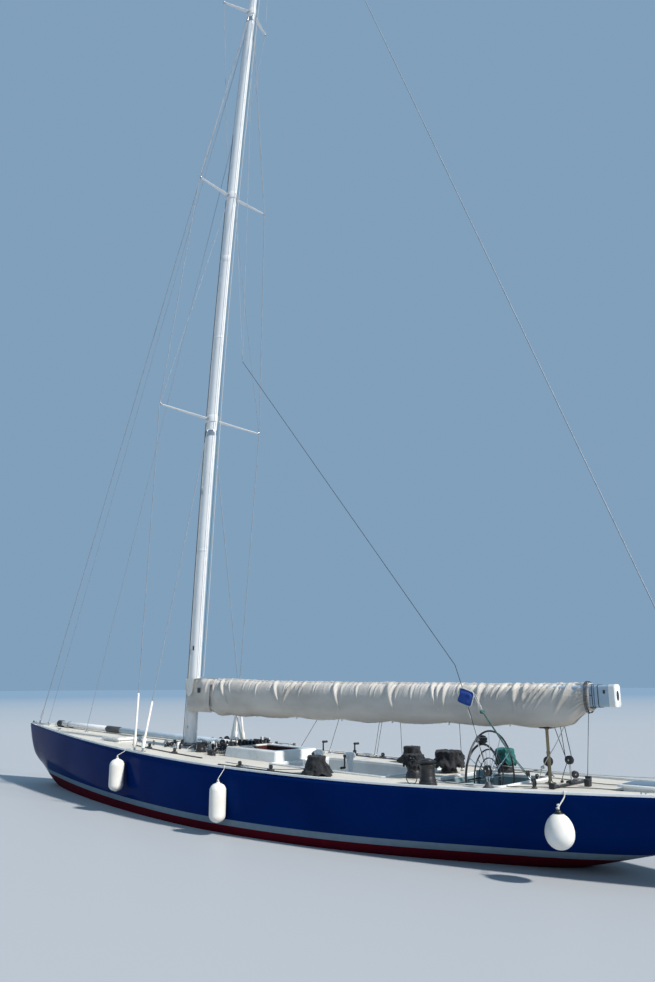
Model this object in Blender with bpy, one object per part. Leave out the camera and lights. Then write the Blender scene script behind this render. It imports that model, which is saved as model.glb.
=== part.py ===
"""A racing sailing yacht of about nineteen metres, afloat, with its boom down and its sail covered.

Metres. +X runs forward, +Y to port, +Z up. The origin is on the waterline amidships.
"""
import math

import bmesh
import bpy
from mathutils import Matrix, Vector

# Clearances
SEAT_GAP = 0.0003
RUN_GAP = 0.006
PIN_GAP = 0.0004

# Hull outline on deck
BOW_X = 9.36
STERN_X = -9.64
BOW_HEIGHT = 1.50
SHEER_LOW = 1.046
SHEER_LOW_X = -4.60
SHEER_POWER = 1.55
HALF_BEAM = 1.85
MAX_BEAM_X = -0.89
STERN_HALF_BEAM = 0.43
STEM_HALF_WIDTH = 0.03
FORE_FULLNESS = 1.53
AFT_FULLNESS = 1.94

# Hull body below the deck
BODY_DEPTH = 1.22
ENTRY_X = 7.50
EXIT_X = -7.20
STERN_UNDERSIDE = 0.66
STATIONS = 34
STATION_CROWDING = 1.5
SECTION_STEPS = 8

HULL_JOINT_Z = 0.25
TOPSIDE_THICKNESS = 0.040
DECK_THICKNESS = 0.030
TOE_RAIL_WIDTH = 0.030
TOE_RAIL_HEIGHT = 0.035
TOE_RAIL_INSET = 0.004
STEM_FITTING_LENGTH = 0.72
STEM_FITTING_SETBACK = 0.03
STERN_FITTING_HALF = 0.12

# Underwater blades
KEEL_BOTTOM = -2.75
FIN_TOP_Z = -0.80
FIN_LEAD_TOP_X = 2.20
FIN_LEAD_BOTTOM_X = 0.75
FIN_TRAIL_TOP_X = -2.55
FIN_TRAIL_BOTTOM_X = -2.35
FIN_THICKNESS = 0.115
TAB_HINGE_X = -1.95
TAB_TOP_CLEARANCE = 0.045
TAB_BOTTOM_Z = -2.68
TAB_PIN_RADIUS = 0.020
TAB_PIN_LENGTH = 0.22
RUDDER_STOCK_X = -6.55
RUDDER_LEAD = 0.22
RUDDER_TRAIL = 0.62
RUDDER_BOTTOM = -1.95
RUDDER_TOP_CLEARANCE = 0.035
RUDDER_THICKNESS = 0.13
RUDDER_TIP_SHARE = 0.62
STOCK_RADIUS = 0.045
STOCK_RISE = 0.14

# Wells, each from its forward to its after end at the inside
LINER_WALL = 0.020
FLANGE_WIDTH = 0.035
FLANGE_RISE = 0.018
WELL_FIT = 0.0005
CREW_FORE_X = -1.48
CREW_AFT_X = -4.15
CREW_HALF_WIDTH = 0.80
CREW_FLOOR = 0.50
HELM_FORE_X = -4.98
HELM_AFT_X = -6.32
HELM_HALF_WIDTH = 0.775
HELM_FLOOR = 0.285
TRUNK_HALF_WIDTH = 0.60
TRUNK_HEIGHT = 0.20
PIT_FORE_X = -0.05
PIT_AFT_X = -1.20
PIT_HALF_WIDTH = 0.42
PIT_FLOOR = 0.42

# Hatches: length and width at the inside, height of the coaming over the deck
FORE_HATCH_X = 4.05
FORE_HATCH_Y = 0.42
FORE_HATCH_SIDE = 0.60
AFT_HATCH_X = -8.15
AFT_HATCH_Y = 0.0
AFT_HATCH_SIDE = 0.46
HATCH_COAMING_HEIGHT = 0.050
HATCH_DEPTH = 0.35
HATCH_LID_THICKNESS = 0.028
HATCH_LID_OVERHANG = 0.012
HATCH_BARREL_RADIUS = 0.012

# Mast
MAST_FOOT_X = 2.007
MAST_TOP = 26.20
MAST_JOINT_Z = 13.0
MAST_DATUM_Z = 1.20
MAST_RAKE = 0.096
MAST_BEND = 0.40
MAST_SIDES = 16
COLLAR_HEIGHT = 0.09
COLLAR_WIDTH = 0.045

# Crosstrees: heights, spans and sweep aft
LOWER_SPREADER_Z = 8.81
LOWER_SPREADER_SPAN = 1.53
LOWER_SPREADER_SWEEP = 0.02
UPPER_SPREADER_Z = 14.74
UPPER_SPREADER_SPAN = 1.07
UPPER_SPREADER_SWEEP = 0.07
JUMPER_Z = 20.07
JUMPER_SPAN = 0.74
JUMPER_SWEEP = -0.25
SPREADER_BAND = 0.11
SPREADER_RISE = 0.03
SPREADER_TIP_CHORD = 0.036
SPREADER_TIP_HEIGHT = 0.018

# Standing rigging
STAY_RADIUS = 0.010
TURNBUCKLE_RADIUS = 0.030
TURNBUCKLE_LENGTH = 0.42
SHROUD_COVER_LENGTH = 1.20
SHROUD_COVER_RADIUS = 0.028
LOWER_COVER_LENGTH = 1.04
FORESTAY_X = 8.88
FORESTAY_MAST_Z = 20.00
BACKSTAY_X = -9.38
HOUNDS_Z = 19.85
LOWER_SHROUD_Z = 8.45
CHAINPLATE_INSET = 0.195
CHAINPLATE_FORE_X = 2.10
CHAINPLATE_SPREAD = 0.30
CHAINPLATE_END = 0.06
CHAINPLATE_HEIGHT = 0.060
CHAINPLATE_WIDTH = 0.085
FITTING_HEIGHT = 0.060

# Boom and its cover
GOOSENECK_Z = 2.20
GOOSENECK_BACKING = 0.16
BOOM_PIN_SETBACK = 0.145
BOOM_PIN_RADIUS = 0.016
BOOM_END_X = -7.87
BOOM_END_Z = 2.355
BOOM_HEIGHT = 0.31
BOOM_WIDTH = 0.20
BOOM_CORNER = 0.045
KNUCKLE_RADIUS = 0.050
KNUCKLE_HEIGHT = 0.10
JAW_THICKNESS = 0.020
BOOM_NECK = 0.24
COVER_FORE_X = 1.28
COVER_AFT_X = -7.46
COVER_SIDES = 20

# Spinnaker pole, stowed on the foredeck
POLE_FORE = (8.05, -0.13)
POLE_AFT = (1.20, -0.72)
POLE_RADIUS = 0.070
POLE_END_RADIUS = 0.085
POLE_END_LENGTH = 0.30

# Winch grinders
GRINDER_XS = (("grinder_fore", -1.93), ("grinder_aft", -2.73))
GRINDER_RADIUS = 0.052
GRINDER_HEAD_HALF = 0.060
GRINDER_FOOT_RADIUS = 0.12
GRINDER_AXLE_Z = 1.26
CRANK_SHAFT_RADIUS = 0.016
CRANK_ARM = 0.19
CRANK_GRIP = 0.17
CRANK_BAR = 0.013
CRANK_GRIP_RADIUS = 0.018

# Winches: name, x, y, height, drum radius
WINCHES = (
    ("primary_winch", -5.30, 1.15, 0.38, 0.135),
    ("rail_winch", -3.16, 1.34, 0.30, 0.120),
    ("pit_winch", -4.57, 0.50, 0.36, 0.140),
    ("halyard_winch", 1.05, 0.46, 0.26, 0.105),
)

# Helm
WHEEL_X = -5.700
WHEEL_Z = 1.08
WHEEL_RADIUS = 0.715
WHEEL_RIM = 0.014
WHEEL_SPOKES = 6
TRIM_WHEEL_RADIUS = 0.430
TRIM_INNER_RADIUS = 0.300
TRIM_WHEEL_RIM = 0.012
TRIM_SPOKES = 5
AXLE_RADIUS = 0.018
AXLE_ROOT = 0.05
NUT_RADIUS = 0.034
NUT_LENGTH = 0.022
HUB_RADIUS = 0.060
HUB_LENGTH = 0.034
SPOKE_RADIUS = 0.008
BINNACLE_DEPTH = 0.18
BINNACLE_WIDTH = 0.18
BINNACLE_TOP = 1.19
BINNACLE_TOE = 0.04
BINNACLE_WAIST = 0.30
ARCH_RADIUS = 0.505
ARCH_BAR = 0.018
BRACE_RADIUS = 0.014
ARCH_STEPS = 12
COMPASS_SHELF_RADIUS = 0.070
COMPASS_SHELF_HEIGHT = 0.014
COMPASS_RADIUS = 0.095
COMPASS_HEIGHT = 0.115

# Fenders: name, x, drop of the eye below the deck edge, length with the eye, radius
FENDERS = (
    ("fender_fore", 2.18, 0.18, 0.60, 0.150),
    ("fender_middle", -1.40, 0.18, 0.70, 0.145),
)
FENDER_EYE = 0.05
BUOY_X = -7.48
BUOY_DROP = 0.175
BUOY_LENGTH = 0.50
BUOY_RADIUS = 0.205
LANYARD_RADIUS = 0.008
LANYARD_TAIL = 0.09
FENDER_CLEARANCE = 0.012

CRUTCH_X = -6.72
CRUTCH_RADIUS = 0.026
TRAVELLER_X = -7.05
TRAVELLER_HALF = 0.62
TRAVELLER_WIDTH = 0.055
TRAVELLER_HEIGHT = 0.045
QUARTER_BLOCK_X = -6.22
QUARTER_BLOCK_Y = 0.93


# Numeric helpers

def smooth(table, x):
    """Monotone cubic curve through a table of rising positions and values."""
    xs = [p[0] for p in table]
    ys = [p[1] for p in table]
    if x <= xs[0]:
        return ys[0]
    if x >= xs[-1]:
        return ys[-1]
    slopes = [(ys[i + 1] - ys[i]) / (xs[i + 1] - xs[i]) for i in range(len(xs) - 1)]
    tangents = [slopes[0]]
    for before, after in zip(slopes, slopes[1:]):
        tangents.append(0.0 if before * after <= 0 else 2 * before * after / (before + after))
    tangents.append(slopes[-1])
    i = max(k for k in range(len(xs) - 1) if xs[k] <= x)
    h = xs[i + 1] - xs[i]
    t = (x - xs[i]) / h
    return (ys[i] * (1 + 2 * t) * (1 - t) ** 2 + ys[i + 1] * t * t * (3 - 2 * t)
            + h * tangents[i] * t * (1 - t) ** 2 - h * tangents[i + 1] * t * t * (1 - t))


def straight(table, x):
    """Straight lines through a table of rising positions and values."""
    for (xa, ya), (xb, yb) in zip(table, table[1:]):
        if x <= xb:
            return ya + (yb - ya) * (x - xa) / (xb - xa)
    return table[-1][1]


# Hull form

SHEER_CURVE = (BOW_HEIGHT - SHEER_LOW) / (BOW_X - SHEER_LOW_X) ** SHEER_POWER

# Underside on the centre line: x, z
KEEL_LINE = (
    (STERN_X, STERN_UNDERSIDE),
    (EXIT_X - 0.80, 0.22),
    (EXIT_X, 0.0),
    (EXIT_X + 2.20, -0.45 * BODY_DEPTH),
    (MAX_BEAM_X - 1.60, -0.86 * BODY_DEPTH),
    (MAX_BEAM_X + 0.90, -BODY_DEPTH),
    (MAX_BEAM_X + 3.40, -0.92 * BODY_DEPTH),
    (ENTRY_X - 2.40, -0.58 * BODY_DEPTH),
    (ENTRY_X - 0.70, -0.18 * BODY_DEPTH),
    (ENTRY_X, 0.0),
    (BOW_X - 1.11, 0.36),
    (BOW_X - 0.44, 0.67),
    (BOW_X - 0.10, 1.12),
    (BOW_X, BOW_HEIGHT - 0.12),
)

# Blades hang this far below the hull's underside
TAB_TOP_Z = smooth(KEEL_LINE, TAB_HINGE_X) - TAB_TOP_CLEARANCE

# How full the sections are: x, exponent of the curve from deck to centre line
SECTION_SHAPE = (
    (STERN_X, 1.9),
    (EXIT_X + 0.7, 1.45),
    (-3.0, 2.9),
    (0.0, 3.5),
    (3.0, 2.9),
    (6.0, 2.4),
    (BOW_X, 2.2),
)


def sheer(x):
    """Height of the deck edge."""
    return SHEER_LOW + SHEER_CURVE * abs(x - SHEER_LOW_X) ** SHEER_POWER


def half_breadth(x):
    """Half the width of the deck."""
    if x > MAX_BEAM_X:
        run = min((x - MAX_BEAM_X) / (BOW_X - MAX_BEAM_X), 1.0)
        return STEM_HALF_WIDTH + (HALF_BEAM - STEM_HALF_WIDTH) * (1 - run ** FORE_FULLNESS)
    run = min((MAX_BEAM_X - x) / (MAX_BEAM_X - STERN_X), 1.0)
    return STERN_HALF_BEAM + (HALF_BEAM - STERN_HALF_BEAM) * (1 - run ** AFT_FULLNESS)


def stations():
    """Section places from stern to bow, closer together where the stem turns up."""
    length = BOW_X - STERN_X
    steps = [(i / STATIONS) ** STATION_CROWDING for i in range(STATIONS + 1)]
    return sorted(BOW_X - length * s for s in steps)


STATION_XS = stations()
DECK_LINE = tuple((x, sheer(x)) for x in STATION_XS)
EDGE_LINE = tuple((x, half_breadth(x)) for x in STATION_XS)


def deck_z(x):
    """Height of the deck's upper face, which is level from side to side."""
    return straight(DECK_LINE, x)


def deck_edge(x):
    """Half the width of the deck as its straight pieces run."""
    return straight(EDGE_LINE, x)


def seat_z(x, reach):
    """Lowest level base that clears the deck from x - reach to x + reach."""
    return max(deck_z(x - reach), deck_z(x + reach)) + SEAT_GAP


def section(x, inset=0.0):
    """Points of the hull's section from the port edge under the keel to the starboard edge."""
    breadth = half_breadth(x) - inset
    top = sheer(x) - DECK_THICKNESS - SEAT_GAP
    bottom = smooth(KEEL_LINE, x) + inset
    fullness = smooth(SECTION_SHAPE, x)
    side = []
    for j in range(SECTION_STEPS + 1):
        turn = 0.5 * math.pi * j / SECTION_STEPS
        y = breadth * math.cos(turn)
        share = (1 - (y / breadth) ** 2) ** (1 / fullness)
        side.append((y, top - (top - bottom) * share))
    port = [Vector((x, y, z)) for y, z in side]
    starboard = [Vector((x, -y, z)) for y, z in reversed(side[:-1])]
    return port + starboard


# Mesh helpers

def finish_mesh(bm, mesh=None):
    """Write a bmesh to a mesh with its faces pointing out."""
    if bm.calc_volume(signed=True) < 0:
        bmesh.ops.reverse_faces(bm, faces=bm.faces)
    if mesh is None:
        mesh = bpy.data.meshes.new("shape")
    bm.to_mesh(mesh)
    bm.free()
    return mesh


def loft(rings, loop=False):
    """Skin through rings of points; a ring of one point is a tip, and loop joins last to first."""
    bm = bmesh.new()
    rows = [[bm.verts.new(p) for p in ring] for ring in rings]
    pairs = list(zip(rows, rows[1:]))
    if loop:
        pairs.append((rows[-1], rows[0]))
    for a, b in pairs:
        count = max(len(a), len(b))
        for k in range(count):
            n = (k + 1) % count
            if len(a) == 1:
                bm.faces.new((a[0], b[n], b[k]))
            elif len(b) == 1:
                bm.faces.new((a[k], a[n], b[0]))
            else:
                bm.faces.new((a[k], a[n], b[n], b[k]))
    if not loop:
        for ends in (rows[0], rows[-1]):
            if len(ends) > 2:
                bm.faces.new(ends)
    bmesh.ops.recalc_face_normals(bm, faces=bm.faces)
    return finish_mesh(bm)


def box(low, high):
    """A plain box between two corners."""
    (x0, y0, z0), (x1, y1, z1) = low, high
    lower = [Vector(p) for p in ((x0, y0, z0), (x1, y0, z0), (x1, y1, z0), (x0, y1, z0))]
    return loft([lower, [p + Vector((0, 0, z1 - z0)) for p in lower]])


def circle(centre, axis, radius, sides):
    """A ring of points round an axis."""
    axis = Vector(axis).normalized()
    side = axis.orthogonal().normalized()
    other = axis.cross(side)
    centre = Vector(centre)
    turns = [2 * math.pi * k / sides for k in range(sides)]
    return [centre + side * (radius * math.cos(a)) + other * (radius * math.sin(a)) for a in turns]


def rod(start, end, radius, sides=12, end_radius=None):
    """A straight round bar."""
    start = Vector(start)
    end = Vector(end)
    last = radius if end_radius is None else end_radius
    return loft([circle(start, end - start, radius, sides), circle(end, end - start, last, sides)])


def turned(profile, centre, axis=(0, 0, 1), sides=20):
    """A turned shape: profile holds radius and distance along the axis from the centre."""
    axis = Vector(axis).normalized()
    centre = Vector(centre)
    rings = []
    for radius, along in profile:
        middle = centre + axis * along
        rings.append([middle] if radius == 0 else circle(middle, axis, radius, sides))
    return loft(rings)


def tube(points, radii, sides=8):
    """A round bar through points, mitred at each bend."""
    points = [Vector(p) for p in points]
    if not isinstance(radii, (list, tuple)):
        radii = [radii] * len(points)
    start = (points[1] - points[0]).normalized()
    side = start.orthogonal().normalized()
    rings = []
    for i, point in enumerate(points):
        before = (point - points[i - 1]).normalized() if i else start
        after = (points[i + 1] - point).normalized() if i + 1 < len(points) else before
        along = (before + after).normalized()
        side = (side - along * side.dot(along)).normalized()
        other = along.cross(side)
        inward = (after - before).normalized()
        stretch = 1 / along.dot(after) - 1
        ring = []
        for k in range(sides):
            a = 2 * math.pi * k / sides
            out = side * (radii[i] * math.cos(a)) + other * (radii[i] * math.sin(a))
            ring.append(point + out + inward * (out.dot(inward) * stretch))
        rings.append(ring)
    return loft(rings)


def hoop(centre, axis, radius, bar, sides=32, bar_sides=6):
    """A round bar bent into a full circle."""
    axis = Vector(axis).normalized()
    centre = Vector(centre)
    rings = []
    for spot in circle(centre, axis, radius, sides):
        out = (spot - centre).normalized()
        turns = [2 * math.pi * k / bar_sides for k in range(bar_sides)]
        rings.append([spot + out * (bar * math.cos(a)) + axis * (bar * math.sin(a)) for a in turns])
    return loft(rings, loop=True)


def boolean(base, tools, operation):
    """Join tools to a mesh, or cut them from it."""
    holder = bpy.data.objects.new("base", base)
    bpy.context.collection.objects.link(holder)
    helpers = []
    for tool in tools:
        helper = bpy.data.objects.new("tool", tool)
        bpy.context.collection.objects.link(helper)
        helpers.append(helper)
        step = holder.modifiers.new("step", "BOOLEAN")
        step.operation = operation
        step.solver = "EXACT"
        step.object = helper
    graph = bpy.context.evaluated_depsgraph_get()
    result = bpy.data.meshes.new_from_object(holder.evaluated_get(graph))
    for item in helpers + [holder]:
        bpy.data.objects.remove(item, do_unlink=True)
    bm = bmesh.new()
    bm.from_mesh(result)
    return finish_mesh(bm, result)


def join(shapes):
    return boolean(shapes[0], shapes[1:], "UNION")


def cut(base, tools):
    return boolean(base, tools, "DIFFERENCE")


def mirrored(mesh):
    """The same shape on the other side of the centre line."""
    bm = bmesh.new()
    bm.from_mesh(mesh)
    for vertex in bm.verts:
        vertex.co.y = -vertex.co.y
    return finish_mesh(bm)


def bore_radius(pin_radius, sides):
    """Radius of a many-sided bore that a pin turns in at any angle."""
    return (pin_radius + PIN_GAP) / math.cos(math.pi / sides)


def node(name, mesh, colour, roughness=0.5, metallic=0.0, pivot=(0, 0, 0), angle=35):
    """Name a mesh as one piece of the yacht, with its own material and its origin at pivot."""
    mesh.transform(Matrix.Translation(-Vector(pivot)))
    mesh.name = name
    mesh.shade_smooth()
    mesh.set_sharp_from_angle(angle=math.radians(angle))
    material = bpy.data.materials.new(name)
    material.use_nodes = True
    shader = material.node_tree.nodes["Principled BSDF"]
    shader.inputs["Base Color"].default_value = (*colour, 1)
    shader.inputs["Roughness"].default_value = roughness
    shader.inputs["Metallic"].default_value = metallic
    mesh.materials.clear()
    mesh.materials.append(material)
    piece = bpy.data.objects.new(name, mesh)
    piece.location = pivot
    bpy.context.collection.objects.link(piece)
    return piece


# Colours, linear

NAVY = (0.006, 0.018, 0.085)
DARK_RED = (0.09, 0.012, 0.012)
WHITE = (0.80, 0.80, 0.77)
DECK_CREAM = (0.72, 0.69, 0.62)
COVER_GREY = (0.55, 0.55, 0.54)
BLACK = (0.012, 0.012, 0.014)
PALE_GREY = (0.42, 0.46, 0.48)
TEAL_GREY = (0.20, 0.30, 0.32)
STEEL = (0.55, 0.56, 0.58)
FENDER_WHITE = (0.86, 0.84, 0.79)


# Mast form

# Mast section: z, half its length fore and aft, half its width
MAST_SECTION = (
    (MAST_DATUM_Z - 1.0, 0.170, 0.115),
    (15.0, 0.160, 0.108),
    (JUMPER_Z, 0.135, 0.090),
    (MAST_TOP, 0.075, 0.055),
)


def mast_x(z):
    """Fore and aft place of the mast's middle, which rakes and bends aft."""
    share = (z - MAST_DATUM_Z) / (MAST_TOP - MAST_DATUM_Z)
    return MAST_FOOT_X - MAST_RAKE * (z - MAST_DATUM_Z) + MAST_BEND * 4 * share * (1 - share)


def mast_half_length(z):
    return straight([(row[0], row[1]) for row in MAST_SECTION], z)


def mast_half_width(z):
    return straight([(row[0], row[2]) for row in MAST_SECTION], z)


def mast_ring(z, grow=0.0):
    """Oval of points round the mast at a height."""
    turns = [2 * math.pi * k / MAST_SIDES for k in range(MAST_SIDES)]
    long_half = mast_half_length(z) + grow
    wide_half = mast_half_width(z) + grow
    return [Vector((mast_x(z) + long_half * math.cos(a), wide_half * math.sin(a), z)) for a in turns]


MAST_FOOT_Z = seat_z(MAST_FOOT_X, MAST_SECTION[0][1] + COLLAR_WIDTH + 0.01)
COLLAR_TOP = MAST_FOOT_Z + COLLAR_HEIGHT

# Crosstrees: name, height, span, sweep aft
CROSSTREES = (
    ("lower_spreaders", LOWER_SPREADER_Z, LOWER_SPREADER_SPAN, LOWER_SPREADER_SWEEP),
    ("upper_spreaders", UPPER_SPREADER_Z, UPPER_SPREADER_SPAN, UPPER_SPREADER_SWEEP),
    ("jumper_struts", JUMPER_Z, JUMPER_SPAN, JUMPER_SWEEP),
)


def spreader_tip(z, span, sweep, side):
    return Vector((mast_x(z) - sweep, side * span, z + SPREADER_RISE))


# Boom form

BOOM_PIN_X = mast_x(GOOSENECK_Z) - mast_half_length(GOOSENECK_Z) - BOOM_PIN_SETBACK
BOOM_SLOPE = (BOOM_END_Z - GOOSENECK_Z) / (BOOM_PIN_X - BOOM_END_X)

# Cover section: x, lowest z, highest z, half width
COVER_SECTION = (
    (COVER_AFT_X, 1.945, 2.540, 0.160),
    (-6.60, 1.905, 2.545, 0.225),
    (-3.80, 1.885, 2.560, 0.245),
    (-1.00, 1.900, 2.600, 0.245),
    (0.70, 1.915, 2.650, 0.225),
    (COVER_FORE_X, 1.935, 2.650, 0.165),
)


def boom_z(x):
    """Height of the boom's middle."""
    return GOOSENECK_Z + BOOM_SLOPE * (BOOM_PIN_X - x)


def boom_ring(x, grow=0.0):
    """Rounded upright rectangle of points round the boom."""
    half_wide = BOOM_WIDTH / 2 + grow
    half_high = BOOM_HEIGHT / 2 + grow
    corner = BOOM_CORNER
    centre_z = boom_z(x)
    ring = []
    for quarter, (sy, sz) in enumerate(((1, 1), (-1, 1), (-1, -1), (1, -1))):
        for step in (0, 0.5, 1):
            a = 0.5 * math.pi * (quarter + step)
            ring.append(Vector((x, sy * (half_wide - corner) + corner * math.cos(a),
                                centre_z + sz * (half_high - corner) + corner * math.sin(a))))
    return ring


def hull_body():
    """The hull below the deck, in flat triangles, so that every piece cut from it fits the next."""
    bm = bmesh.new()
    bm.from_mesh(loft([section(x) for x in STATION_XS]))
    bmesh.ops.triangulate(bm, faces=bm.faces, quad_method="FIXED")
    return finish_mesh(bm)


def big_box(low, high):
    """A box that reaches well past the hull wherever a corner value is None."""
    ends = ((STERN_X - 1, BOW_X + 1), (-HALF_BEAM - 1, HALF_BEAM + 1), (KEEL_BOTTOM - 1, MAST_TOP))
    return box([ends[k][0] if low[k] is None else low[k] for k in range(3)],
               [ends[k][1] if high[k] is None else high[k] for k in range(3)])


def far_side(side):
    """Everything on the other side of the centre line, and half the gap at it."""
    if side > 0:
        return big_box((None, None, None), (None, SEAT_GAP / 2, None))
    return big_box((None, -SEAT_GAP / 2, None), (None, None, None))


def make_hull_bottom():
    stock_sides = 24
    pin_sides = 16
    above = big_box((None, None, HULL_JOINT_Z - SEAT_GAP / 2), (None, None, None))
    stock = rod((RUDDER_STOCK_X, 0, RUDDER_BOTTOM), (RUDDER_STOCK_X, 0, STOCK_RISE + PIN_GAP),
                bore_radius(STOCK_RADIUS, stock_sides), stock_sides)
    pin = rod((TAB_HINGE_X, 0, TAB_TOP_Z - 0.01), (TAB_HINGE_X, 0, TAB_TOP_Z + TAB_PIN_LENGTH + PIN_GAP),
              bore_radius(TAB_PIN_RADIUS, pin_sides), pin_sides)
    node("hull_bottom", cut(hull_body(), [above, stock, pin]), DARK_RED, 0.4)


def make_topsides():
    """The hull's two sides over the bottom, closed at the overhanging ends."""
    narrowest = 4 * TOPSIDE_THICKNESS
    xs = [STERN_X + TOPSIDE_THICKNESS]
    xs += [x for x in STATION_XS if x > xs[0] + TOPSIDE_THICKNESS and half_breadth(x) > narrowest]
    rings = []
    for x in xs:
        ring = section(x, TOPSIDE_THICKNESS)
        rise = Vector((0, 0, 1.0))
        rings.append([ring[0] + rise] + ring + [ring[-1] + rise])
    below = big_box((None, None, None), (None, None, HULL_JOINT_Z + SEAT_GAP / 2))
    port = cut(hull_body(), [loft(rings), below, far_side(1)])
    starboard = mirrored(port)
    node("topside_port", port, NAVY, 0.12)
    node("topside_starboard", starboard, NAVY, 0.12)


def make_deck():
    rings = []
    for x in STATION_XS:
        y = half_breadth(x)
        top = sheer(x)
        low = top - DECK_THICKNESS
        rings.append([Vector((x, y, top)), Vector((x, y, low)), Vector((x, -y, low)),
                      Vector((x, -y, top))])
    for name, side in (("deck_port", 1), ("deck_starboard", -1)):
        cutters = [well_cutter(*spec) for spec in WELLS] + [far_side(side)]
        node(name, cut(loft(rings), cutters), DECK_CREAM, 0.6)


def well_cutter(fore, aft, middle_y, half_width, floor):
    """The space cut in hull and deck for a liner of these inside sizes."""
    out = LINER_WALL + WELL_FIT
    return box((aft - out, middle_y - half_width - out, floor - out),
               (fore + out, middle_y + half_width + out, BOW_HEIGHT + 1.0))


def rectangle(aft, fore, low_y, high_y, z_at):
    """Corner points of a level-sided rectangle whose height is a function of x."""
    corners = ((aft, low_y), (fore, low_y), (fore, high_y), (aft, high_y))
    return [Vector((x, y, z_at(x))) for x, y in corners]


def liner(fore, aft, middle_y, half_width, floor, rim_height, rim_width):
    """An open tub with a rim that stands on the deck round its opening."""
    y0 = middle_y - half_width
    y1 = middle_y + half_width
    w = LINER_WALL
    r = LINER_WALL + rim_width

    def under_rim(x):
        return deck_z(x) + SEAT_GAP

    def over_rim(x):
        return deck_z(x) + SEAT_GAP + rim_height

    return loft([
        rectangle(aft - w, fore + w, y0 - w, y1 + w, lambda x: floor - w),
        rectangle(aft - w, fore + w, y0 - w, y1 + w, under_rim),
        rectangle(aft - r, fore + r, y0 - r, y1 + r, under_rim),
        rectangle(aft - r, fore + r, y0 - r, y1 + r, over_rim),
        rectangle(aft, fore, y0, y1, over_rim),
        rectangle(aft, fore, y0, y1, lambda x: floor),
    ])


# Wells: fore x, aft x, middle y, half width, floor z
CREW_WELL = (CREW_FORE_X, CREW_AFT_X, 0.0, CREW_HALF_WIDTH, CREW_FLOOR)
HELM_WELL = (HELM_FORE_X, HELM_AFT_X, 0.0, HELM_HALF_WIDTH, HELM_FLOOR)
PIT_WELL = (PIT_FORE_X, PIT_AFT_X, 0.0, PIT_HALF_WIDTH, PIT_FLOOR)


def hatch_well(x, y, side):
    return (x + side / 2, x - side / 2, y, side / 2, deck_z(x) - HATCH_DEPTH)


FORE_HATCH_WELL = hatch_well(FORE_HATCH_X, FORE_HATCH_Y, FORE_HATCH_SIDE)
AFT_HATCH_WELL = hatch_well(AFT_HATCH_X, AFT_HATCH_Y, AFT_HATCH_SIDE)
WELLS = (CREW_WELL, HELM_WELL, PIT_WELL, FORE_HATCH_WELL, AFT_HATCH_WELL)


def make_liners():
    node("crew_cockpit_liner", liner(*CREW_WELL, FLANGE_RISE, FLANGE_WIDTH), PALE_GREY, 0.5)
    node("helm_cockpit_liner", liner(*HELM_WELL, FLANGE_RISE, FLANGE_WIDTH), TEAL_GREY, 0.5)
    trunk = liner(*PIT_WELL, TRUNK_HEIGHT, TRUNK_HALF_WIDTH - PIT_HALF_WIDTH - LINER_WALL)
    node("halyard_pit_trunk", trunk, WHITE, 0.5)


def make_hatch(name, well, hinge_fore):
    """A coaming on the deck and its lid, hinged at one edge; gives the hinge's place."""
    fore, aft, y, half, floor = well
    rim = 0.030
    node(name + "_coaming", liner(*well, HATCH_COAMING_HEIGHT, rim), WHITE, 0.5)
    out = LINER_WALL + rim + HATCH_LID_OVERHANG
    lift = HATCH_COAMING_HEIGHT + 3 * SEAT_GAP

    def under_lid(x):
        return deck_z(aft) + (deck_z(fore) - deck_z(aft)) * (x - aft) / (fore - aft) + lift

    def over_lid(x):
        return under_lid(x) + HATCH_LID_THICKNESS

    plate = loft([rectangle(aft - out, fore + out, y - half - out, y + half + out, under_lid),
                  rectangle(aft - out, fore + out, y - half - out, y + half + out, over_lid)])
    hinge_x = fore + out if hinge_fore else aft - out
    hinge_z = (under_lid(hinge_x) + over_lid(hinge_x)) / 2
    reach = half * 0.7
    barrel = rod((hinge_x, y - reach, hinge_z), (hinge_x, y + reach, hinge_z),
                 HATCH_BARREL_RADIUS, 12)
    node(name + "_lid", join([plate, barrel]), WHITE, 0.4, pivot=(hinge_x, y, hinge_z))


def make_toe_rails():
    inner = TOE_RAIL_INSET + TOE_RAIL_WIDTH
    xs = [x for x in STATION_XS if x < BOW_X - STEM_FITTING_LENGTH]
    xs.append(BOW_X - STEM_FITTING_LENGTH - 0.002)
    for name, side in (("toe_rail_port", 1), ("toe_rail_starboard", -1)):
        rings = []
        for x in xs:
            base = deck_z(x) + SEAT_GAP
            outer_y = side * (deck_edge(x) - TOE_RAIL_INSET)
            inner_y = side * (deck_edge(x) - inner)
            rings.append([Vector((x, outer_y, base)), Vector((x, outer_y, base + TOE_RAIL_HEIGHT)),
                          Vector((x, inner_y, base + TOE_RAIL_HEIGHT)), Vector((x, inner_y, base))])
        node(name, loft(rings), WHITE, 0.4)


# Underwater blades

def foil_half(share, thickness):
    """Half thickness of a symmetrical foil, as a share of its chord."""
    return 5 * thickness * (0.2969 * math.sqrt(share) - 0.1260 * share - 0.3516 * share ** 2
                            + 0.2843 * share ** 3 - 0.1036 * share ** 4)


def fin_lead(z):
    return straight(((KEEL_BOTTOM, FIN_LEAD_BOTTOM_X), (FIN_TOP_Z, FIN_LEAD_TOP_X)), z)


def fin_trail(z):
    return straight(((KEEL_BOTTOM, FIN_TRAIL_BOTTOM_X), (FIN_TOP_Z, FIN_TRAIL_TOP_X)), z)


def fin_half(x, z):
    """Half thickness of the fin and its tab at a place."""
    chord = fin_lead(z) - fin_trail(z)
    share = min(max((fin_lead(z) - x) / chord, 0.0), 1.0)
    return chord * foil_half(share, FIN_THICKNESS)


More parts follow.
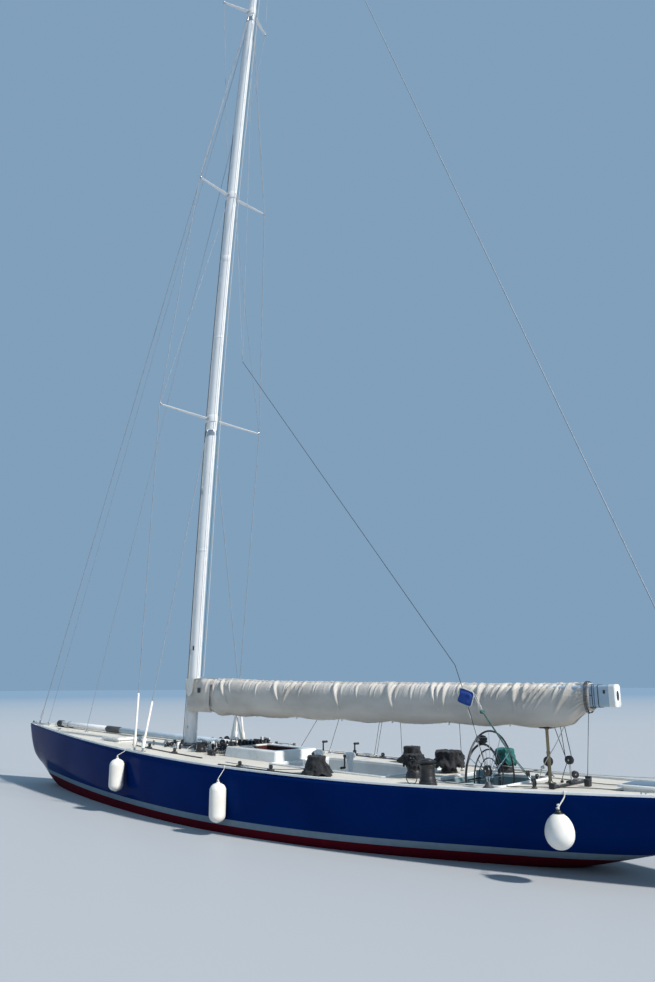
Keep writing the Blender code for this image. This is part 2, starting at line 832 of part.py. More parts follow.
def tab_nose(z):
    """Radius of the tab's round front edge, about its hinge."""
    return fin_half(TAB_HINGE_X, z)


FIN_SHARES = (0.0, 0.012, 0.05, 0.12, 0.25, 0.42, 0.62, 0.82, 1.0)


def fin_ring(z):
    """Section of the fin from its leading edge to the face in front of the tab."""
    lead = fin_lead(z)
    aft = TAB_HINGE_X + tab_nose(z) + RUN_GAP
    xs = [lead + (aft - lead) * share for share in FIN_SHARES]
    port = [Vector((x, fin_half(x, z), z)) for x in xs]
    starboard = [Vector((x, -fin_half(x, z), z)) for x in reversed(xs[1:])]
    return port + starboard


def tab_ring(z):
    """Section of the tab: a round front about the hinge, then straight sides to the trailing edge."""
    radius = tab_nose(z)
    trail = fin_trail(z)
    thin = 0.004
    nose = []
    for k in range(7):
        a = math.pi * (0.5 - k / 6)
        nose.append(Vector((TAB_HINGE_X + radius * math.cos(a), radius * math.sin(a), z)))
    return nose + [Vector((trail, -thin, z)), Vector((trail, thin, z))]


def make_blades():
    keel = loft([fin_ring(z) for z in (KEEL_BOTTOM, (KEEL_BOTTOM + FIN_TOP_Z) / 2, FIN_TOP_Z)])
    hull = hull_body()
    hull.transform(Matrix.Translation((0, 0, -SEAT_GAP)))
    node("ballast_keel", cut(keel, [hull]), DARK_RED, 0.4)
    blade = loft([tab_ring(z) for z in (TAB_BOTTOM_Z, (TAB_BOTTOM_Z + TAB_TOP_Z) / 2, TAB_TOP_Z)])
    pin = rod((TAB_HINGE_X, 0, TAB_TOP_Z - 0.10), (TAB_HINGE_X, 0, TAB_TOP_Z + TAB_PIN_LENGTH),
              TAB_PIN_RADIUS, 16)
    node("trim_tab", join([blade, pin]), DARK_RED, 0.5, pivot=(TAB_HINGE_X, 0, TAB_TOP_Z))

    slope_run = RUDDER_LEAD + RUDDER_TRAIL
    fore_top = smooth(KEEL_LINE, RUDDER_STOCK_X + RUDDER_LEAD) - RUDDER_TOP_CLEARANCE
    aft_top = smooth(KEEL_LINE, RUDDER_STOCK_X - RUDDER_TRAIL) - RUDDER_TOP_CLEARANCE
    slope = (aft_top - fore_top) / slope_run
    rings = []
    # Blade levels: height, share of the chord, share of the slope of the top edge
    levels = ((RUDDER_BOTTOM, RUDDER_TIP_SHARE, 0.0),
              ((RUDDER_BOTTOM + fore_top) / 2, (1 + RUDDER_TIP_SHARE) / 2 + 0.05, 0.0),
              (fore_top, 1.0, 1.0))
    for level, chord_share, slope_share in levels:
        lead = RUDDER_LEAD * chord_share
        chord = slope_run * chord_share
        xs = [lead - chord * share for share in FIN_SHARES]
        heights = [level + slope_share * slope * (lead - x) for x in xs]
        halves = [chord * foil_half(share, RUDDER_THICKNESS) for share in FIN_SHARES]
        port = [Vector((RUDDER_STOCK_X + x, y, z)) for x, y, z in zip(xs, halves, heights)]
        starboard = [Vector((p.x, -p.y, p.z)) for p in reversed(port[1:-1])]
        rings.append(port + starboard)
    blade = loft(rings)
    stock = rod((RUDDER_STOCK_X, 0, fore_top - 0.25), (RUDDER_STOCK_X, 0, STOCK_RISE),
                STOCK_RADIUS, 24)
    node("rudder", join([blade, stock]), DARK_RED, 0.4, pivot=(RUDDER_STOCK_X, 0, 0))


# Spars

def make_mast():
    # Tubes of the mast: name, lowest z, highest z, steps between the levels that fittings need
    tubes = (
        ("mast_lower_tube", MAST_FOOT_Z, MAST_JOINT_Z - SEAT_GAP, 6),
        ("mast_upper_tube", MAST_JOINT_Z, MAST_TOP, 8),
    )
    for name, low, high, steps in tubes:
        levels = {low + (high - low) * k / steps for k in range(steps + 1)}
        bands = [z + half for _, z, _, _ in CROSSTREES for half in (-SPREADER_BAND / 2, SPREADER_BAND / 2)]
        fittings = [COLLAR_TOP, GOOSENECK_Z - GOOSENECK_BACKING, GOOSENECK_Z + GOOSENECK_BACKING,
                    LOWER_SHROUD_Z, HOUNDS_Z]
        levels.update(z for z in fittings + bands if low < z < high)
        node(name, loft([mast_ring(z) for z in sorted(levels)]), WHITE, 0.3)

    grow = COLLAR_WIDTH
    ring = loft([mast_ring(MAST_FOOT_Z, grow), mast_ring(COLLAR_TOP, grow * 0.7),
                 mast_ring(COLLAR_TOP, SEAT_GAP), mast_ring(MAST_FOOT_Z, SEAT_GAP)], loop=True)
    node("mast_collar", ring, STEEL, 0.35, 1.0)


def make_crosstrees():
    for name, z, span, sweep in CROSSTREES:
        low = z - SPREADER_BAND / 2
        high = z + SPREADER_BAND / 2
        band = loft([mast_ring(low, 0.014), mast_ring(high, 0.014), mast_ring(high, SEAT_GAP),
                     mast_ring(low, SEAT_GAP)], loop=True)
        arms = []
        for side in (1, -1):
            tip = spreader_tip(z, span, sweep, side)
            root = Vector((mast_x(z), side * (mast_half_width(z) + 0.006), z))
            arms.append(oval_arm(root, tip, 0.055, 0.026, SPREADER_TIP_CHORD, SPREADER_TIP_HEIGHT))
        node(name, join([band] + arms), WHITE, 0.35)


def oval_arm(root, tip, chord, height, tip_chord, tip_height):
    """A flattened arm from root to tip, wide fore and aft."""
    rings = []
    for place, wide, high in ((root, chord, height), (tip, tip_chord, tip_height)):
        turns = [2 * math.pi * k / 10 for k in range(10)]
        rings.append([place + Vector((wide * math.cos(a), 0, high * math.sin(a))) for a in turns])
    return loft(rings)


def make_boom():
    pin_sides = 16
    pin_x = BOOM_PIN_X
    half = KNUCKLE_HEIGHT / 2
    plate_z = half + JAW_THICKNESS + 0.03
    top = GOOSENECK_Z + plate_z
    face = mast_x(top) - mast_half_length(top) - SEAT_GAP
    plate = box((face - 0.022, -0.075, GOOSENECK_Z - plate_z), (face, 0.075, top))
    gap = PIN_GAP
    shapes = [plate]
    for sign in (1, -1):
        near = GOOSENECK_Z + sign * (half + gap)
        far = near + sign * JAW_THICKNESS
        shapes.append(box((pin_x, -0.045, min(near, far)), (face - 0.01, 0.045, max(near, far))))
        shapes.append(rod((pin_x, 0, min(near, far)), (pin_x, 0, max(near, far)), 0.045, 16))
    shapes.append(rod((pin_x, 0, GOOSENECK_Z - half - JAW_THICKNESS),
                      (pin_x, 0, GOOSENECK_Z + half + JAW_THICKNESS), BOOM_PIN_RADIUS, pin_sides))
    node("gooseneck", join(shapes), STEEL, 0.3, 1.0)

    fore = pin_x - BOOM_NECK
    body = loft([boom_ring(BOOM_END_X), boom_ring(fore)])
    knuckle = rod((pin_x, 0, GOOSENECK_Z - half), (pin_x, 0, GOOSENECK_Z + half), KNUCKLE_RADIUS, 20)
    neck = box((fore - 0.05, -0.035, GOOSENECK_Z - half + 0.004),
               (pin_x - 0.02, 0.035, GOOSENECK_Z + half - 0.004))
    bore = rod((pin_x, 0, GOOSENECK_Z - 0.2), (pin_x, 0, GOOSENECK_Z + 0.2),
               bore_radius(BOOM_PIN_RADIUS, pin_sides), pin_sides)
    node("boom", cut(join([body, neck, knuckle]), [bore]), WHITE, 0.3, pivot=(pin_x, 0, GOOSENECK_Z))


def cover_ring(x):
    low = smooth([(row[0], row[1]) for row in COVER_SECTION], x)
    high = smooth([(row[0], row[2]) for row in COVER_SECTION], x)
    half_wide = smooth([(row[0], row[3]) for row in COVER_SECTION], x)
    ring = []
    for k in range(COVER_SIDES):
        a = 2 * math.pi * k / COVER_SIDES
        c = math.copysign(abs(math.cos(a)) ** 0.72, math.cos(a))
        s = math.copysign(abs(math.sin(a)) ** 0.72, math.sin(a))
        ring.append(Vector((x, half_wide * c, (low + high) / 2 + (high - low) / 2 * s)))
    return ring


def make_cover():
    steps = 9
    xs = [COVER_AFT_X + (COVER_FORE_X - COVER_AFT_X) * k / steps for k in range(steps + 1)]
    body = loft([cover_ring(x) for x in xs])
    bore = loft([boom_ring(COVER_AFT_X - 0.1, SEAT_GAP), boom_ring(BOOM_PIN_X - BOOM_NECK + 0.3, SEAT_GAP)])
    node("sail_cover", cut(body, [bore]), COVER_GREY, 0.7, pivot=(BOOM_PIN_X, 0, GOOSENECK_Z))


# Standing rigging

STEM_FITTING_TOP = deck_z(BOW_X - STEM_FITTING_SETBACK) + FITTING_HEIGHT
STERN_FITTING_TOP = seat_z(BACKSTAY_X, STERN_FITTING_HALF) + FITTING_HEIGHT
CHAINPLATE_MIDDLE_X = CHAINPLATE_FORE_X - CHAINPLATE_SPREAD / 2
CHAINPLATE_HALF = CHAINPLATE_SPREAD / 2 + CHAINPLATE_END
CHAINPLATE_TOP = seat_z(CHAINPLATE_MIDDLE_X, CHAINPLATE_HALF) + CHAINPLATE_HEIGHT
CHAINPLATE_Y = deck_edge(CHAINPLATE_MIDDLE_X) - CHAINPLATE_INSET


def pad(plan, top):
    """A block whose foot follows the deck and whose top is level."""
    return loft([[Vector((x, y, deck_z(x) + SEAT_GAP)) for x, y in plan],
                 [Vector((x, y, top)) for x, y in plan]])


def stay(name, seat, points, foot_radius, foot_length):
    """A wire from the flat top of its fitting upward, thicker over the foot's screw or tube."""
    seat = Vector(seat)
    points = [Vector(p) for p in points]
    lift = SEAT_GAP
    for _ in range(3):
        foot = seat + Vector((0, 0, lift))
        along = (points[0] - foot).normalized()
        top = foot + along * foot_length
        radii = [foot_radius, foot_radius] + [STAY_RADIUS] * (len(points) + 1)
        mesh = tube([foot, top, top + along * 0.02] + points, radii, 8)
        lift += seat.z + SEAT_GAP - min(v.co.z for v in mesh.vertices)
    node(name, mesh, STEEL, 0.3, 1.0)


def stand_off(lean):
    """How far outside a spreader's tip the middle of a wire runs that leans inward above it."""
    return STAY_RADIUS * math.hypot(1, lean) + SPREADER_TIP_HEIGHT * lean + SEAT_GAP


def make_rigging():
    head = MAST_TOP - 0.12
    clear = STAY_RADIUS + 0.003
    fore = BOW_X - STEM_FITTING_SETBACK
    aft = BOW_X - STEM_FITTING_LENGTH
    plan = ((aft, -0.085), (fore, -0.016), (fore, 0.016), (aft, 0.085))
    node("stem_fitting", pad(plan, STEM_FITTING_TOP), STEEL, 0.3, 1.0)
    fore = BACKSTAY_X + STERN_FITTING_HALF
    aft = BACKSTAY_X - STERN_FITTING_HALF
    plan = ((aft, -0.05), (fore, -0.05), (fore, 0.05), (aft, 0.05))
    node("stern_fitting", pad(plan, STERN_FITTING_TOP), STEEL, 0.3, 1.0)

    z = FORESTAY_MAST_Z
    stay("forestay", (FORESTAY_X, 0, STEM_FITTING_TOP),
         [(mast_x(z) + mast_half_length(z) + clear, 0, z)], TURNBUCKLE_RADIUS, TURNBUCKLE_LENGTH)
    stay("backstay", (BACKSTAY_X, 0, STERN_FITTING_TOP),
         [(mast_x(head) - mast_half_length(head) - clear, 0, head)], TURNBUCKLE_RADIUS,
         TURNBUCKLE_LENGTH)

    low_lean = (LOWER_SPREADER_SPAN - UPPER_SPREADER_SPAN) / (UPPER_SPREADER_Z - LOWER_SPREADER_Z)
    upper_lean = UPPER_SPREADER_SPAN / (HOUNDS_Z - UPPER_SPREADER_Z)
    lower_tip = (LOWER_SPREADER_Z, LOWER_SPREADER_SPAN + stand_off(low_lean), LOWER_SPREADER_SWEEP)
    upper_tip = (UPPER_SPREADER_Z, UPPER_SPREADER_SPAN + stand_off(upper_lean), UPPER_SPREADER_SWEEP)
    for side_name, side in (("port", 1), ("starboard", -1)):
        y = side * CHAINPLATE_Y
        fore = CHAINPLATE_MIDDLE_X + CHAINPLATE_HALF
        aft = CHAINPLATE_MIDDLE_X - CHAINPLATE_HALF
        low = y - CHAINPLATE_WIDTH / 2
        high = y + CHAINPLATE_WIDTH / 2
        plan = ((aft, low), (fore, low), (fore, high), (aft, high))
        node("chainplate_" + side_name, pad(plan, CHAINPLATE_TOP), STEEL, 0.3, 1.0)
        z = HOUNDS_Z
        stay("cap_shroud_" + side_name, (CHAINPLATE_FORE_X, y, CHAINPLATE_TOP),
             [spreader_tip(*lower_tip, side), spreader_tip(*upper_tip, side),
              (mast_x(z), side * (mast_half_width(z) + clear), z)],
             SHROUD_COVER_RADIUS, SHROUD_COVER_LENGTH)
        z = LOWER_SHROUD_Z
        stay("lower_shroud_" + side_name,
             (CHAINPLATE_FORE_X - CHAINPLATE_SPREAD, y, CHAINPLATE_TOP),
             [(mast_x(z), side * (mast_half_width(z) + clear), z)],
             SHROUD_COVER_RADIUS, LOWER_COVER_LENGTH)


def make_pole():
    heights = [seat_z(x, POLE_END_LENGTH) + POLE_END_RADIUS for x, _ in (POLE_FORE, POLE_AFT)]
    middle = (POLE_FORE[0] + POLE_AFT[0]) / 2
    for _ in range(4):
        fore = Vector((*POLE_FORE, heights[0]))
        aft = Vector((*POLE_AFT, heights[1]))
        along = (aft - fore).normalized()
        points = [fore, fore + along * POLE_END_LENGTH, fore + along * (POLE_END_LENGTH + 0.03),
                  aft - along * (POLE_END_LENGTH + 0.03), aft - along * POLE_END_LENGTH, aft]
        radii = [POLE_END_RADIUS, POLE_END_RADIUS, POLE_RADIUS, POLE_RADIUS, POLE_END_RADIUS,
                 POLE_END_RADIUS]
        mesh = tube(points, radii, 16)
        spots = [v.co for v in mesh.vertices]
        heights[0] -= min(p.z - deck_z(p.x) for p in spots if p.x > middle) - SEAT_GAP
        heights[1] -= min(p.z - deck_z(p.x) for p in spots if p.x < middle) - SEAT_GAP
    node("spinnaker_pole", mesh, WHITE, 0.35)


# Deck gear

def make_grinders():
    sides = 16
    for name, x in GRINDER_XS:
        floor = CREW_FLOOR + SEAT_GAP
        z = GRINDER_AXLE_Z
        profile = ((GRINDER_FOOT_RADIUS, 0), (GRINDER_FOOT_RADIUS, 0.02), (GRINDER_RADIUS, 0.06),
                   (GRINDER_RADIUS, z + 0.06 - floor))
        column = turned(profile, (x, 0, floor), sides=sides)
        head = rod((x, -GRINDER_HEAD_HALF, z), (x, GRINDER_HEAD_HALF, z), 0.045, sides)
        bore = rod((x, -0.2, z), (x, 0.2, z), bore_radius(CRANK_SHAFT_RADIUS, sides), sides)
        node(name + "_pedestal", cut(join([column, head]), [bore]), WHITE, 0.35)

        arm_y = GRINDER_HEAD_HALF + RUN_GAP + CRANK_BAR
        shapes = [rod((x, -arm_y - CRANK_BAR, z), (x, arm_y + CRANK_BAR, z), CRANK_SHAFT_RADIUS, sides)]
        for side, lift in ((1, -1), (-1, 1)):
            y = side * arm_y
            far = z + lift * CRANK_ARM
            low = min(z, far) - CRANK_BAR
            high = max(z, far) + CRANK_BAR
            shapes.append(box((x - 0.020, y - CRANK_BAR, low), (x + 0.020, y + CRANK_BAR, high)))
            shapes.append(rod((x, y, far), (x, y + side * (CRANK_BAR + CRANK_GRIP), far),
                              CRANK_GRIP_RADIUS, 10))
        node(name + "_crank", join(shapes), BLACK, 0.4, pivot=(x, 0, z))


def make_winches():
    for name, x, y, height, radius in WINCHES:
        for side_name, side in (("port", 1), ("starboard", -1)):
            base = seat_z(x, radius * 1.05)
            profile = ((radius * 1.05, 0), (radius * 1.05, height * 0.12), (radius * 0.92, height * 0.20),
                       (radius * 0.80, height * 0.45), (radius * 0.86, height * 0.68),
                       (radius, height * 0.80), (radius, height * 0.90), (radius * 0.55, height))
            node(name + "_" + side_name, turned(profile, (x, side * y, base), sides=16), BLACK, 0.4)


def make_helm():
    sides = 24
    axis = (1, 0, 0)
    wheel_hub = (WHEEL_X - HUB_LENGTH / 2, WHEEL_X + HUB_LENGTH / 2)
    trim_hub = (wheel_hub[1] + PIN_GAP * 2, wheel_hub[1] + PIN_GAP * 2 + HUB_LENGTH)
    trim_x = sum(trim_hub) / 2
    back = trim_hub[1] + PIN_GAP * 2
    nut_end = wheel_hub[0] - PIN_GAP * 2
    bore = bore_radius(AXLE_RADIUS, sides)
    passage = rod((nut_end - NUT_LENGTH, 0, WHEEL_Z), (back + AXLE_ROOT, 0, WHEEL_Z), bore, sides)

    half = BINNACLE_WIDTH / 2
    low = HELM_FLOOR + SEAT_GAP
    foot = rectangle(back, back + BINNACLE_DEPTH + BINNACLE_TOE, -half - BINNACLE_TOE,
                     half + BINNACLE_TOE, lambda x: low)
    waist = rectangle(back, back + BINNACLE_DEPTH, -half, half, lambda x: low + BINNACLE_WAIST)
    top = rectangle(back, back + BINNACLE_DEPTH, -half, half, lambda x: BINNACLE_TOP)
    column = loft([foot, waist, top])
    axle = rod((nut_end - NUT_LENGTH / 2, 0, WHEEL_Z), (back + AXLE_ROOT, 0, WHEEL_Z), AXLE_RADIUS, sides)
    nut = rod((nut_end - NUT_LENGTH, 0, WHEEL_Z), (nut_end, 0, WHEEL_Z), NUT_RADIUS, sides)

    arch_x = back + BINNACLE_DEPTH / 2
    turns = [math.pi * k / ARCH_STEPS for k in range(ARCH_STEPS + 1)]
    bend = [Vector((arch_x, ARCH_RADIUS * math.cos(a), WHEEL_Z + ARCH_RADIUS * math.sin(a))) for a in turns]
    path = [Vector((arch_x, ARCH_RADIUS, low))] + bend + [Vector((arch_x, -ARCH_RADIUS, low))]
    arch = tube(path, [ARCH_BAR] * len(path))
    brace = rod((arch_x, -ARCH_RADIUS, WHEEL_Z), (arch_x, ARCH_RADIUS, WHEEL_Z), BRACE_RADIUS, 8)
    shelf_top = WHEEL_Z + ARCH_RADIUS + ARCH_BAR + COMPASS_SHELF_HEIGHT
    shelf = rod((arch_x, 0, WHEEL_Z + ARCH_RADIUS), (arch_x, 0, shelf_top), COMPASS_SHELF_RADIUS, 16)
    node("binnacle", join([column, axle, nut, arch, brace, shelf]), TEAL_GREY, 0.4)
    profile = ((COMPASS_RADIUS, 0), (COMPASS_RADIUS, COMPASS_HEIGHT * 0.55),
               (COMPASS_RADIUS * 0.72, COMPASS_HEIGHT * 0.88), (COMPASS_RADIUS * 0.3, COMPASS_HEIGHT))
    node("compass", turned(profile, (arch_x, 0, shelf_top + SEAT_GAP), sides=16), BLACK, 0.2)

    centre = Vector((WHEEL_X, 0, WHEEL_Z))
    shapes = [rod((wheel_hub[0], 0, WHEEL_Z), (wheel_hub[1], 0, WHEEL_Z), HUB_RADIUS, sides),
              hoop(centre, axis, WHEEL_RADIUS, WHEEL_RIM, 36, 6)]
    for k in range(WHEEL_SPOKES):
        a = 2 * math.pi * k / WHEEL_SPOKES
        out = Vector((0, math.cos(a), math.sin(a)))
        shapes.append(rod(centre + out * (HUB_RADIUS - 0.01), centre + out * WHEEL_RADIUS, SPOKE_RADIUS, 6))
    node("steering_wheel", cut(join(shapes), [passage]), STEEL, 0.25, 1.0, pivot=centre)

    centre = Vector((trim_x, 0, WHEEL_Z))
    shapes = [rod((trim_hub[0], 0, WHEEL_Z), (trim_hub[1], 0, WHEEL_Z), HUB_RADIUS, sides),
              hoop(centre, axis, TRIM_WHEEL_RADIUS, TRIM_WHEEL_RIM, 28, 6),
              hoop(centre, axis, TRIM_INNER_RADIUS, TRIM_WHEEL_RIM, 24, 6)]
    for k in range(TRIM_SPOKES):
        a = 2 * math.pi * (k + 0.25) / TRIM_SPOKES
        out = Vector((0, math.cos(a), math.sin(a)))
        shapes.append(rod(centre + out * (HUB_RADIUS - 0.01), centre + out * TRIM_WHEEL_RADIUS,
                          SPOKE_RADIUS, 6))
    node("trim_wheel", cut(join(shapes), [passage]), STEEL, 0.25, 1.0, pivot=centre)


def make_fenders():
    for name, x, drop, height, radius in FENDERS:
        length = height - FENDER_EYE
        bulge = radius * 0.55
        profile = ((radius * 0.35, 0), (radius * 0.75, bulge * 0.25), (radius, bulge),
                   (radius, length - bulge), (radius * 0.75, length - bulge * 0.25),
                   (radius * 0.30, length), (radius * 0.22, height))
        hang(name, x, deck_z(x) - drop, height, radius, profile)
    r = BUOY_RADIUS
    height = BUOY_LENGTH
    profile = ((r * 0.30, 0), (r * 0.78, height * 0.10), (r, height * 0.34), (r * 0.96, height * 0.52),
               (r * 0.72, height * 0.76), (r * 0.34, height * 0.93), (r * 0.20, height))
    hang("fender_aft", BUOY_X, deck_z(BUOY_X) - BUOY_DROP, height, r, profile)


def hull_side_y(x, top, bottom):
    """Widest the hull's port side gets between two heights near x."""
    widest = 0.0
    for dx in (-0.2, 0.0, 0.2):
        points = section(x + dx)
        for p in points:
            if p.y > 0 and bottom - 0.15 <= p.z <= top + 0.15:
                widest = max(widest, p.y)
    return widest


def hang(name, x, top, height, radius, profile):
    """A fender on its lanyard, which runs up and over the deck edge."""
    bottom = top - height
    y = hull_side_y(x, top, bottom) + radius + FENDER_CLEARANCE
    body = turned(profile, (x, y, bottom), sides=16)
    reach = LANYARD_RADIUS
    edge_y = max(deck_edge(x - reach), deck_edge(x + reach))
    rail_z = max(deck_z(x - reach), deck_z(x + reach)) + SEAT_GAP + TOE_RAIL_HEIGHT
    over = LANYARD_RADIUS + SEAT_GAP
    line = tube([(x, y, top - 0.06), (x, y, top + 0.02), (x, edge_y + over, rail_z - 0.05),
                 (x, edge_y + over, rail_z + over), (x, edge_y - LANYARD_TAIL, rail_z + over)],
                LANYARD_RADIUS, 6)
    node(name, join([body, line]), FENDER_WHITE, 0.4)


def make_small_gear():
    base = seat_z(CRUTCH_X, 0.10)
    cover_low = smooth([(row[0], row[1]) for row in COVER_SECTION], CRUTCH_X)
    height = cover_low - RUN_GAP - 0.004 - base
    profile = ((0.09, 0), (0.09, 0.012), (CRUTCH_RADIUS, 0.04), (CRUTCH_RADIUS, height - 0.05),
               (0.055, height - 0.03), (0.055, height))
    node("boom_crutch", turned(profile, (CRUTCH_X, 0, base), sides=16), BLACK, 0.4)

    base = seat_z(TRAVELLER_X, TRAVELLER_WIDTH)
    track = box((TRAVELLER_X - TRAVELLER_WIDTH / 2, -TRAVELLER_HALF, base),
                (TRAVELLER_X + TRAVELLER_WIDTH / 2, TRAVELLER_HALF, base + TRAVELLER_HEIGHT))
    car = box((TRAVELLER_X - 0.045, -0.09, base + TRAVELLER_HEIGHT - 0.012),
              (TRAVELLER_X + 0.045, 0.09, base + TRAVELLER_HEIGHT + 0.035))
    node("mainsheet_traveller", join([track, car]), BLACK, 0.4)

    for side_name, side in (("port", 1), ("starboard", -1)):
        base = seat_z(QUARTER_BLOCK_X, 0.10)
        y = side * QUARTER_BLOCK_Y
        cone = turned(((0.085, 0), (0.085, 0.015), (0.03, 0.13), (0.03, 0.20)),
                      (QUARTER_BLOCK_X, y, base), sides=16)
        sheave = rod((QUARTER_BLOCK_X, y - 0.028, base + 0.24), (QUARTER_BLOCK_X, y + 0.028, base + 0.24),
                     0.075, 16)
        node("quarter_block_" + side_name, join([cone, sheave]), BLACK, 0.4)


def main():
    for item in list(bpy.data.objects):
        bpy.data.objects.remove(item, do_unlink=True)
    make_hull_bottom()
    make_topsides()
    make_deck()
    make_liners()
    make_hatch("fore_hatch", FORE_HATCH_WELL, True)
    make_hatch("aft_hatch", AFT_HATCH_WELL, False)
    make_toe_rails()
    make_blades()
    make_mast()
    make_crosstrees()
    make_boom()
    make_cover()
    make_rigging()
    make_pole()
    make_grinders()
    make_winches()
    make_helm()
    make_fenders()
    make_small_gear()


main()
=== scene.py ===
import math
import random

import bmesh
import bpy
from mathutils import Matrix, Vector, noise


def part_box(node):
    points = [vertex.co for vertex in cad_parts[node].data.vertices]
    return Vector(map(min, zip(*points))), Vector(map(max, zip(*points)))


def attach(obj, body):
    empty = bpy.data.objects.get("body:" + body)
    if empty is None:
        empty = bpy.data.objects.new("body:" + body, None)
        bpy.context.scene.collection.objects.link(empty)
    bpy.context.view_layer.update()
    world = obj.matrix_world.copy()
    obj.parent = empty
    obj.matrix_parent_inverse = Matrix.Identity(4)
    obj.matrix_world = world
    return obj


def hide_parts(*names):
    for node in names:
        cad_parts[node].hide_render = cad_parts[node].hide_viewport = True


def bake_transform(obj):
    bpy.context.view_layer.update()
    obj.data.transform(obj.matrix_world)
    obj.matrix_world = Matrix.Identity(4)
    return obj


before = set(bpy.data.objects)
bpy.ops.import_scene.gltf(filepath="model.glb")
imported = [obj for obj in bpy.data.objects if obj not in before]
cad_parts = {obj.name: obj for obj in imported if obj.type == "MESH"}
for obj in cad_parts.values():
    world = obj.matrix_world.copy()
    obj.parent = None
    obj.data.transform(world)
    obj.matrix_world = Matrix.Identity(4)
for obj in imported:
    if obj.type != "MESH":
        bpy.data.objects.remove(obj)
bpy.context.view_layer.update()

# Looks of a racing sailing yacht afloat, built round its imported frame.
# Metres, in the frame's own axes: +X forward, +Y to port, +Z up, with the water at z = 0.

# The photograph's camera
CAMERA_PLACE = (-12.66, 11.36, 2.54)
CAMERA_YAW = -0.827
CAMERA_PITCH = 0.243
CAMERA_ROLL = -0.005
CAMERA_LENS = 28.54

# Directions
AHEAD = (1, 0, 0)
ASTERN = (-1, 0, 0)
ACROSS = (0, 1, 0)
UPWARD = (0, 0, 1)
QUARTERS = ((1, 1), (-1, 1), (-1, -1), (1, -1))

# Hull form, the same as in the frame
BOW_X = 9.36
STERN_X = -9.64
BOW_HEIGHT = 1.50
SHEER_LOW = 1.046
SHEER_LOW_X = -4.60
SHEER_POWER = 1.55
HALF_BEAM = 1.85
MAX_BEAM_X = -0.89
STERN_HALF_BEAM = 0.43
STEM_HALF_WIDTH = 0.03
FORE_FULLNESS = 1.53
AFT_FULLNESS = 1.94
BODY_DEPTH = 1.22
ENTRY_X = 7.50
EXIT_X = -7.20
STERN_UNDERSIDE = 0.66
DECK_THICKNESS = 0.030
SHELL_THICKNESS = 0.012
HULL_STATIONS = 150
HULL_STEPS = 44
STATION_CROWDING = 1.4
EDGE_CROWDING = 1.6
MARGIN_WIDTH = 0.030
RAIL_WIDTH = 0.030
RAIL_HEIGHT = 0.035
RAIL_INSET = 0.004
RAIL_ROUND = 0.009
RAIL_STATIONS = 130
RAIL_GAP_AFT = 0.012
RAIL_GAP_FORE = 0.74
DECK_STATIONS = 110
DECK_ANGLE = 30
WELD_GAP = 0.00001
# Gap left between a fitting and the deck it stands on
SEAT = 0.0006

# Boot stripe: height of its top amidships, its rise to the ends, and its depth
STRIPE_TOP = 0.245
STRIPE_RISE = 0.0016
STRIPE_MIDDLE_X = -2.0
STRIPE_DEPTH = 0.105

# Spars, the same as in the frame
MAST_FOOT_X = 2.007
MAST_TOP = 26.20
MAST_DATUM_Z = 1.20
MAST_RAKE = 0.096
MAST_BEND = 0.40
LOWER_SPREADER_Z = 8.81
UPPER_SPREADER_Z = 14.74
JUMPER_Z = 20.07
MAST_JOINT_Z = 13.0
GOOSENECK_Z = 2.20
BOOM_PIN_SETBACK = 0.145
BOOM_END_X = -7.87
BOOM_END_Z = 2.355
BOOM_HEIGHT = 0.31
BOOM_WIDTH = 0.20
BOOM_CORNER = 0.045
BOOM_NECK = 0.24
COVER_FORE_X = 1.28
COVER_AFT_X = -7.46

# Linear colours, clean and dirty or dark and pale
NAVY = ((0.0004, 0.0130, 0.088), (0.0008, 0.0190, 0.120))
STRIPE_GREY = ((0.125, 0.185, 0.235), (0.195, 0.260, 0.310))
BOTTOM_RED = ((0.064, 0.004, 0.009), (0.115, 0.006, 0.014))
DECK_CREAM = ((0.71, 0.66, 0.57), (0.58, 0.54, 0.47))
DECK_SAND = (0.45, 0.42, 0.37)
COVER_GREY = ((0.60, 0.555, 0.50), (0.47, 0.43, 0.38))
# Painted shade for the cover's lower sides
COVER_PAINTED_SHADE = (0.40, 0.36, 0.31)
FADED_BLACK = ((0.007, 0.008, 0.010), (0.026, 0.028, 0.033))

# Values of a noise between which patches, softer patches and speckles fade in
PATCH = (0.35, 0.75)
SOFT_PATCH = (0.3, 0.7)
SPECKLE = (0.35, 0.65)

# Finish details: blur of the paint's edge, grit and weave by scale and depth, heights of the painted shade
# low on the cover
PAINT_EDGE = 0.0015
GRIT_SCALE = 260.0
GRIT_DEPTH = 0.0012
GRIT_SHARE = 0.35
WEAVE_SCALE = 430.0
WEAVE_WOBBLE = 1.5
WEAVE_DEPTH = 0.00030
WRINKLE_SCALE = 22.0
WRINKLE_DEPTH = 0.0035
# Painted shade on the cover: height where it starts, height where it is full, and its share
SHADE_TOP_Z = 2.02
SHADE_FULL_Z = 1.88
SHADE_SHARE = 0.40


# Numeric helpers

def smooth(table, x):
    """Monotone cubic curve through a table of rising positions and values."""
    xs = [p[0] for p in table]
    ys = [p[1] for p in table]
    if x <= xs[0]:
        return ys[0]
    if x >= xs[-1]:
        return ys[-1]
    slopes = [(ys[i + 1] - ys[i]) / (xs[i + 1] - xs[i]) for i in range(len(xs) - 1)]
    tangents = [slopes[0]]
    for before, after in zip(slopes, slopes[1:]):
        tangents.append(0.0 if before * after <= 0 else 2 * before * after / (before + after))
    tangents.append(slopes[-1])
    i = max(k for k in range(len(xs) - 1) if xs[k] <= x)
    h = xs[i + 1] - xs[i]
    t = (x - xs[i]) / h
    return (ys[i] * (1 + 2 * t) * (1 - t) ** 2 + ys[i + 1] * t * t * (3 - 2 * t)
            + h * tangents[i] * t * (1 - t) ** 2 - h * tangents[i + 1] * t * t * (1 - t))


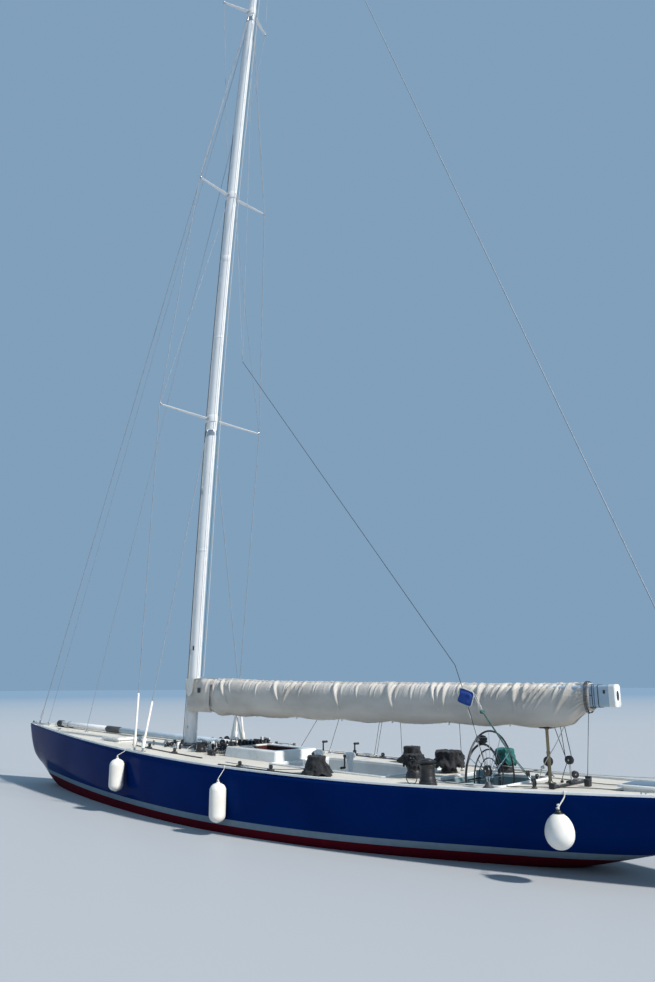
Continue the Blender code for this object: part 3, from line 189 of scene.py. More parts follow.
def straight(table, x):
    """Straight lines through a table of rising positions and values."""
    for (xa, ya), (xb, yb) in zip(table, table[1:]):
        if x <= xb:
            return ya + (yb - ya) * (x - xa) / (xb - xa)
    return table[-1][1]


def spaced(low, high, count):
    """Evenly spaced numbers from low to high, both included."""
    return [low + (high - low) * k / (count - 1) for k in range(count)]


def turns(count, offset=0.0):
    """Angles evenly spread round a full turn."""
    return [2 * math.pi * (k + offset) / count for k in range(count)]


def power(value, exponent):
    """A power that keeps the value's sign."""
    return math.copysign(abs(value) ** exponent, value)


def column(table, number):
    """Positions and one column of values of a table."""
    return [(row[0], row[number]) for row in table]


def eased(t):
    """From 0 to 1 with level ends."""
    t = min(max(t, 0.0), 1.0)
    return t * t * (3 - 2 * t)


def curve_through(points, steps=8):
    """Smooth line through given points."""
    points = [Vector(p) for p in points]
    ends = [points[0] * 2 - points[1]] + points + [points[-1] * 2 - points[-2]]
    line = []
    for a, b, c, d in zip(ends, ends[1:], ends[2:], ends[3:]):
        for k in range(steps):
            t = k / steps
            line.append(0.5 * (2 * b + (c - a) * t + (2 * a - 5 * b + 4 * c - d) * t * t
                               + (3 * b - a - 3 * c + d) * t ** 3))
    return line + [points[-1]]


def sagging(start, end, sag, count=16):
    """A line between two points that hangs by sag at its middle."""
    start, end = Vector(start), Vector(end)
    spots = []
    for k in range(count + 1):
        t = k / count
        spots.append(start.lerp(end, t) - Vector((0, 0, 4 * sag * t * (1 - t))))
    return spots


# Finishes

class Finish:
    """A procedural material made from noise in the part's own metres."""

    def __init__(self, name, roughness=0.5, metallic=0.0, **sockets):
        self.material = bpy.data.materials.new(name)
        self.material.use_nodes = True
        self.tree = self.material.node_tree
        self.shader = self.tree.nodes["Principled BSDF"]
        self.shader.inputs["Roughness"].default_value = roughness
        self.shader.inputs["Metallic"].default_value = metallic
        for socket, value in sockets.items():
            self.shader.inputs[socket.replace("_", " ")].default_value = value
        self.place = self.new("ShaderNodeTexCoord").outputs["Object"]
        self.normal = None

    def new(self, kind):
        return self.tree.nodes.new(kind)

    def join(self, value, socket):
        """Link a node's output, or set a plain value."""
        if isinstance(value, bpy.types.NodeSocket):
            self.tree.links.new(value, socket)
        else:
            socket.default_value = value

    def stretched(self, stretch):
        node = self.new("ShaderNodeMapping")
        node.inputs["Scale"].default_value = stretch
        self.join(self.place, node.inputs["Vector"])
        return node.outputs["Vector"]

    def noise(self, scale, detail=3.0, stretch=None):
        node = self.new("ShaderNodeTexNoise")
        node.inputs["Scale"].default_value = scale
        node.inputs["Detail"].default_value = detail
        self.join(self.stretched(stretch) if stretch else self.place, node.inputs["Vector"])
        return node.outputs["Fac"]

    def cells(self, scale, stretch=None):
        node = self.new("ShaderNodeTexVoronoi")
        node.inputs["Scale"].default_value = scale
        self.join(self.stretched(stretch) if stretch else self.place, node.inputs["Vector"])
        return node.outputs["Distance"]

    def waves(self, scale, axis, distortion=0.0):
        node = self.new("ShaderNodeTexWave")
        node.bands_direction = axis
        node.inputs["Scale"].default_value = scale
        node.inputs["Distortion"].default_value = distortion
        self.join(self.place, node.inputs["Vector"])
        return node.outputs["Fac"]

    def ramp(self, value, low, high, to_low=0.0, to_high=1.0):
        node = self.new("ShaderNodeMapRange")
        self.join(value, node.inputs["Value"])
        for socket, number in zip(("From Min", "From Max", "To Min", "To Max"),
                                  (low, high, to_low, to_high)):
            node.inputs[socket].default_value = number
        return node.outputs["Result"]

    def math(self, operation, a, b=0.0):
        node = self.new("ShaderNodeMath")
        node.operation = operation
        self.join(a, node.inputs[0])
        self.join(b, node.inputs[1])
        return node.outputs[0]

    def axes(self):
        node = self.new("ShaderNodeSeparateXYZ")
        self.join(self.place, node.inputs["Vector"])
        return node.outputs["X"], node.outputs["Y"], node.outputs["Z"]

    def mix(self, share, a, b):
        node = self.new("ShaderNodeMix")
        node.data_type = "RGBA"
        self.join(share, node.inputs["Factor"])
        for value, socket in ((a, node.inputs[6]), (b, node.inputs[7])):
            self.join(value if isinstance(value, bpy.types.NodeSocket) else (*value, 1), socket)
        return node.outputs[2]

    def paint(self, colour):
        self.join(colour, self.shader.inputs["Base Color"])
        return self

    def rough(self, value):
        self.join(value, self.shader.inputs["Roughness"])
        return self

    def bump(self, height, depth):
        """Raise the surface by up to depth metres where height is 1."""
        node = self.new("ShaderNodeBump")
        node.inputs["Distance"].default_value = depth
        self.join(height, node.inputs["Height"])
        if self.normal is not None:
            self.join(self.normal, node.inputs["Normal"])
        self.normal = node.outputs["Normal"]
        self.join(self.normal, self.shader.inputs["Normal"])
        return self


def worn(name, clean, dirty, roughness, metallic=0.0, patch=3.0, grain=180.0, depth=0.0004, **sockets):
    """A finish that varies between two colours in patches, with a fine grain."""
    made = Finish(name, metallic=metallic, **sockets)
    patches = made.ramp(made.noise(patch, 5.0), *PATCH)
    made.paint(made.mix(patches, clean, dirty))
    made.rough(made.ramp(made.noise(patch * 3, 3.0), *SOFT_PATCH, roughness * 0.8, min(roughness * 1.3, 1.0)))
    made.bump(made.noise(grain, 2.0), depth)
    return made.material


def topside_finish():
    """Navy enamel, a grey stripe near the water and dark red below it."""
    made = Finish("topside_enamel", roughness=0.10, Coat_Weight=0.0, Coat_Roughness=0.03,
                  Specular_IOR_Level=0.010)
    x, _, z = made.axes()
    from_middle = made.math("SUBTRACT", x, STRIPE_MIDDLE_X)
    rise = made.math("MULTIPLY", made.math("MULTIPLY", from_middle, from_middle), STRIPE_RISE)
    level = made.math("SUBTRACT", z, rise)
    navy = made.mix(made.ramp(made.noise(0.7, 3.0), *SOFT_PATCH), *NAVY)
    grey = made.mix(made.noise(9.0, 4.0), *STRIPE_GREY)
    red = made.mix(made.noise(5.0, 5.0), *BOTTOM_RED)
    foot = STRIPE_TOP - STRIPE_DEPTH
    over_bottom = made.ramp(level, foot - PAINT_EDGE, foot + PAINT_EDGE)
    over_stripe = made.ramp(level, STRIPE_TOP - PAINT_EDGE, STRIPE_TOP + PAINT_EDGE)
    made.paint(made.mix(over_stripe, made.mix(over_bottom, red, grey), navy))
    streaks = made.ramp(made.noise(2.2, 4.0, (1, 1, 0.25)), 0.35, 0.8, 0.05, 0.16)
    made.rough(made.math("MAXIMUM", streaks, made.ramp(over_bottom, 0.0, 1.0, 0.5, 0.0)))
    return made.material


def non_slip_finish():
    """Cream deck paint with sand in it, walked dirty in places."""
    made = Finish("non_slip_deck", roughness=0.75)
    patches = made.ramp(made.noise(1.3, 6.0, (0.6, 1.6, 1)), *PATCH)
    speckle = made.ramp(made.noise(60.0, 2.0), *SPECKLE)
    sand = made.math("MULTIPLY", speckle, GRIT_SHARE)
    made.paint(made.mix(sand, made.mix(patches, *DECK_CREAM), DECK_SAND))
    made.bump(made.noise(GRIT_SCALE, 2.0), GRIT_DEPTH)
    return made.material


def cover_finish():
    """Silver-grey woven acrylic in dirty patches, with painted shade darkening it towards its hem."""
    made = Finish("cover_cloth", roughness=0.48, Sheen_Weight=0.10, Sheen_Roughness=0.4)
    _, _, z = made.axes()
    dirt = made.ramp(made.noise(1.6, 6.0, (1, 1, 2.5)), *PATCH)
    # Painted shade: the cloth darkens downward towards its hem
    painted_shade = made.math("MULTIPLY", made.ramp(z, SHADE_TOP_Z, SHADE_FULL_Z), SHADE_SHARE)
    made.paint(made.mix(painted_shade, made.mix(dirt, *COVER_GREY), COVER_PAINTED_SHADE))
    warp = made.waves(WEAVE_SCALE, "X", WEAVE_WOBBLE)
    weft = made.waves(WEAVE_SCALE, "Z", WEAVE_WOBBLE)
    made.bump(made.math("ADD", warp, weft), WEAVE_DEPTH)
    made.bump(made.noise(WRINKLE_SCALE, 4.0), WRINKLE_DEPTH)
    return made.material


def rope_finish(name, colour, fleck):
    """Braided line: small lozenges in two shades."""
    made = Finish(name, roughness=0.85)
    braid = made.cells(260.0)
    made.paint(made.mix(made.ramp(braid, 0.2, 0.6), fleck, colour))
    made.bump(braid, 0.0010)
    return made.material


def black_cloth_finish():
    """Black woven cloth, faded in patches."""
    made = Finish("black_cover_cloth", roughness=0.9, Sheen_Weight=0.08, Sheen_Roughness=0.5)
    fade = made.ramp(made.noise(7.0, 5.0), *PATCH)
    made.paint(made.mix(fade, *FADED_BLACK))
    made.bump(made.noise(30.0, 4.0), 0.0030)
    made.bump(made.math("ADD", made.waves(300.0, "X", 1.0), made.waves(300.0, "Z", 1.0)), 0.0003)
    return made.material


def brushed_finish(name, light, dark, roughness, stretch=(1, 1, 12)):
    """Metal with fine brushed lines."""
    made = Finish(name, metallic=1.0)
    made.paint(made.mix(made.noise(8.0, 4.0), light, dark))
    lines = made.noise(90.0, 3.0, stretch)
    made.rough(made.ramp(lines, 0.3, 0.7, roughness * 0.7, roughness * 1.4))
    made.bump(lines, 0.00015)
    return made.material


ENAMEL = topside_finish()
NON_SLIP = non_slip_finish()
CLOTH = cover_finish()
BLACK_CLOTH = black_cloth_finish()
WHITE = worn("white_gloss_paint", (0.80, 0.80, 0.78), (0.68, 0.68, 0.65), 0.28, Coat_Weight=0.4)
MARGIN = worn("white_deck_margin", (0.78, 0.77, 0.73), (0.66, 0.64, 0.59), 0.45, patch=2.0)
SPAR = worn("white_spar_paint", (0.81, 0.81, 0.80), (0.74, 0.745, 0.745), 0.30, patch=1.2, grain=90.0,
            depth=0.0002, Coat_Weight=0.3)
COCKPIT = worn("cockpit_grey_paint", (0.60, 0.63, 0.64), (0.48, 0.51, 0.52), 0.5)
HELM_GREY = worn("helm_teal_paint", (0.21, 0.31, 0.33), (0.14, 0.22, 0.24), 0.45)
MAROON = worn("maroon_pit_paint", (0.075, 0.013, 0.010), (0.045, 0.010, 0.008), 0.5)
STEEL = brushed_finish("stainless_steel", (0.62, 0.63, 0.64), (0.48, 0.49, 0.50), 0.28)
CHROME = brushed_finish("polished_steel", (0.78, 0.78, 0.79), (0.66, 0.67, 0.68), 0.12)
BRONZE = brushed_finish("worn_bronze", (0.42, 0.33, 0.20), (0.20, 0.15, 0.09), 0.35)
BLACK = worn("black_anodised", (0.012, 0.012, 0.014), (0.028, 0.028, 0.030), 0.38, patch=14.0)
DARK_GREY = worn("dark_grey_plastic", (0.045, 0.047, 0.050), (0.075, 0.075, 0.078), 0.5, patch=12.0)
RUBBER = worn("black_rubber", (0.014, 0.014, 0.015), (0.030, 0.029, 0.028), 0.7, patch=16.0)
VINYL = worn("white_vinyl", (0.84, 0.82, 0.77), (0.74, 0.70, 0.62), 0.42, patch=4.0, grain=120.0,
             depth=0.0003, Subsurface_Weight=0.08)
RED_BOTTOM = worn("red_antifouling", (0.105, 0.005, 0.012), (0.070, 0.004, 0.009), 0.6, patch=2.5,
                  grain=60.0, depth=0.0015)
# Pale blue on the white boom's tube: painted shade with a painted blue sky reflection; its end cap stays
# white
BOOM_PAINTED_SHADE = worn("boom_painted_shade_and_sky", (0.40, 0.50, 0.58), (0.34, 0.44, 0.52), 0.35, patch=3.0, grain=90.0,
                  depth=0.0002)
LIGHT_BLUE_GREY = worn("faded_blue_tube", (0.46, 0.55, 0.62), (0.38, 0.46, 0.53), 0.4, patch=5.0)
GREEN_CLOTH = worn("teal_cover_cloth", (0.012, 0.110, 0.105), (0.020, 0.150, 0.140), 0.8, patch=9.0,
                   grain=320.0, depth=0.0010)
BLUE_CLOTH = worn("blue_bag_cloth", (0.010, 0.045, 0.24), (0.016, 0.065, 0.30), 0.8, patch=9.0,
                  grain=320.0, depth=0.0008)
WHITE_ROPE = rope_finish("white_rope", (0.62, 0.61, 0.57), (0.36, 0.35, 0.33))
DARK_ROPE = rope_finish("dark_rope", (0.020, 0.022, 0.026), (0.070, 0.075, 0.085))
BLUE_ROPE = rope_finish("blue_rope", (0.020, 0.075, 0.23), (0.30, 0.33, 0.36))
GREEN_ROPE = rope_finish("green_rope", (0.030, 0.110, 0.095), (0.16, 0.22, 0.20))
GREY_WIRE = worn("wire_steel", (0.30, 0.34, 0.38), (0.22, 0.25, 0.29), 0.60, 0.25, patch=6.0,
                 grain=500.0, depth=0.0008)
GLASS = worn("compass_dome", (0.02, 0.02, 0.022), (0.025, 0.025, 0.028), 0.06, patch=20.0,
             depth=0.0, Coat_Weight=1.0)


# Shapes

class Piece:
    """One visible object, gathered from shapes that may differ in finish."""

    def __init__(self, name):
        self.name = name
        self.points = []
        self.faces = []
        self.marks = []
        self.finishes = []

    def add(self, points, faces, finish):
        if finish not in self.finishes:
            self.finishes.append(finish)
        base = len(self.points)
        self.points.extend(Vector(p) for p in points)
        self.faces.extend(tuple(base + i for i in face) for face in faces)
        self.marks.extend([self.finishes.index(finish)] * len(faces))
        return self

    def skin(self, rings, finish, closed=True, loop=False, caps=True):
        """Quads between rings of equally many points."""
        count = len(rings[0])
        points = [p for ring in rings for p in ring]
        faces = []
        rows = len(rings)
        for i in range(rows if loop else rows - 1):
            a = i * count
            b = ((i + 1) % rows) * count
            for k in range(count if closed else count - 1):
                n = (k + 1) % count
                faces.append((a + k, a + n, b + n, b + k))
        if caps and closed and not loop:
            faces.append(tuple(reversed(range(count))))
            faces.append(tuple(range((rows - 1) * count, rows * count)))
        return self.add(points, faces, finish)

    def cap(self, ring, finish):
        """One face over a ring of points."""
        return self.add(ring, [tuple(range(len(ring)))], finish)

    def stack(self, rings):
        """Skins between rings, each in the finish that is named with its later ring."""
        for (ring, _), (after, finish) in zip(rings, rings[1:]):
            self.skin([ring, after], finish, caps=False)

    def lathe(self, profile, centre, finish, axis=UPWARD, sides=32):
        """A turned shape: profile holds radius and distance along the axis from the centre."""
        axis = Vector(axis).normalized()
        rings = [ring_points(Vector(centre) + axis * along, axis, max(radius, 0.0004), sides)
                 for radius, along in profile]
        return self.skin(rings, finish)

    def tube(self, points, radius, finish, sides=8):
        """A round bar through points, its section kept square to the line."""
        points = [Vector(p) for p in points]
        radii = radius if isinstance(radius, (list, tuple)) else [radius] * len(points)
        side = (points[1] - points[0]).orthogonal().normalized()
        rings = []
        for i, point in enumerate(points):
            before = point - points[max(i - 1, 0)]
            after = points[min(i + 1, len(points) - 1)] - point
            along = (before.normalized() + after.normalized()).normalized()
            side = (side - along * side.dot(along)).normalized()
            other = along.cross(side)
            rings.append([point + side * (radii[i] * math.cos(a)) + other * (radii[i] * math.sin(a))
                          for a in turns(sides)])
        return self.skin(rings, finish)

    def hoop(self, centre, axis, radius, bar, finish, sides=64, bar_sides=12):
        """A closed ring of round bar."""
        axis = Vector(axis).normalized()
        centre = Vector(centre)
        rings = []
        for spot in ring_points(centre, axis, radius, sides):
            out = (spot - centre).normalized()
            rings.append([spot + out * (bar * math.cos(a)) + axis * (bar * math.sin(a))
                          for a in turns(bar_sides)])
        return self.skin(rings, finish, loop=True)

    def block(self, low, high, finish, edge=0.004, turn=None, steps=2):
        """A box with rounded edges; turn is a matrix about the box's own middle."""
        low, high = Vector(low), Vector(high)
        middle = (low + high) / 2
        bm = bmesh.new()
        bmesh.ops.create_cube(bm, size=1.0)
        for vert in bm.verts:
            vert.co = Vector(vert.co[k] * (high[k] - low[k]) for k in range(3))
        if edge:
            bmesh.ops.bevel(bm, geom=bm.edges, offset=edge, segments=steps, profile=0.5,
                            affect="EDGES", clamp_overlap=True)
        spin = turn if turn is not None else Matrix.Identity(3)
        points = [middle + spin @ v.co for v in bm.verts]
        faces = [tuple(v.index for v in f.verts) for f in bm.faces]
        bm.free()
        return self.add(points, faces, finish)

    def mesh(self):
        """The gathered shapes as one mesh, its faces turned outward."""
        mesh = bpy.data.meshes.new(self.name)
        mesh.from_pydata([tuple(p) for p in self.points], [], self.faces)
        for finish in self.finishes:
            mesh.materials.append(finish)
        mesh.polygons.foreach_set("material_index", self.marks)
        bm = bmesh.new()
        bm.from_mesh(mesh)
        bmesh.ops.recalc_face_normals(bm, faces=bm.faces)
        bm.to_mesh(mesh)
        bm.free()
        return mesh

    def make(self, angle=40):
        """The piece as an object, with edges sharper than the angle kept sharp."""
        mesh = self.mesh()
        mesh.shade_smooth()
        mesh.set_sharp_from_angle(angle=math.radians(angle))
        return placed(self.name, mesh)

    def done(self, body="root", replaces=(), angle=40):
        """The piece as an object that rides on a body and stands in for frame nodes."""
        made = self.make(angle)
        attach(made, body)
        if replaces:
            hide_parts(*replaces)
        return made


def ring_points(centre, axis, radius, sides):
    """Points of a circle square to an axis."""
    axis = Vector(axis).normalized()
    side = axis.orthogonal().normalized()
    other = axis.cross(side)
    centre = Vector(centre)
    return [centre + side * (radius * math.cos(a)) + other * (radius * math.sin(a)) for a in turns(sides)]


def barrel(end_radius, half, radius, inner):
    """Profile of a short turned bar that is the same at both ends."""
    return (end_radius, -half), (radius, -inner), (radius, inner), (end_radius, half)


def placed(name, data):
    """A new object in the scene."""
    made = bpy.data.objects.new(name, data)
    bpy.context.scene.collection.objects.link(made)
    return made


def weld(mesh, gap):
    """Join points closer than the gap and turn all faces outward."""
    bm = bmesh.new()
    bm.from_mesh(mesh)
    bmesh.ops.remove_doubles(bm, verts=bm.verts, dist=gap)
    bmesh.ops.recalc_face_normals(bm, faces=bm.faces)
    bm.to_mesh(mesh)
    bm.free()


def cut_by(made, boxes):
    """Cut boxes out of an object for good."""
    cutters = []
    for low, high in boxes:
        cutter = Piece("cutter").block(low, high, WHITE, edge=0.0).make()
        step = made.modifiers.new("cut", "BOOLEAN")
        step.operation = "DIFFERENCE"
        step.solver = "EXACT"
        step.object = cutter
        cutters.append(cutter)
    graph = bpy.context.evaluated_depsgraph_get()
    mesh = bpy.data.meshes.new_from_object(made.evaluated_get(graph))
    made.modifiers.clear()
    made.data = mesh
    for cutter in cutters:
        bpy.data.objects.remove(cutter, do_unlink=True)


# Hull form

SHEER_CURVE = (BOW_HEIGHT - SHEER_LOW) / (BOW_X - SHEER_LOW_X) ** SHEER_POWER

# Underside on the centre line: x, z
KEEL_LINE = (
    (STERN_X, STERN_UNDERSIDE),
    (EXIT_X - 0.80, 0.22),
    (EXIT_X, 0.0),
    (EXIT_X + 2.20, -0.45 * BODY_DEPTH),
    (MAX_BEAM_X - 1.60, -0.86 * BODY_DEPTH),
    (MAX_BEAM_X + 0.90, -BODY_DEPTH),
    (MAX_BEAM_X + 3.40, -0.92 * BODY_DEPTH),
    (ENTRY_X - 2.40, -0.58 * BODY_DEPTH),
    (ENTRY_X - 0.70, -0.18 * BODY_DEPTH),
    (ENTRY_X, 0.0),
    (BOW_X - 1.11, 0.36),
    (BOW_X - 0.44, 0.67),
    (BOW_X - 0.10, 1.12),
    (BOW_X, BOW_HEIGHT - 0.12),
)

# How full the sections are: x, exponent of the curve from deck to centre line
SECTION_SHAPE = (
    (STERN_X, 1.9),
    (EXIT_X + 0.7, 1.45),
    (-3.0, 2.9),
    (0.0, 3.5),
    (3.0, 2.9),
    (6.0, 2.4),
    (BOW_X, 2.2),
)


def sheer(x):
    """Height of the deck's edge."""
    return SHEER_LOW + SHEER_CURVE * abs(x - SHEER_LOW_X) ** SHEER_POWER


def half_breadth(x):
    """Half the hull's width at the deck."""
    if x > MAX_BEAM_X:
        run = min((x - MAX_BEAM_X) / (BOW_X - MAX_BEAM_X), 1.0)
        return STEM_HALF_WIDTH + (HALF_BEAM - STEM_HALF_WIDTH) * (1 - run ** FORE_FULLNESS)
    run = min((MAX_BEAM_X - x) / (MAX_BEAM_X - STERN_X), 1.0)
    return STERN_HALF_BEAM + (HALF_BEAM - STERN_HALF_BEAM) * (1 - run ** AFT_FULLNESS)


def hull_xs(count=HULL_STATIONS):
    """Stations from the stern to the bow, closer together near the bow."""
    return sorted(BOW_X - (BOW_X - STERN_X) * (i / count) ** STATION_CROWDING for i in range(count + 1))


def hull_section(x):
    """Points from the port edge under the keel to the starboard edge."""
    breadth = half_breadth(x)
    top = sheer(x) - DECK_THICKNESS
    bottom = smooth(KEEL_LINE, x)
    fullness = smooth(SECTION_SHAPE, x)
    port = []
    for j in range(HULL_STEPS + 1):
        turn = 0.5 * math.pi * (j / HULL_STEPS) ** EDGE_CROWDING
        y = breadth * math.cos(turn)
        share = (1 - (y / breadth) ** 2) ** (1 / fullness)
        port.append(Vector((x, y, top - (top - bottom) * share)))
    return port + [Vector((p.x, -p.y, p.z)) for p in reversed(port[:-1])]


def make_hull():
    """The hull's skin, open under the deck and given its thickness inward."""
    shell = Piece("hull_shell")
    rings = [hull_section(x) for x in hull_xs()]
    shell.skin(rings, ENAMEL, closed=False)
    shell.cap(rings[0], ENAMEL)
    made = shell.make(angle=60)
    weld(made.data, WELD_GAP)
    skin = made.modifiers.new("thickness", "SOLIDIFY")
    skin.thickness = SHELL_THICKNESS
    skin.offset = -1.0
    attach(made, "root")
    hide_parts("hull_bottom", "topside_port", "topside_starboard")


# Openings in the deck: x from, x to, y from, y to at the outside of the walls
WELL_CUTS = (
    (-4.1705, -1.4595, -0.8205, 0.8205),
    (-6.3405, -4.9595, -0.7955, 0.7955),
    (-1.2205, -0.0295, -0.4405, 0.4405),
    (3.7295, 4.3705, 0.0995, 0.7405),
    (-8.4005, -7.8995, -0.2505, 0.2505),
)
CUT_LOW = 0.3
CUT_HIGH = 2.0


def make_deck():
    """The deck's plate, sanded in the middle and smooth along its edges."""
    plate = Piece("deck_plate")
    tops = []
    for x in hull_xs(DECK_STATIONS):
        y = half_breadth(x)
        inner = max(y - MARGIN_WIDTH, y * 0.4)
        tops.append([Vector((x, s, sheer(x))) for s in (y, inner, -inner, -y)])
    for low, high, finish in ((0, 1, MARGIN), (1, 2, NON_SLIP), (2, 3, MARGIN)):
        plate.skin([[ring[low], ring[high]] for ring in tops], finish, closed=False)
    down = Vector((0, 0, -DECK_THICKNESS))
    plate.skin([[p + down for p in ring] for ring in tops], MARGIN, closed=False)
    for k in (0, 3):
        plate.skin([[ring[k], ring[k] + down] for ring in tops], ENAMEL, closed=False)
    for ring in (tops[0], tops[-1]):
        plate.cap(ring + [p + down for p in reversed(ring)], MARGIN)
    made = plate.make(angle=DECK_ANGLE)
    weld(made.data, WELD_GAP)
    cut_by(made, [((x0, y0, CUT_LOW), (x1, y1, CUT_HIGH)) for x0, x1, y0, y1 in WELL_CUTS])
    made.data.shade_smooth()
    made.data.set_sharp_from_angle(angle=math.radians(DECK_ANGLE))
    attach(made, "root")
    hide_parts("deck_port", "deck_starboard")


def make_rails():
    """White toe rails with a rounded top, let down over the edge of the deck."""
    aft, fore = STERN_X + RAIL_GAP_AFT, BOW_X - RAIL_GAP_FORE
    xs = [aft] + [x for x in hull_xs(RAIL_STATIONS) if aft < x < fore] + [fore]
    for name, side in (("toe_rail_port", 1), ("toe_rail_starboard", -1)):
        rail = Piece(name.replace("toe_rail", "bulwark_rail"))
        rings = []
        for x in xs:
            base = sheer(x)
            outer = half_breadth(x) - RAIL_INSET
            inner = outer - RAIL_WIDTH
            r = RAIL_ROUND
            profile = ((outer, 0.0), (outer, RAIL_HEIGHT - r), (outer - r * 0.3, RAIL_HEIGHT - r * 0.3),
                       (outer - r, RAIL_HEIGHT), (inner + r, RAIL_HEIGHT),
                       (inner + r * 0.3, RAIL_HEIGHT - r * 0.3), (inner, RAIL_HEIGHT - r), (inner, 0.0))
            rings.append([Vector((x, side * y, base + z)) for y, z in profile])
        rail.skin(rings, WHITE)
        rail.done(replaces=(name,), angle=50)


make_hull()
make_deck()
make_rails()


# Mast

MAST_SECTION = (
    (MAST_DATUM_Z - 1.0, 0.170, 0.115),
    (15.0, 0.160, 0.108),
    (JUMPER_Z, 0.135, 0.090),
    (MAST_TOP, 0.075, 0.055),
)
MAST_SIDES = 44
MAST_LEVELS = 120
TRACK_FOOT_Z = 2.75
# Sleeves round the mast: height of the middle, height, finish
MAST_BANDS = (
    (MAST_JOINT_Z, 0.16, SPAR),
    (5.6, 0.05, SPAR),
    (10.9, 0.05, SPAR),
    (8.45, 0.14, STEEL),
    (19.85, 0.14, STEEL),
    (25.9, 0.14, STEEL),
)
BAND_DEPTH = 0.003
# Plates and boxes on both sides: height, share ahead of the middle, size, finish
MAST_PLATES = (
    (7.02, 0.1, (0.05, 0.018, 0.16), STEEL),
    (8.47, 0.0, (0.05, 0.020, 0.12), STEEL),
    (3.35, -0.3, (0.035, 0.025, 0.10), BLACK),
    (19.86, 0.0, (0.05, 0.018, 0.14), STEEL),
    (1.62, -0.1, (0.03, 0.018, 0.07), STEEL),
)
# Heights of the halyards' exit sheaves on the fore side
HALYARD_EXITS = (19.95, 12.4, 16.6)
MAST_FOOT_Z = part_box("mast_lower_tube")[0][2]


def mast_x(z):
    """Fore and aft place of the mast's middle, which rakes and bends aft."""
    share = (z - MAST_DATUM_Z) / (MAST_TOP - MAST_DATUM_Z)
    return MAST_FOOT_X - MAST_RAKE * (z - MAST_DATUM_Z) + MAST_BEND * 4 * share * (1 - share)


def mast_long(z):
    """Half length of the mast's section."""
    return straight(column(MAST_SECTION, 1), z)


def mast_wide(z):
    """Half width of the mast's section."""
    return straight(column(MAST_SECTION, 2), z)


def mast_ring(z, grow=0.0, sides=MAST_SIDES):
    return [Vector((mast_x(z) + (mast_long(z) + grow) * math.cos(a), (mast_wide(z) + grow) * math.sin(a), z))
            for a in turns(sides)]


def mast_aft(z, off=0.0):
    """A point off the mast's after face."""
    return Vector((mast_x(z) - mast_long(z) - off, 0, z))


def mast_side(z, side, off=0.0, ahead=0.0):
    """A point on the mast's skin, ahead of its middle by a share of its half length."""
    y = (mast_wide(z)) * math.sqrt(1 - ahead ** 2) + off
    return Vector((mast_x(z) + mast_long(z) * ahead, side * y, z))


def band(piece, z, height, grow, finish):
    """A low sleeve round the mast with eased edges."""
    half = height / 2
    ease = min(grow, half) * 0.6
    piece.skin([mast_ring(z - half, 0.0), mast_ring(z - half, grow - ease * 0.5),
                mast_ring(z - half + ease, grow), mast_ring(z + half - ease, grow),
                mast_ring(z + half, grow - ease * 0.5), mast_ring(z + half, 0.0)], finish)


def make_mast():
    """The tube with its sleeves, the sail track, and the plates and sheaves on it."""
    mast = Piece("mast_tube")
    rings = [mast_ring(z) for z in spaced(MAST_FOOT_Z, MAST_TOP - 0.02, MAST_LEVELS)]
    rings.append(mast_ring(MAST_TOP - 0.004, -0.010))
    rings.append(mast_ring(MAST_TOP, -0.022))
    mast.skin(rings, SPAR)
    for z, height, finish in MAST_BANDS:
        band(mast, z, height, BAND_DEPTH, finish)
    mast.done(replaces=("mast_lower_tube", "mast_upper_tube"), angle=50)

    track = Piece("mast_sail_track")
    levels = spaced(TRACK_FOOT_Z, MAST_TOP - 0.35, 90)
    for half, near, far in ((0.010, -0.004, 0.008), (0.016, 0.006, 0.012)):
        rings = []
        for z in levels:
            x = mast_x(z) - mast_long(z)
            rings.append([Vector((x - near, half, z)), Vector((x - far, half, z)),
                          Vector((x - far, -half, z)), Vector((x - near, -half, z))])
        track.skin(rings, SPAR)
    track.done()

    gear = Piece("mast_fittings")
    for z, ahead, size, finish in MAST_PLATES:
        for side in (1, -1):
            place = mast_side(z, side, 0.0, ahead)
            half = Vector(size) / 2
            gear.block(place - half, place + half, finish, edge=0.004)
            gear.lathe(((0.010, -size[1]), (0.010, size[1] * 0.9)), place, finish, (0, side, 0), 12)
    for z in HALYARD_EXITS:
        x = mast_x(z) + mast_long(z)
        gear.block((x - 0.03, -0.024, z - 0.09), (x + 0.012, 0.024, z + 0.09), STEEL, edge=0.006)
        gear.lathe(barrel(0.035, 0.010, 0.028, 0.006), (x + 0.008, 0, z + 0.03), BLACK, ACROSS, 20)
    # Masthead crane and its sheaves
    z = MAST_TOP - 0.075
    x = mast_x(z)
    for side in (-1, 1):
        y = side * 0.026
        gear.block((x - 0.17, y - 0.004, z - 0.045), (x + 0.15, y + 0.004, z + 0.060), STEEL, edge=0.003)
    for along in (-0.145, 0.125):
        gear.lathe(barrel(0.032, 0.018, 0.026, 0.012), (x + along, 0, z), BLACK, ACROSS, 24)
    gear.done()


# Frame node, piece, height, half span, how far aft the tips are swept
CROSSTREES = (
    ("lower_spreaders", "lower_crosstree", LOWER_SPREADER_Z, 1.53, 0.02),
    ("upper_spreaders", "upper_crosstree", UPPER_SPREADER_Z, 1.07, 0.07),
    ("jumper_struts", "jumper_crosstree", JUMPER_Z, 0.74, -0.25),
)
ARM_SLEEVE = 0.014
ARM_STEPS = 18
# Half length and half height of an arm's section at its two ends
ARM_ROOT = (0.056, 0.022)
ARM_TIP = (0.026, 0.014)


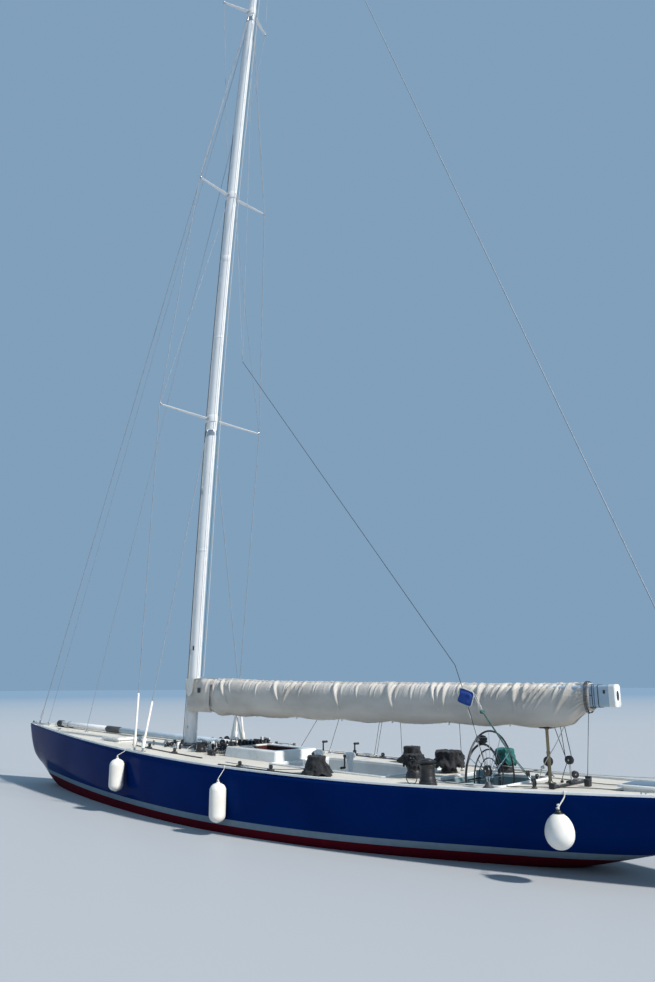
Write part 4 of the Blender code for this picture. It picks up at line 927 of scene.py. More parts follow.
def make_crosstrees():
    """Spreaders and jumper struts: a sleeve round the mast and two tapered arms each."""
    for node_name, name, z, span, sweep in CROSSTREES:
        arms = Piece(name)
        grow = ARM_SLEEVE
        # Sleeve: height above the middle, stand-off from the mast
        sleeve = ((-0.09, 0.001), (-0.085, grow * 0.7), (-0.07, grow), (0.07, grow), (0.085, grow * 0.7),
                  (0.09, 0.001))
        arms.skin([mast_ring(z + up, depth) for up, depth in sleeve], SPAR)
        for side in (1, -1):
            tip = Vector((mast_x(z) - sweep, side * span, z))
            root = Vector((mast_x(z), side * (mast_wide(z) + 0.004), z))
            rings = []
            for k in range(ARM_STEPS + 1):
                t = k / ARM_STEPS
                blunt = 0.7 if k == ARM_STEPS else 1.0
                chord = (ARM_ROOT[0] * (1 - t) + ARM_TIP[0] * t) * blunt
                high = (ARM_ROOT[1] * (1 - t) + ARM_TIP[1] * t) * blunt
                place = root.lerp(tip, t)
                rings.append([place + Vector((chord * math.cos(a), 0,
                                              high * math.sin(a) * (1 + 0.25 * math.cos(a))))
                              for a in turns(20)])
            arms.skin(rings, SPAR)
            # Root socket and tip fitting
            arms.skin([[p.lerp(root, -0.18) for p in rings[0]],
                       [p.lerp(root.lerp(tip, 0.09), -0.10) for p in rings[1]]], STEEL)
            end = tip - Vector((0, side * 0.012, 0))
            arms.block(end - Vector((0.034, 0.022, 0.018)), end + Vector((0.034, 0.012, 0.018)), STEEL,
                       edge=0.006)
            arms.lathe(barrel(0.012, 0.030, 0.016, 0.020), end, STEEL, UPWARD, 14)
        arms.done(replaces=(node_name,), angle=50)


# Boom

BOOM_PIN_X = mast_x(GOOSENECK_Z) - mast_long(GOOSENECK_Z) - BOOM_PIN_SETBACK
BOOM_SLOPE = (BOOM_END_Z - GOOSENECK_Z) / (BOOM_PIN_X - BOOM_END_X)
# Places of the eyes under the boom
BOOM_EYES = (-6.95, -6.75, -2.95, 0.55)


def boom_z(x):
    """Height of the boom's middle."""
    return GOOSENECK_Z + BOOM_SLOPE * (BOOM_PIN_X - x)


def boom_under(x):
    """Height of the boom's underside."""
    return boom_z(x) - BOOM_HEIGHT / 2


def boom_ring(x, grow=0.0, steps=6):
    """The boom's section: a rectangle with rounded corners."""
    half_wide = BOOM_WIDTH / 2 + grow
    half_high = BOOM_HEIGHT / 2 + grow
    ring = []
    for quarter, (sy, sz) in enumerate(QUARTERS):
        for step in range(steps + 1):
            a = 0.5 * math.pi * (quarter + step / steps)
            ring.append(Vector((x, sy * (half_wide - BOOM_CORNER) + BOOM_CORNER * math.cos(a),
                                boom_z(x) + sz * (half_high - BOOM_CORNER) + BOOM_CORNER * math.sin(a))))
    return ring


def make_boom():
    """The boom's tube with its end cap, neck and eyes."""
    boom = Piece("main_boom")
    fore = BOOM_PIN_X - BOOM_NECK
    # The tube in pale blue, which is painted shade and painted sky reflection on a white boom
    boom.skin([boom_ring(x) for x in spaced(BOOM_END_X + 0.012, fore, 40)], BOOM_PAINTED_SHADE)
    # End cap with an oval eye and a rim
    x = BOOM_END_X
    cap = ((0.090, 0.0), (0.088, 0.006), (0.006, 0.007), (0.0, 0.001))
    boom.skin([boom_ring(x + ahead, grow) for ahead, grow in cap], WHITE)
    z = boom_z(x)
    eye = [[Vector((x + along, 0.030 * grow * math.cos(a), z + 0.058 * grow * math.sin(a)))
            for a in turns(32)]
           for along, grow in ((0.004, 1.25), (-0.004, 1.2), (-0.004, 1.0), (-0.0015, 0.97))]
    boom.skin(eye, BLACK)
    boom.block((x + 0.14, -0.104, z - 0.10), (x + 0.22, -0.100, z - 0.04), STEEL, edge=0.002)
    boom.block((x + 0.14, 0.100, z + 0.03), (x + 0.17, 0.107, z + 0.08), BLACK, edge=0.002)
    # Neck and knuckle at the pin
    half = 0.043
    boom.block((fore - 0.05, -0.036, GOOSENECK_Z - half), (BOOM_PIN_X - 0.02, 0.036, GOOSENECK_Z + half),
               STEEL, edge=0.006)
    collar = ((-0.07, 0.0), (-0.068, 0.004), (-0.004, 0.004), (0.004, -0.004))
    boom.skin([boom_ring(fore + ahead, grow) for ahead, grow in collar], STEEL)
    for spot in BOOM_EYES:
        z = boom_z(spot) - BOOM_HEIGHT / 2
        boom.block((spot - 0.05, -0.020, z - 0.012), (spot + 0.05, 0.020, z + 0.004), STEEL, edge=0.004)
        boom.hoop((spot, 0, z - 0.026), ACROSS, 0.020, 0.005, STEEL, 24, 8)
    boom.done("boom", replaces=("boom",), angle=40)


# Sail cover

# Cover's section: x, height of the hem, height of the ridge, half width
COVER_SECTION = (
    (COVER_AFT_X, 1.955, 2.530, 0.160),
    (-6.60, 1.905, 2.530, 0.225),
    (-3.80, 1.885, 2.560, 0.245),
    (-1.00, 1.900, 2.600, 0.245),
    (0.70, 1.915, 2.650, 0.225),
    (COVER_FORE_X, 1.935, 2.650, 0.165),
)
COVER_LOW = column(COVER_SECTION, 1)
COVER_RIDGE = column(COVER_SECTION, 2)
COVER_HALF = column(COVER_SECTION, 3)
COVER_STEPS = 190
COVER_ROUND = 56
# Angle of the hems below the horizontal, and the section's roundings
HEM_ANGLE = 88.0
SIDE_ROUNDING = 0.80
TOP_ROUNDING = 0.74
RIDGE_NARROWING = 0.10
SETTLE_FRAMES = 22
SMALL_TUCKS = 240
# Hollows beside each tuck: share of its height, distance in half widths
TUCK_HOLLOW = 0.42
TUCK_HOLLOW_AT = 1.55
BROAD_WAVE = 0.018
MEDIUM_WAVE = 0.006
# Aft end, drawn in round the boom
TIED_LENGTH = 0.34
TIED_MIDDLE_Z = 2.335
TIED_HEIGHT = 0.70
TIED_NARROWING = 0.22
GATHER_ROWS = 8
GATHER_ROUND = 96
LASHING = 0.0045
# Places along the boom where the cover is laced under it
COVER_TIES = (-7.20, -6.10, -4.95, -3.75, -2.55, -1.35, -0.20, 0.55, 1.15)
# Large tucks: x at the ridge, x at the tip, length down, width, height
PORT_TUCKS = (
    (1.16, 1.02, 0.46, 0.040, 0.026), (0.905, 0.50, 0.56, 0.050, 0.044),
    (0.62, 0.44, 0.30, 0.032, 0.018), (0.10, 0.06, 0.26, 0.030, 0.016),
    (-0.30, -0.36, 0.34, 0.032, 0.018), (-0.79, -1.13, 0.50, 0.048, 0.040),
    (-1.36, -1.15, 0.48, 0.046, 0.036), (-1.62, -1.58, 0.34, 0.035, 0.020),
    (-1.95, -1.98, 0.26, 0.030, 0.016), (-2.46, -2.70, 0.54, 0.048, 0.042),
    (-2.66, -2.72, 0.26, 0.030, 0.018), (-3.02, -3.10, 0.30, 0.032, 0.018),
    (-3.42, -3.40, 0.28, 0.032, 0.016), (-3.76, -3.95, 0.50, 0.070, 0.046),
    (-3.98, -3.97, 0.40, 0.036, 0.022), (-4.30, -4.32, 0.32, 0.032, 0.018),
    (-4.69, -4.90, 0.50, 0.044, 0.038), (-4.82, -4.91, 0.48, 0.036, 0.030),
    (-4.98, -4.99, 0.50, 0.040, 0.034), (-5.25, -5.28, 0.30, 0.032, 0.018),
    (-5.63, -5.67, 0.50, 0.042, 0.036), (-5.82, -5.74, 0.24, 0.030, 0.020),
    (-5.94, -5.86, 0.24, 0.030, 0.020), (-6.06, -5.97, 0.26, 0.030, 0.020),
    (-6.27, -6.32, 0.50, 0.042, 0.036), (-6.45, -6.46, 0.42, 0.036, 0.028),
    (-6.60, -6.30, 0.40, 0.034, 0.026), (-6.72, -6.40, 0.42, 0.034, 0.028),
    (-6.82, -6.48, 0.42, 0.034, 0.028), (-6.92, -6.58, 0.44, 0.036, 0.028),
    (-7.20, -6.94, 0.46, 0.064, 0.040), (-7.38, -7.22, 0.40, 0.044, 0.026),
)


def cover_point(x, share):
    """On the cover's section: share runs from the port hem up over the ridge to the starboard hem."""
    low, high = smooth(COVER_LOW, x), smooth(COVER_RIDGE, x)
    a = math.radians(-HEM_ANGLE + (180.0 + 2 * HEM_ANGLE) * share)
    side = power(math.cos(a), SIDE_ROUNDING)
    up = power(math.sin(a), TOP_ROUNDING)
    y = smooth(COVER_HALF, x) * side * (1.0 - RIDGE_NARROWING * max(up, 0.0) ** 2)
    return Vector((x, y, (low + high) / 2 + (high - low) / 2 * up))


def hem_drop(x):
    """How far the hem hangs between its ties."""
    for a, b in zip(COVER_TIES, COVER_TIES[1:]):
        if a <= x <= b:
            t = (x - a) / (b - a)
            return math.sin(math.pi * t) ** 0.8
    return 0.0


def cover_start():
    """The cover as it is cut: a long tube, open along its lowest line."""
    rings = []
    for i in range(COVER_STEPS + 1):
        x = COVER_AFT_X + (COVER_FORE_X - COVER_AFT_X) * i / COVER_STEPS
        rings.append([cover_point(x, k / COVER_ROUND) for k in range(COVER_ROUND + 1)])
    cloth = Piece("boom_cover").skin(rings, CLOTH, closed=False)
    return cloth.mesh()


def settle(mesh, pins, frames, shrink, cap, gravity=1.0):
    """Let a cloth hang from its pins, for good, with no point moving further than the cap."""
    held = placed("cloth_trial", mesh)
    group = held.vertex_groups.new(name="held")
    for index, weight in pins.items():
        group.add([index], weight, "REPLACE")
    step = held.modifiers.new("cloth", "CLOTH")
    step.settings.quality = 6
    step.settings.mass = 0.25
    step.settings.tension_stiffness = 30
    step.settings.compression_stiffness = 4
    step.settings.shear_stiffness = 6
    step.settings.bending_stiffness = 0.02
    step.settings.shrink_min = shrink
    step.settings.vertex_group_mass = "held"
    step.settings.effector_weights.gravity = gravity
    step.collision_settings.use_collision = False
    step.point_cache.frame_start = 1
    step.point_cache.frame_end = frames
    scene = bpy.context.scene
    for frame_number in range(1, frames + 1):
        scene.frame_set(frame_number)
    graph = bpy.context.evaluated_depsgraph_get()
    settled = held.evaluated_get(graph).to_mesh()
    moved = [v.co.copy() for v in settled.vertices]
    held.evaluated_get(graph).to_mesh_clear()
    for vert, place in zip(mesh.vertices, moved):
        step_by = place - vert.co
        if step_by.length > cap:
            step_by *= cap / step_by.length
        vert.co += step_by
    bpy.data.objects.remove(held, do_unlink=True)
    scene.frame_set(1)


def tuck_height(x, down, tucks):
    """Sum of the tucks' heights at a place along the ridge and down from it."""
    total = 0.0
    for top_x, tip_x, length, width, height in tucks:
        if down > length * 1.05:
            continue
        t = min(down / length, 1.0)
        middle = top_x + (tip_x - top_x) * t
        off = (x - middle) / (width * (1.15 - 0.85 * t))
        if abs(off) > 3.0:
            continue
        rise = eased(down / 0.035) * (1 - t ** 3)
        shape = math.exp(-off * off)
        for beside in (off - TUCK_HOLLOW_AT, off + TUCK_HOLLOW_AT):
            shape -= TUCK_HOLLOW * math.exp(-(beside ** 2) / 0.8)
        total += height * rise * shape
    return total


def small_tucks(rng, count):
    """Short ruffles close to the ridge."""
    rows = []
    for _ in range(count):
        x = rng.uniform(COVER_AFT_X + 0.1, COVER_FORE_X - 0.1)
        length = 0.05 + 0.26 * rng.random() ** 1.8
        lean = rng.uniform(-0.10, 0.10) * length
        aft = eased((-4.6 - x) / 1.2)
        lean += aft * 0.35 * length
        rows.append((x, x + lean, length, rng.uniform(0.013, 0.026),
                     rng.uniform(0.004, 0.011) * (1 + aft * 0.5)))
    return rows


def shape_cover(mesh):
    """Press the tucks, the hanging hem and the gathered aft end into the settled cloth."""
    rng = random.Random(41)
    small = {1: small_tucks(rng, SMALL_TUCKS), -1: small_tucks(rng, SMALL_TUCKS)}
    starboard = [(row[0] + 0.17, row[1] + 0.10, row[2] * 0.9, row[3], row[4]) for row in PORT_TUCKS]
    large = {1: list(PORT_TUCKS), -1: starboard}
    # Tucks by side and by quarter metre of the boom
    buckets = {}
    for side in (1, -1):
        rows = small[side] + large[side]
        for cell in range(int(COVER_AFT_X * 4) - 3, int(COVER_FORE_X * 4) + 4):
            buckets[side, cell] = [row for row in rows if min(row[0], row[1]) - 0.2 < (cell + 1) / 4
                                   and max(row[0], row[1]) + 0.2 > cell / 4]
    for vert in mesh.vertices:
        x, y, z = vert.co
        side = 1 if y >= 0 else -1
        low, high = smooth(COVER_LOW, x), smooth(COVER_RIDGE, x)
        centre = (low + high) / 2
        down = max(high - z, 0.0) + 0.25 * (0.06 - min(abs(y), 0.06))
        out = Vector((0, y, (z - centre) * 0.6)).normalized()
        lift = tuck_height(x, down, buckets[side, math.floor(x * 4)])
        broad = noise.noise(Vector((x * 1.1, side * 4.0, z * 1.6))) * BROAD_WAVE
        medium = noise.noise(Vector((x * 5.0, side * 7.0, z * 1.8))) * MEDIUM_WAVE * eased((high - z) / 0.1)
        vert.co += out * (lift * 0.85 + broad + medium)
        vert.co.z -= eased((low + 0.20 - z) / 0.20) * (0.045 * hem_drop(x) - 0.030)
        # Gathers into the lashing at the aft end
        tie = tied_share(x)
        ripple = 0.016 * math.sin(math.atan2(z - centre, y) * 17 + 3 * x)
        vert.co += out * (ripple * tie)
        vert.co.y *= 1 - TIED_NARROWING * tie
        vert.co.z = vert.co.z * (1 - tie) + end_z(vert.co.z, low, high) * tie


def tied_share(x):
    """From 0 to 1 towards the tied aft end."""
    return eased((COVER_AFT_X + TIED_LENGTH - x) / TIED_LENGTH)


def end_z(z, low, high):
    """Height of a point of the cover's section once it is drawn in round the boom."""
    return TIED_MIDDLE_Z + (z - (low + high) / 2) * TIED_HEIGHT


def drawn_in(x, share, grow):
    """A point of the tied aft end, with its stand-off from the cloth."""
    tie = tied_share(x)
    p = cover_point(x, share)
    p.y *= 1 - TIED_NARROWING * tie
    p.z = p.z * (1 - tie) + end_z(p.z, smooth(COVER_LOW, x), smooth(COVER_RIDGE, x)) * tie
    out = Vector((0, p.y, (p.z - TIED_MIDDLE_Z) * 0.6)).normalized()
    return p + out * grow


def make_cover():
    """The big cover: cut as a tube, hung by its ridge and ties, then folded."""
    mesh = cover_start()
    pins = {}
    rows = COVER_ROUND + 1
    ridge = COVER_ROUND // 2
    xs = spaced(COVER_AFT_X, COVER_FORE_X, COVER_STEPS + 1)
    tie_rows = {min(range(COVER_STEPS + 1), key=lambda i: abs(xs[i] - tie)) for tie in COVER_TIES}
    for i in range(COVER_STEPS + 1):
        for k in range(rows):
            hem = k in (0, COVER_ROUND)
            if abs(k - ridge) <= 1 and i % 3 == 0 or i in (0, COVER_STEPS):
                pins[i * rows + k] = 1.0
            elif hem:
                pins[i * rows + k] = 1.0 if i in tie_rows else 0.5
    settle(mesh, pins, SETTLE_FRAMES, -0.05, 0.030, gravity=0.6)
    made = placed("boom_cover", mesh)
    finer = made.modifiers.new("finer", "SUBSURF")
    finer.levels = 2
    finer.render_levels = 2
    graph = bpy.context.evaluated_depsgraph_get()
    made.data = bpy.data.meshes.new_from_object(made.evaluated_get(graph))
    made.modifiers.clear()
    shape_cover(made.data)
    made.data.shade_smooth()
    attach(made, "boom")
    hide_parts("sail_cover")


def make_cover_ends():
    """The lashing round the cover's aft end and the lacing under it."""
    gather = Piece("cover_gather")
    centre = boom_z(COVER_AFT_X)
    rings = []
    for i in range(GATHER_ROWS + 1):
        s = i / GATHER_ROWS
        ring = []
        for k in range(GATHER_ROUND + 1):
            outer = drawn_in(COVER_AFT_X, k / GATHER_ROUND, 0.004)
            a = math.atan2(outer.z - centre, outer.y)
            reach = min(0.5 * BOOM_WIDTH / max(abs(math.cos(a)), 0.001),
                        0.5 * BOOM_HEIGHT / max(abs(math.sin(a)), 0.001)) + 0.007
            inner = Vector((COVER_AFT_X, reach * math.cos(a), centre + reach * math.sin(a)))
            p = outer.lerp(inner, s)
            bulge = math.sin(math.pi * s)
            p.x = COVER_AFT_X - 0.004 - 0.028 * bulge + 0.010 * math.sin(23 * a) * bulge
            ring.append(p)
        rings.append(ring)
    gather.skin(rings, CLOTH, closed=False)
    made = gather.done("boom", angle=80)
    lines = Piece("cover_lashing")
    for x, grow in ((-7.435, 0.022), (-7.420, 0.024), (-7.450, 0.022)):
        spots = [drawn_in(x, k / 48, grow) for k in range(49)]
        lines.tube(spots + spots[:1], LASHING, DARK_ROPE, 8)
    for x, finish in ((-7.53, DARK_ROPE), (-7.56, BLUE_ROPE), (-7.62, DARK_ROPE)):
        ring = boom_ring(x, 0.005)
        lines.tube(ring + ring[:1], LASHING, finish)
    for side in (1, -1):
        spots = [(-7.44, side * 0.138, 2.34), (-7.49, side * 0.112, 2.36), (-7.53, side * 0.106, 2.36)]
        lines.tube(curve_through(spots), LASHING, DARK_ROPE)
    for x in COVER_TIES[1:-1]:
        low = smooth(COVER_LOW, x)
        spots = [(x - 0.05, 0.05, low + 0.02), (x, 0.02, low - 0.012), (x + 0.01, -0.02, low - 0.014),
                 (x + 0.05, -0.05, low + 0.02)]
        lines.tube(curve_through(spots), 0.005, WHITE_ROPE)
    lines.done("boom")


def cover_half(x, z):
    """Half width of the cover's section at a height."""
    low, high = smooth(COVER_LOW, x), smooth(COVER_RIDGE, x)
    up = max(min((2 * z - low - high) / (high - low), 0.999), -0.999)
    s = abs(up) ** (1 / TOP_ROUNDING)
    narrowed = 1 - RIDGE_NARROWING * max(up, 0.0) ** 2
    return smooth(COVER_HALF, x) * (1 - s * s) ** (SIDE_ROUNDING / 2) * narrowed


FLAP_ROWS = 40
FLAP_STEPS = 56
# Fore end: where it starts, where its lower and upper edges end beside the mast
FRONT_START = 1.16
FRONT_END_LOW = 1.97
FRONT_END_HIGH = 2.03
ROOF_START = 1.10
ROOF_HALF = 0.132


def front_ridge(s):
    """Height of the fore end's ridge at a share of its length."""
    return 2.640 + 0.040 * math.sin(math.pi * min(s * 1.1, 1.0))


def flap_point(side, s, t):
    """On a side of the cover's fore end: s runs forward, t up from the hem."""
    x_low = FRONT_START + (FRONT_END_LOW - FRONT_START) * s
    x_high = FRONT_START + (FRONT_END_HIGH - FRONT_START) * s
    x = x_low + (x_high - x_low) * eased(t * 1.1)
    low = 1.950 + 0.012 * s
    z = low + (front_ridge(s) - low) * t
    beside_mast = 0.190 - 0.030 * eased(s * 1.4)
    y = beside_mast + (cover_half(x, z) + 0.014 - beside_mast) * (1 - eased(s * 2.6))
    # The lower edge turns in under the boom and the upper one towards the mast
    turn_in = (0.055 - 0.035 * s) * eased((0.14 - t) / 0.14) + 0.035 * eased((t - 0.88) / 0.12)
    y -= turn_in * eased(s * 3)
    fold = 0.014 * math.sin(9.0 * x + 5.5 * z + 0.6 * math.sin(11 * z)) * eased(s * 3)
    fold += 0.018 * math.exp(-((x - 1.34 + 0.05 * t) / 0.026) ** 2) * eased(t * 2)
    fold += 0.012 * math.exp(-((x - 1.74 + 0.05 * t) / 0.026) ** 2)
    fold += noise.noise(Vector((x * 7, side * 5.0, z * 6))) * 0.010
    return Vector((x, side * max(y + fold, 0.128 * eased(s * 2.6)), z))


def lining_point(s, t):
    """On the white lining turned back at the mast: s runs forward, t down."""
    x = 1.72 + 0.33 * s - 0.10 * t * s + 0.05 * t * t
    z = 2.672 - (0.22 + 0.16 * math.sin(2.6 * s + 0.3)) * t
    y = 0.186 + 0.010 * math.sin(7 * s + 4 * t) + 0.010 * math.sin(math.pi * s) - 0.02 * s
    return Vector((x, y, z))


def roof_point(x, across):
    """On the top of the fore end: across runs from -1 at starboard to 1 at port."""
    s = max(x - FRONT_START, 0.0) / (FRONT_END_HIGH - FRONT_START)
    drop = 0.022 + 0.070 * (1 - eased(s * 2.6))
    fold = 0.006 * math.sin(21 * x + 3 * across) * eased(s * 4)
    return Vector((x, ROOF_HALF * across, front_ridge(s) - 0.008 - drop * across * across + fold))


def make_cover_front():
    """The cover's fore end, drawn forward beside and behind the mast."""
    for side in (1, -1):
        flap = Piece("cover_front_port" if side > 0 else "cover_front_starboard")
        flap.skin([[flap_point(side, i / FLAP_STEPS, k / FLAP_ROWS) for k in range(FLAP_ROWS + 1)]
                   for i in range(FLAP_STEPS + 1)], CLOTH, closed=False)
        made = flap.make(angle=80)
        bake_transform(made)
    lining = Piece("cover_front_lining")
    lining.skin([[lining_point(i / 24, k / 24) for k in range(25)] for i in range(25)], VINYL, closed=False)
    made = lining.make(angle=80)
    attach(made, "root")
    # Top, from the ridge to the mast's after face
    roof = Piece("cover_front_top")
    roof_end = mast_aft(2.66, 0.008).x
    roof.skin([[roof_point(x, 2 * k / 24 - 1) for k in range(25)] for x in spaced(ROOF_START, roof_end, 33)],
              CLOTH, closed=False)
    made = roof.make(angle=80)
    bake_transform(made)
    # Patch sewn over the port side's eye
    patch = Piece("cover_front_patch")
    patch.block((1.455, 0.205, 2.365), (1.555, 0.213, 2.475), DARK_GREY, edge=0.003)
    patch.block((1.480, 0.211, 2.395), (1.530, 0.217, 2.445), BLACK, edge=0.002)
    made = patch.make()
    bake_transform(made)


make_mast()
make_crosstrees()
make_boom()
make_cover()
make_cover_ends()
make_cover_front()


# Deck gear

GRINDER_AXLE_Z = 1.26
GRINDER_XS = (-1.93, -2.73)
CRANK_ARM = 0.20
HOOD_ROWS = 26
HOOD_ROUND = 72
# Share of a hood's rows that lie on its crown
HOOD_CROWN = 0.28
# Folds round a hood: count, depth
HOOD_FOLDS = ((4, 0.055), (7, 0.045), (11, 0.034), (19, 0.018))


def corners(node_name):
    low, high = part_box(node_name)
    return Vector(low), Vector(high)


def ribbed(radius, low, high, count, depth):
    """Profile of a drum's gripping ribs."""
    rows = []
    step = (high - low) / count
    for k in range(count):
        base = low + step * k
        rows += [(radius, base), (radius + depth, base + step * 0.25), (radius + depth, base + step * 0.6),
                 (radius, base + step * 0.85)]
    return rows


def make_winch(node_name, piece_name, top_finish):
    """A winch drum with ribs, self-tailing jaws and a socket, sized from its solid."""
    low, high = corners(node_name)
    spot = Vector(((low.x + high.x) / 2, (low.y + high.y) / 2, low.z))
    h = high.z - low.z
    r = (high.x - low.x) / 2 / 1.05
    winch = Piece(piece_name)
    # Radius and height as shares of the drum's own
    base = ((0.5, 0), (1.05, 0), (1.05, 0.05), (1.00, 0.07), (1.00, 0.12), (0.93, 0.15))
    drum = [(0.93, 0.16), (0.90, 0.22), (0.84, 0.30)] + ribbed(0.82, 0.32, 0.60, 6, 0.025)
    drum += [(0.83, 0.62), (0.90, 0.70), (0.98, 0.745), (1.0, 0.76)]
    jaws = ((1.0, 0.765), (0.98, 0.775), (0.72, 0.80), (0.72, 0.83), (0.98, 0.855), (1.0, 0.87), (0.99, 0.90),
            (0.80, 0.93))
    cap = ((0.80, 0.93), (0.74, 0.96), (0.40, 0.985), (0.34, 1), (0.16, 1), (0.15, 0.95), (0.001 / r, 0.95))
    for profile, finish in ((base, BLACK), (drum, BLACK), (jaws, top_finish), (cap, top_finish)):
        winch.lathe([(r * wide, h * up) for wide, up in profile], spot, finish, sides=48)
    for a in turns(8, 0.5):
        out = Vector((math.cos(a), math.sin(a), 0)) * r * 0.99
        winch.lathe(((r * 0.05, 0), (r * 0.05, h * 0.012), (r * 0.03, h * 0.018)),
                    spot + out * 0.97 + Vector((0, 0, h * 0.05)), STEEL, sides=6)
    # Feeder arm over the jaws
    side = 1 if spot.y > 0 else -1
    arm = spot + Vector((0, -side * r * 0.95, h * 0.84))
    reach = Vector((r * 0.14, r * 0.12, h * 0.09))
    winch.block(arm - reach, arm + reach, top_finish, edge=r * 0.05)
    winch.done(replaces=(node_name,), angle=35)
    return spot, r, h


def make_hood(name, spot, radius, height, seed, square=0.0, cloth=None, reach=0.86, flare=0.12,
              spread=1.0, sit=1.055):
    """A cloth cover pulled over a winch, tied in at the waist and flared below."""
    cloth = cloth or BLACK_CLOTH
    rng = random.Random(seed)
    phase = [rng.uniform(0, 6.28) for _ in range(4)]
    rings = []
    for i in range(HOOD_ROWS + 1):
        t = i / HOOD_ROWS
        if t < HOOD_CROWN:
            s = t / HOOD_CROWN
            base = radius * 1.10 * math.sin(0.5 * math.pi * (0.06 + 0.94 * s))
            z = height * (sit - 0.05 * s ** 3)
        else:
            s = (t - HOOD_CROWN) / (1 - HOOD_CROWN)
            base = radius * (1.13 - 0.10 * math.sin(math.pi * min(s * 1.25, 1.0)) + flare * s ** 2)
            z = height * (sit - 0.05 - reach * s)
        amount = eased((t - 0.15) / 0.5)
        wide = 1 + (spread - 1) * (0.35 + 0.65 * t)
        ring = []
        for a in turns(HOOD_ROUND):
            cos, sin = math.cos(a), math.sin(a)
            fold = sum(share * math.sin(count * a + phase[n] + 1.4 * math.sin(2 * a + n))
                       for n, (count, share) in enumerate(HOOD_FOLDS))
            stretch = 1 + square * 0.13 * (1 - abs(math.cos(2 * a)) ** 1.5) * (1 if t > 0.1 else t / 0.1)
            lump = noise.noise(Vector((cos * 1.7, sin * 1.7, t * 3.2 + seed)))
            crease = abs(noise.noise(Vector((cos * 3.6, sin * 3.6, t * 5.0 + seed + 3))))
            dent = radius * (0.46 * max(lump, -0.16) + 0.13 * max(0.16 - crease, 0.0) / 0.16)
            r = base * stretch * (1 + fold * amount) + 0.006 + dent * amount
            sway = noise.noise(Vector((cos * 3, sin * 3, seed + 9))) * height * 0.12 * (0.6 + amount)
            ring.append(spot + Vector((cos * r * wide, sin * r, z + sway)))
        rings.append(ring)
    hood = Piece(name)
    hood.skin(rings, cloth, caps=False)
    hood.cap(rings[0], cloth)
    made = hood.done(angle=80)


def make_winches():
    """Four pairs of winches, five of them under cloth hoods."""
    for side_name in ("port", "starboard"):
        port = side_name == "port"
        spot, r, h = make_winch("primary_winch_" + side_name, "jib_winch_" + side_name, BLACK)
        if not port:
            make_hood("jib_winch_hood", spot, r, h, 31, cloth=GREEN_CLOTH,
                      reach=0.62, flare=0.05, sit=1.03)
        spot, r, h = make_winch("rail_winch_" + side_name, "side_winch_" + side_name, STEEL)
        make_hood("side_winch_hood_" + side_name, spot, r, h, 3 if port else 8, reach=0.93, flare=0.55,
                  spread=1.45, sit=1.03)
        spot, r, h = make_winch("pit_winch_" + side_name, "cockpit_winch_" + side_name, STEEL)
        if port:
            make_hood("cockpit_winch_hood_port", spot, r * 1.02, h, 5, reach=0.46, flare=0.02, sit=1.02)
        else:
            make_hood("cockpit_winch_hood_starboard", spot, r * 1.25, h, 12, square=1.0, reach=0.70,
                      flare=0.10, sit=1.01)
        make_winch("halyard_winch_" + side_name, "mast_winch_" + side_name, CHROME)


def make_grinders():
    """Two pedestals, each with a two-handed crank at its head."""
    for name in ("grinder_fore", "grinder_aft"):
        low, high = corners(name + "_pedestal")
        x = (low.x + high.x) / 2
        z = GRINDER_AXLE_Z
        foot = Vector((x, 0, low.z))
        up = z - low.z
        post = Piece(name + "_post")
        post.lathe(((0.118, 0), (0.118, 0.012), (0.112, 0.018), (0.078, 0.034), (0.068, 0.060),
                    (0.064, up * 0.5), (0.064, up - 0.07), (0.070, up - 0.05), (0.072, up + 0.035),
                    (0.062, up + 0.052), (0.030, up + 0.060)), foot, SPAR, sides=40)
        for a in turns(8):
            post.lathe(((0.009, 0), (0.009, 0.005), (0.005, 0.008)),
                       foot + Vector((0.098 * math.cos(a), 0.098 * math.sin(a), 0.012)), STEEL, sides=6)
        for side in (1, -1):
            post.lathe(((0.045, 0), (0.045, 0.045), (0.048, 0.050), (0.048, 0.060), (0.040, 0.064)),
                       (x, side * 0.056, z), SPAR, (0, side, 0), 28)
        post.block((x - 0.03, 0.060, low.z + 0.30), (x + 0.03, 0.072, low.z + 0.36), STEEL, edge=0.003)
        post.done(replaces=(name + "_pedestal",))

        crank = Piece(name + "_handles")
        crank.lathe(barrel(0.010, 0.155, 0.013, 0.15), (x, 0, z), STEEL, ACROSS, 20)
        for side, lift in ((1, -1), (-1, 1)):
            y = side * 0.145
            far = z + lift * CRANK_ARM
            crank.lathe(barrel(0.024, 0.012, 0.026, 0.008), (x, y, z), BLACK, ACROSS, 24)
            rings = []
            for t in spaced(0.0, 1.0, 13):
                wide = 0.020 * (1 - 0.25 * t)
                deep = 0.0085
                rings.append([Vector((x + wide * math.cos(a), y + deep * math.sin(a), z + (far - z) * t))
                              for a in turns(16)])
            crank.skin(rings, BLACK)
            crank.lathe(barrel(0.021, 0.011, 0.022, 0.008), (x, y, far), BLACK, ACROSS, 20)
            crank.lathe(((0.010, 0.008), (0.019, 0.012), (0.022, 0.022), (0.019, 0.050), (0.021, 0.080),
                         (0.022, 0.100), (0.017, 0.112), (0.006, 0.116)),
                        (x, y, far), RUBBER, (0, side, 0), 24)
        crank.done(name + "_crank", replaces=(name + "_crank",))


WHEEL_X = -5.700
WHEEL_Z = 1.08
WHEEL_RADIUS = 0.715
TRIM_X = -5.6652
TRIM_RADIUS = 0.430
CASE_BACK = -5.6474
ARCH_X = -5.5574
ARCH_RADIUS = 0.505
CASE_TOP_Z = 1.19
STITCHES = 132

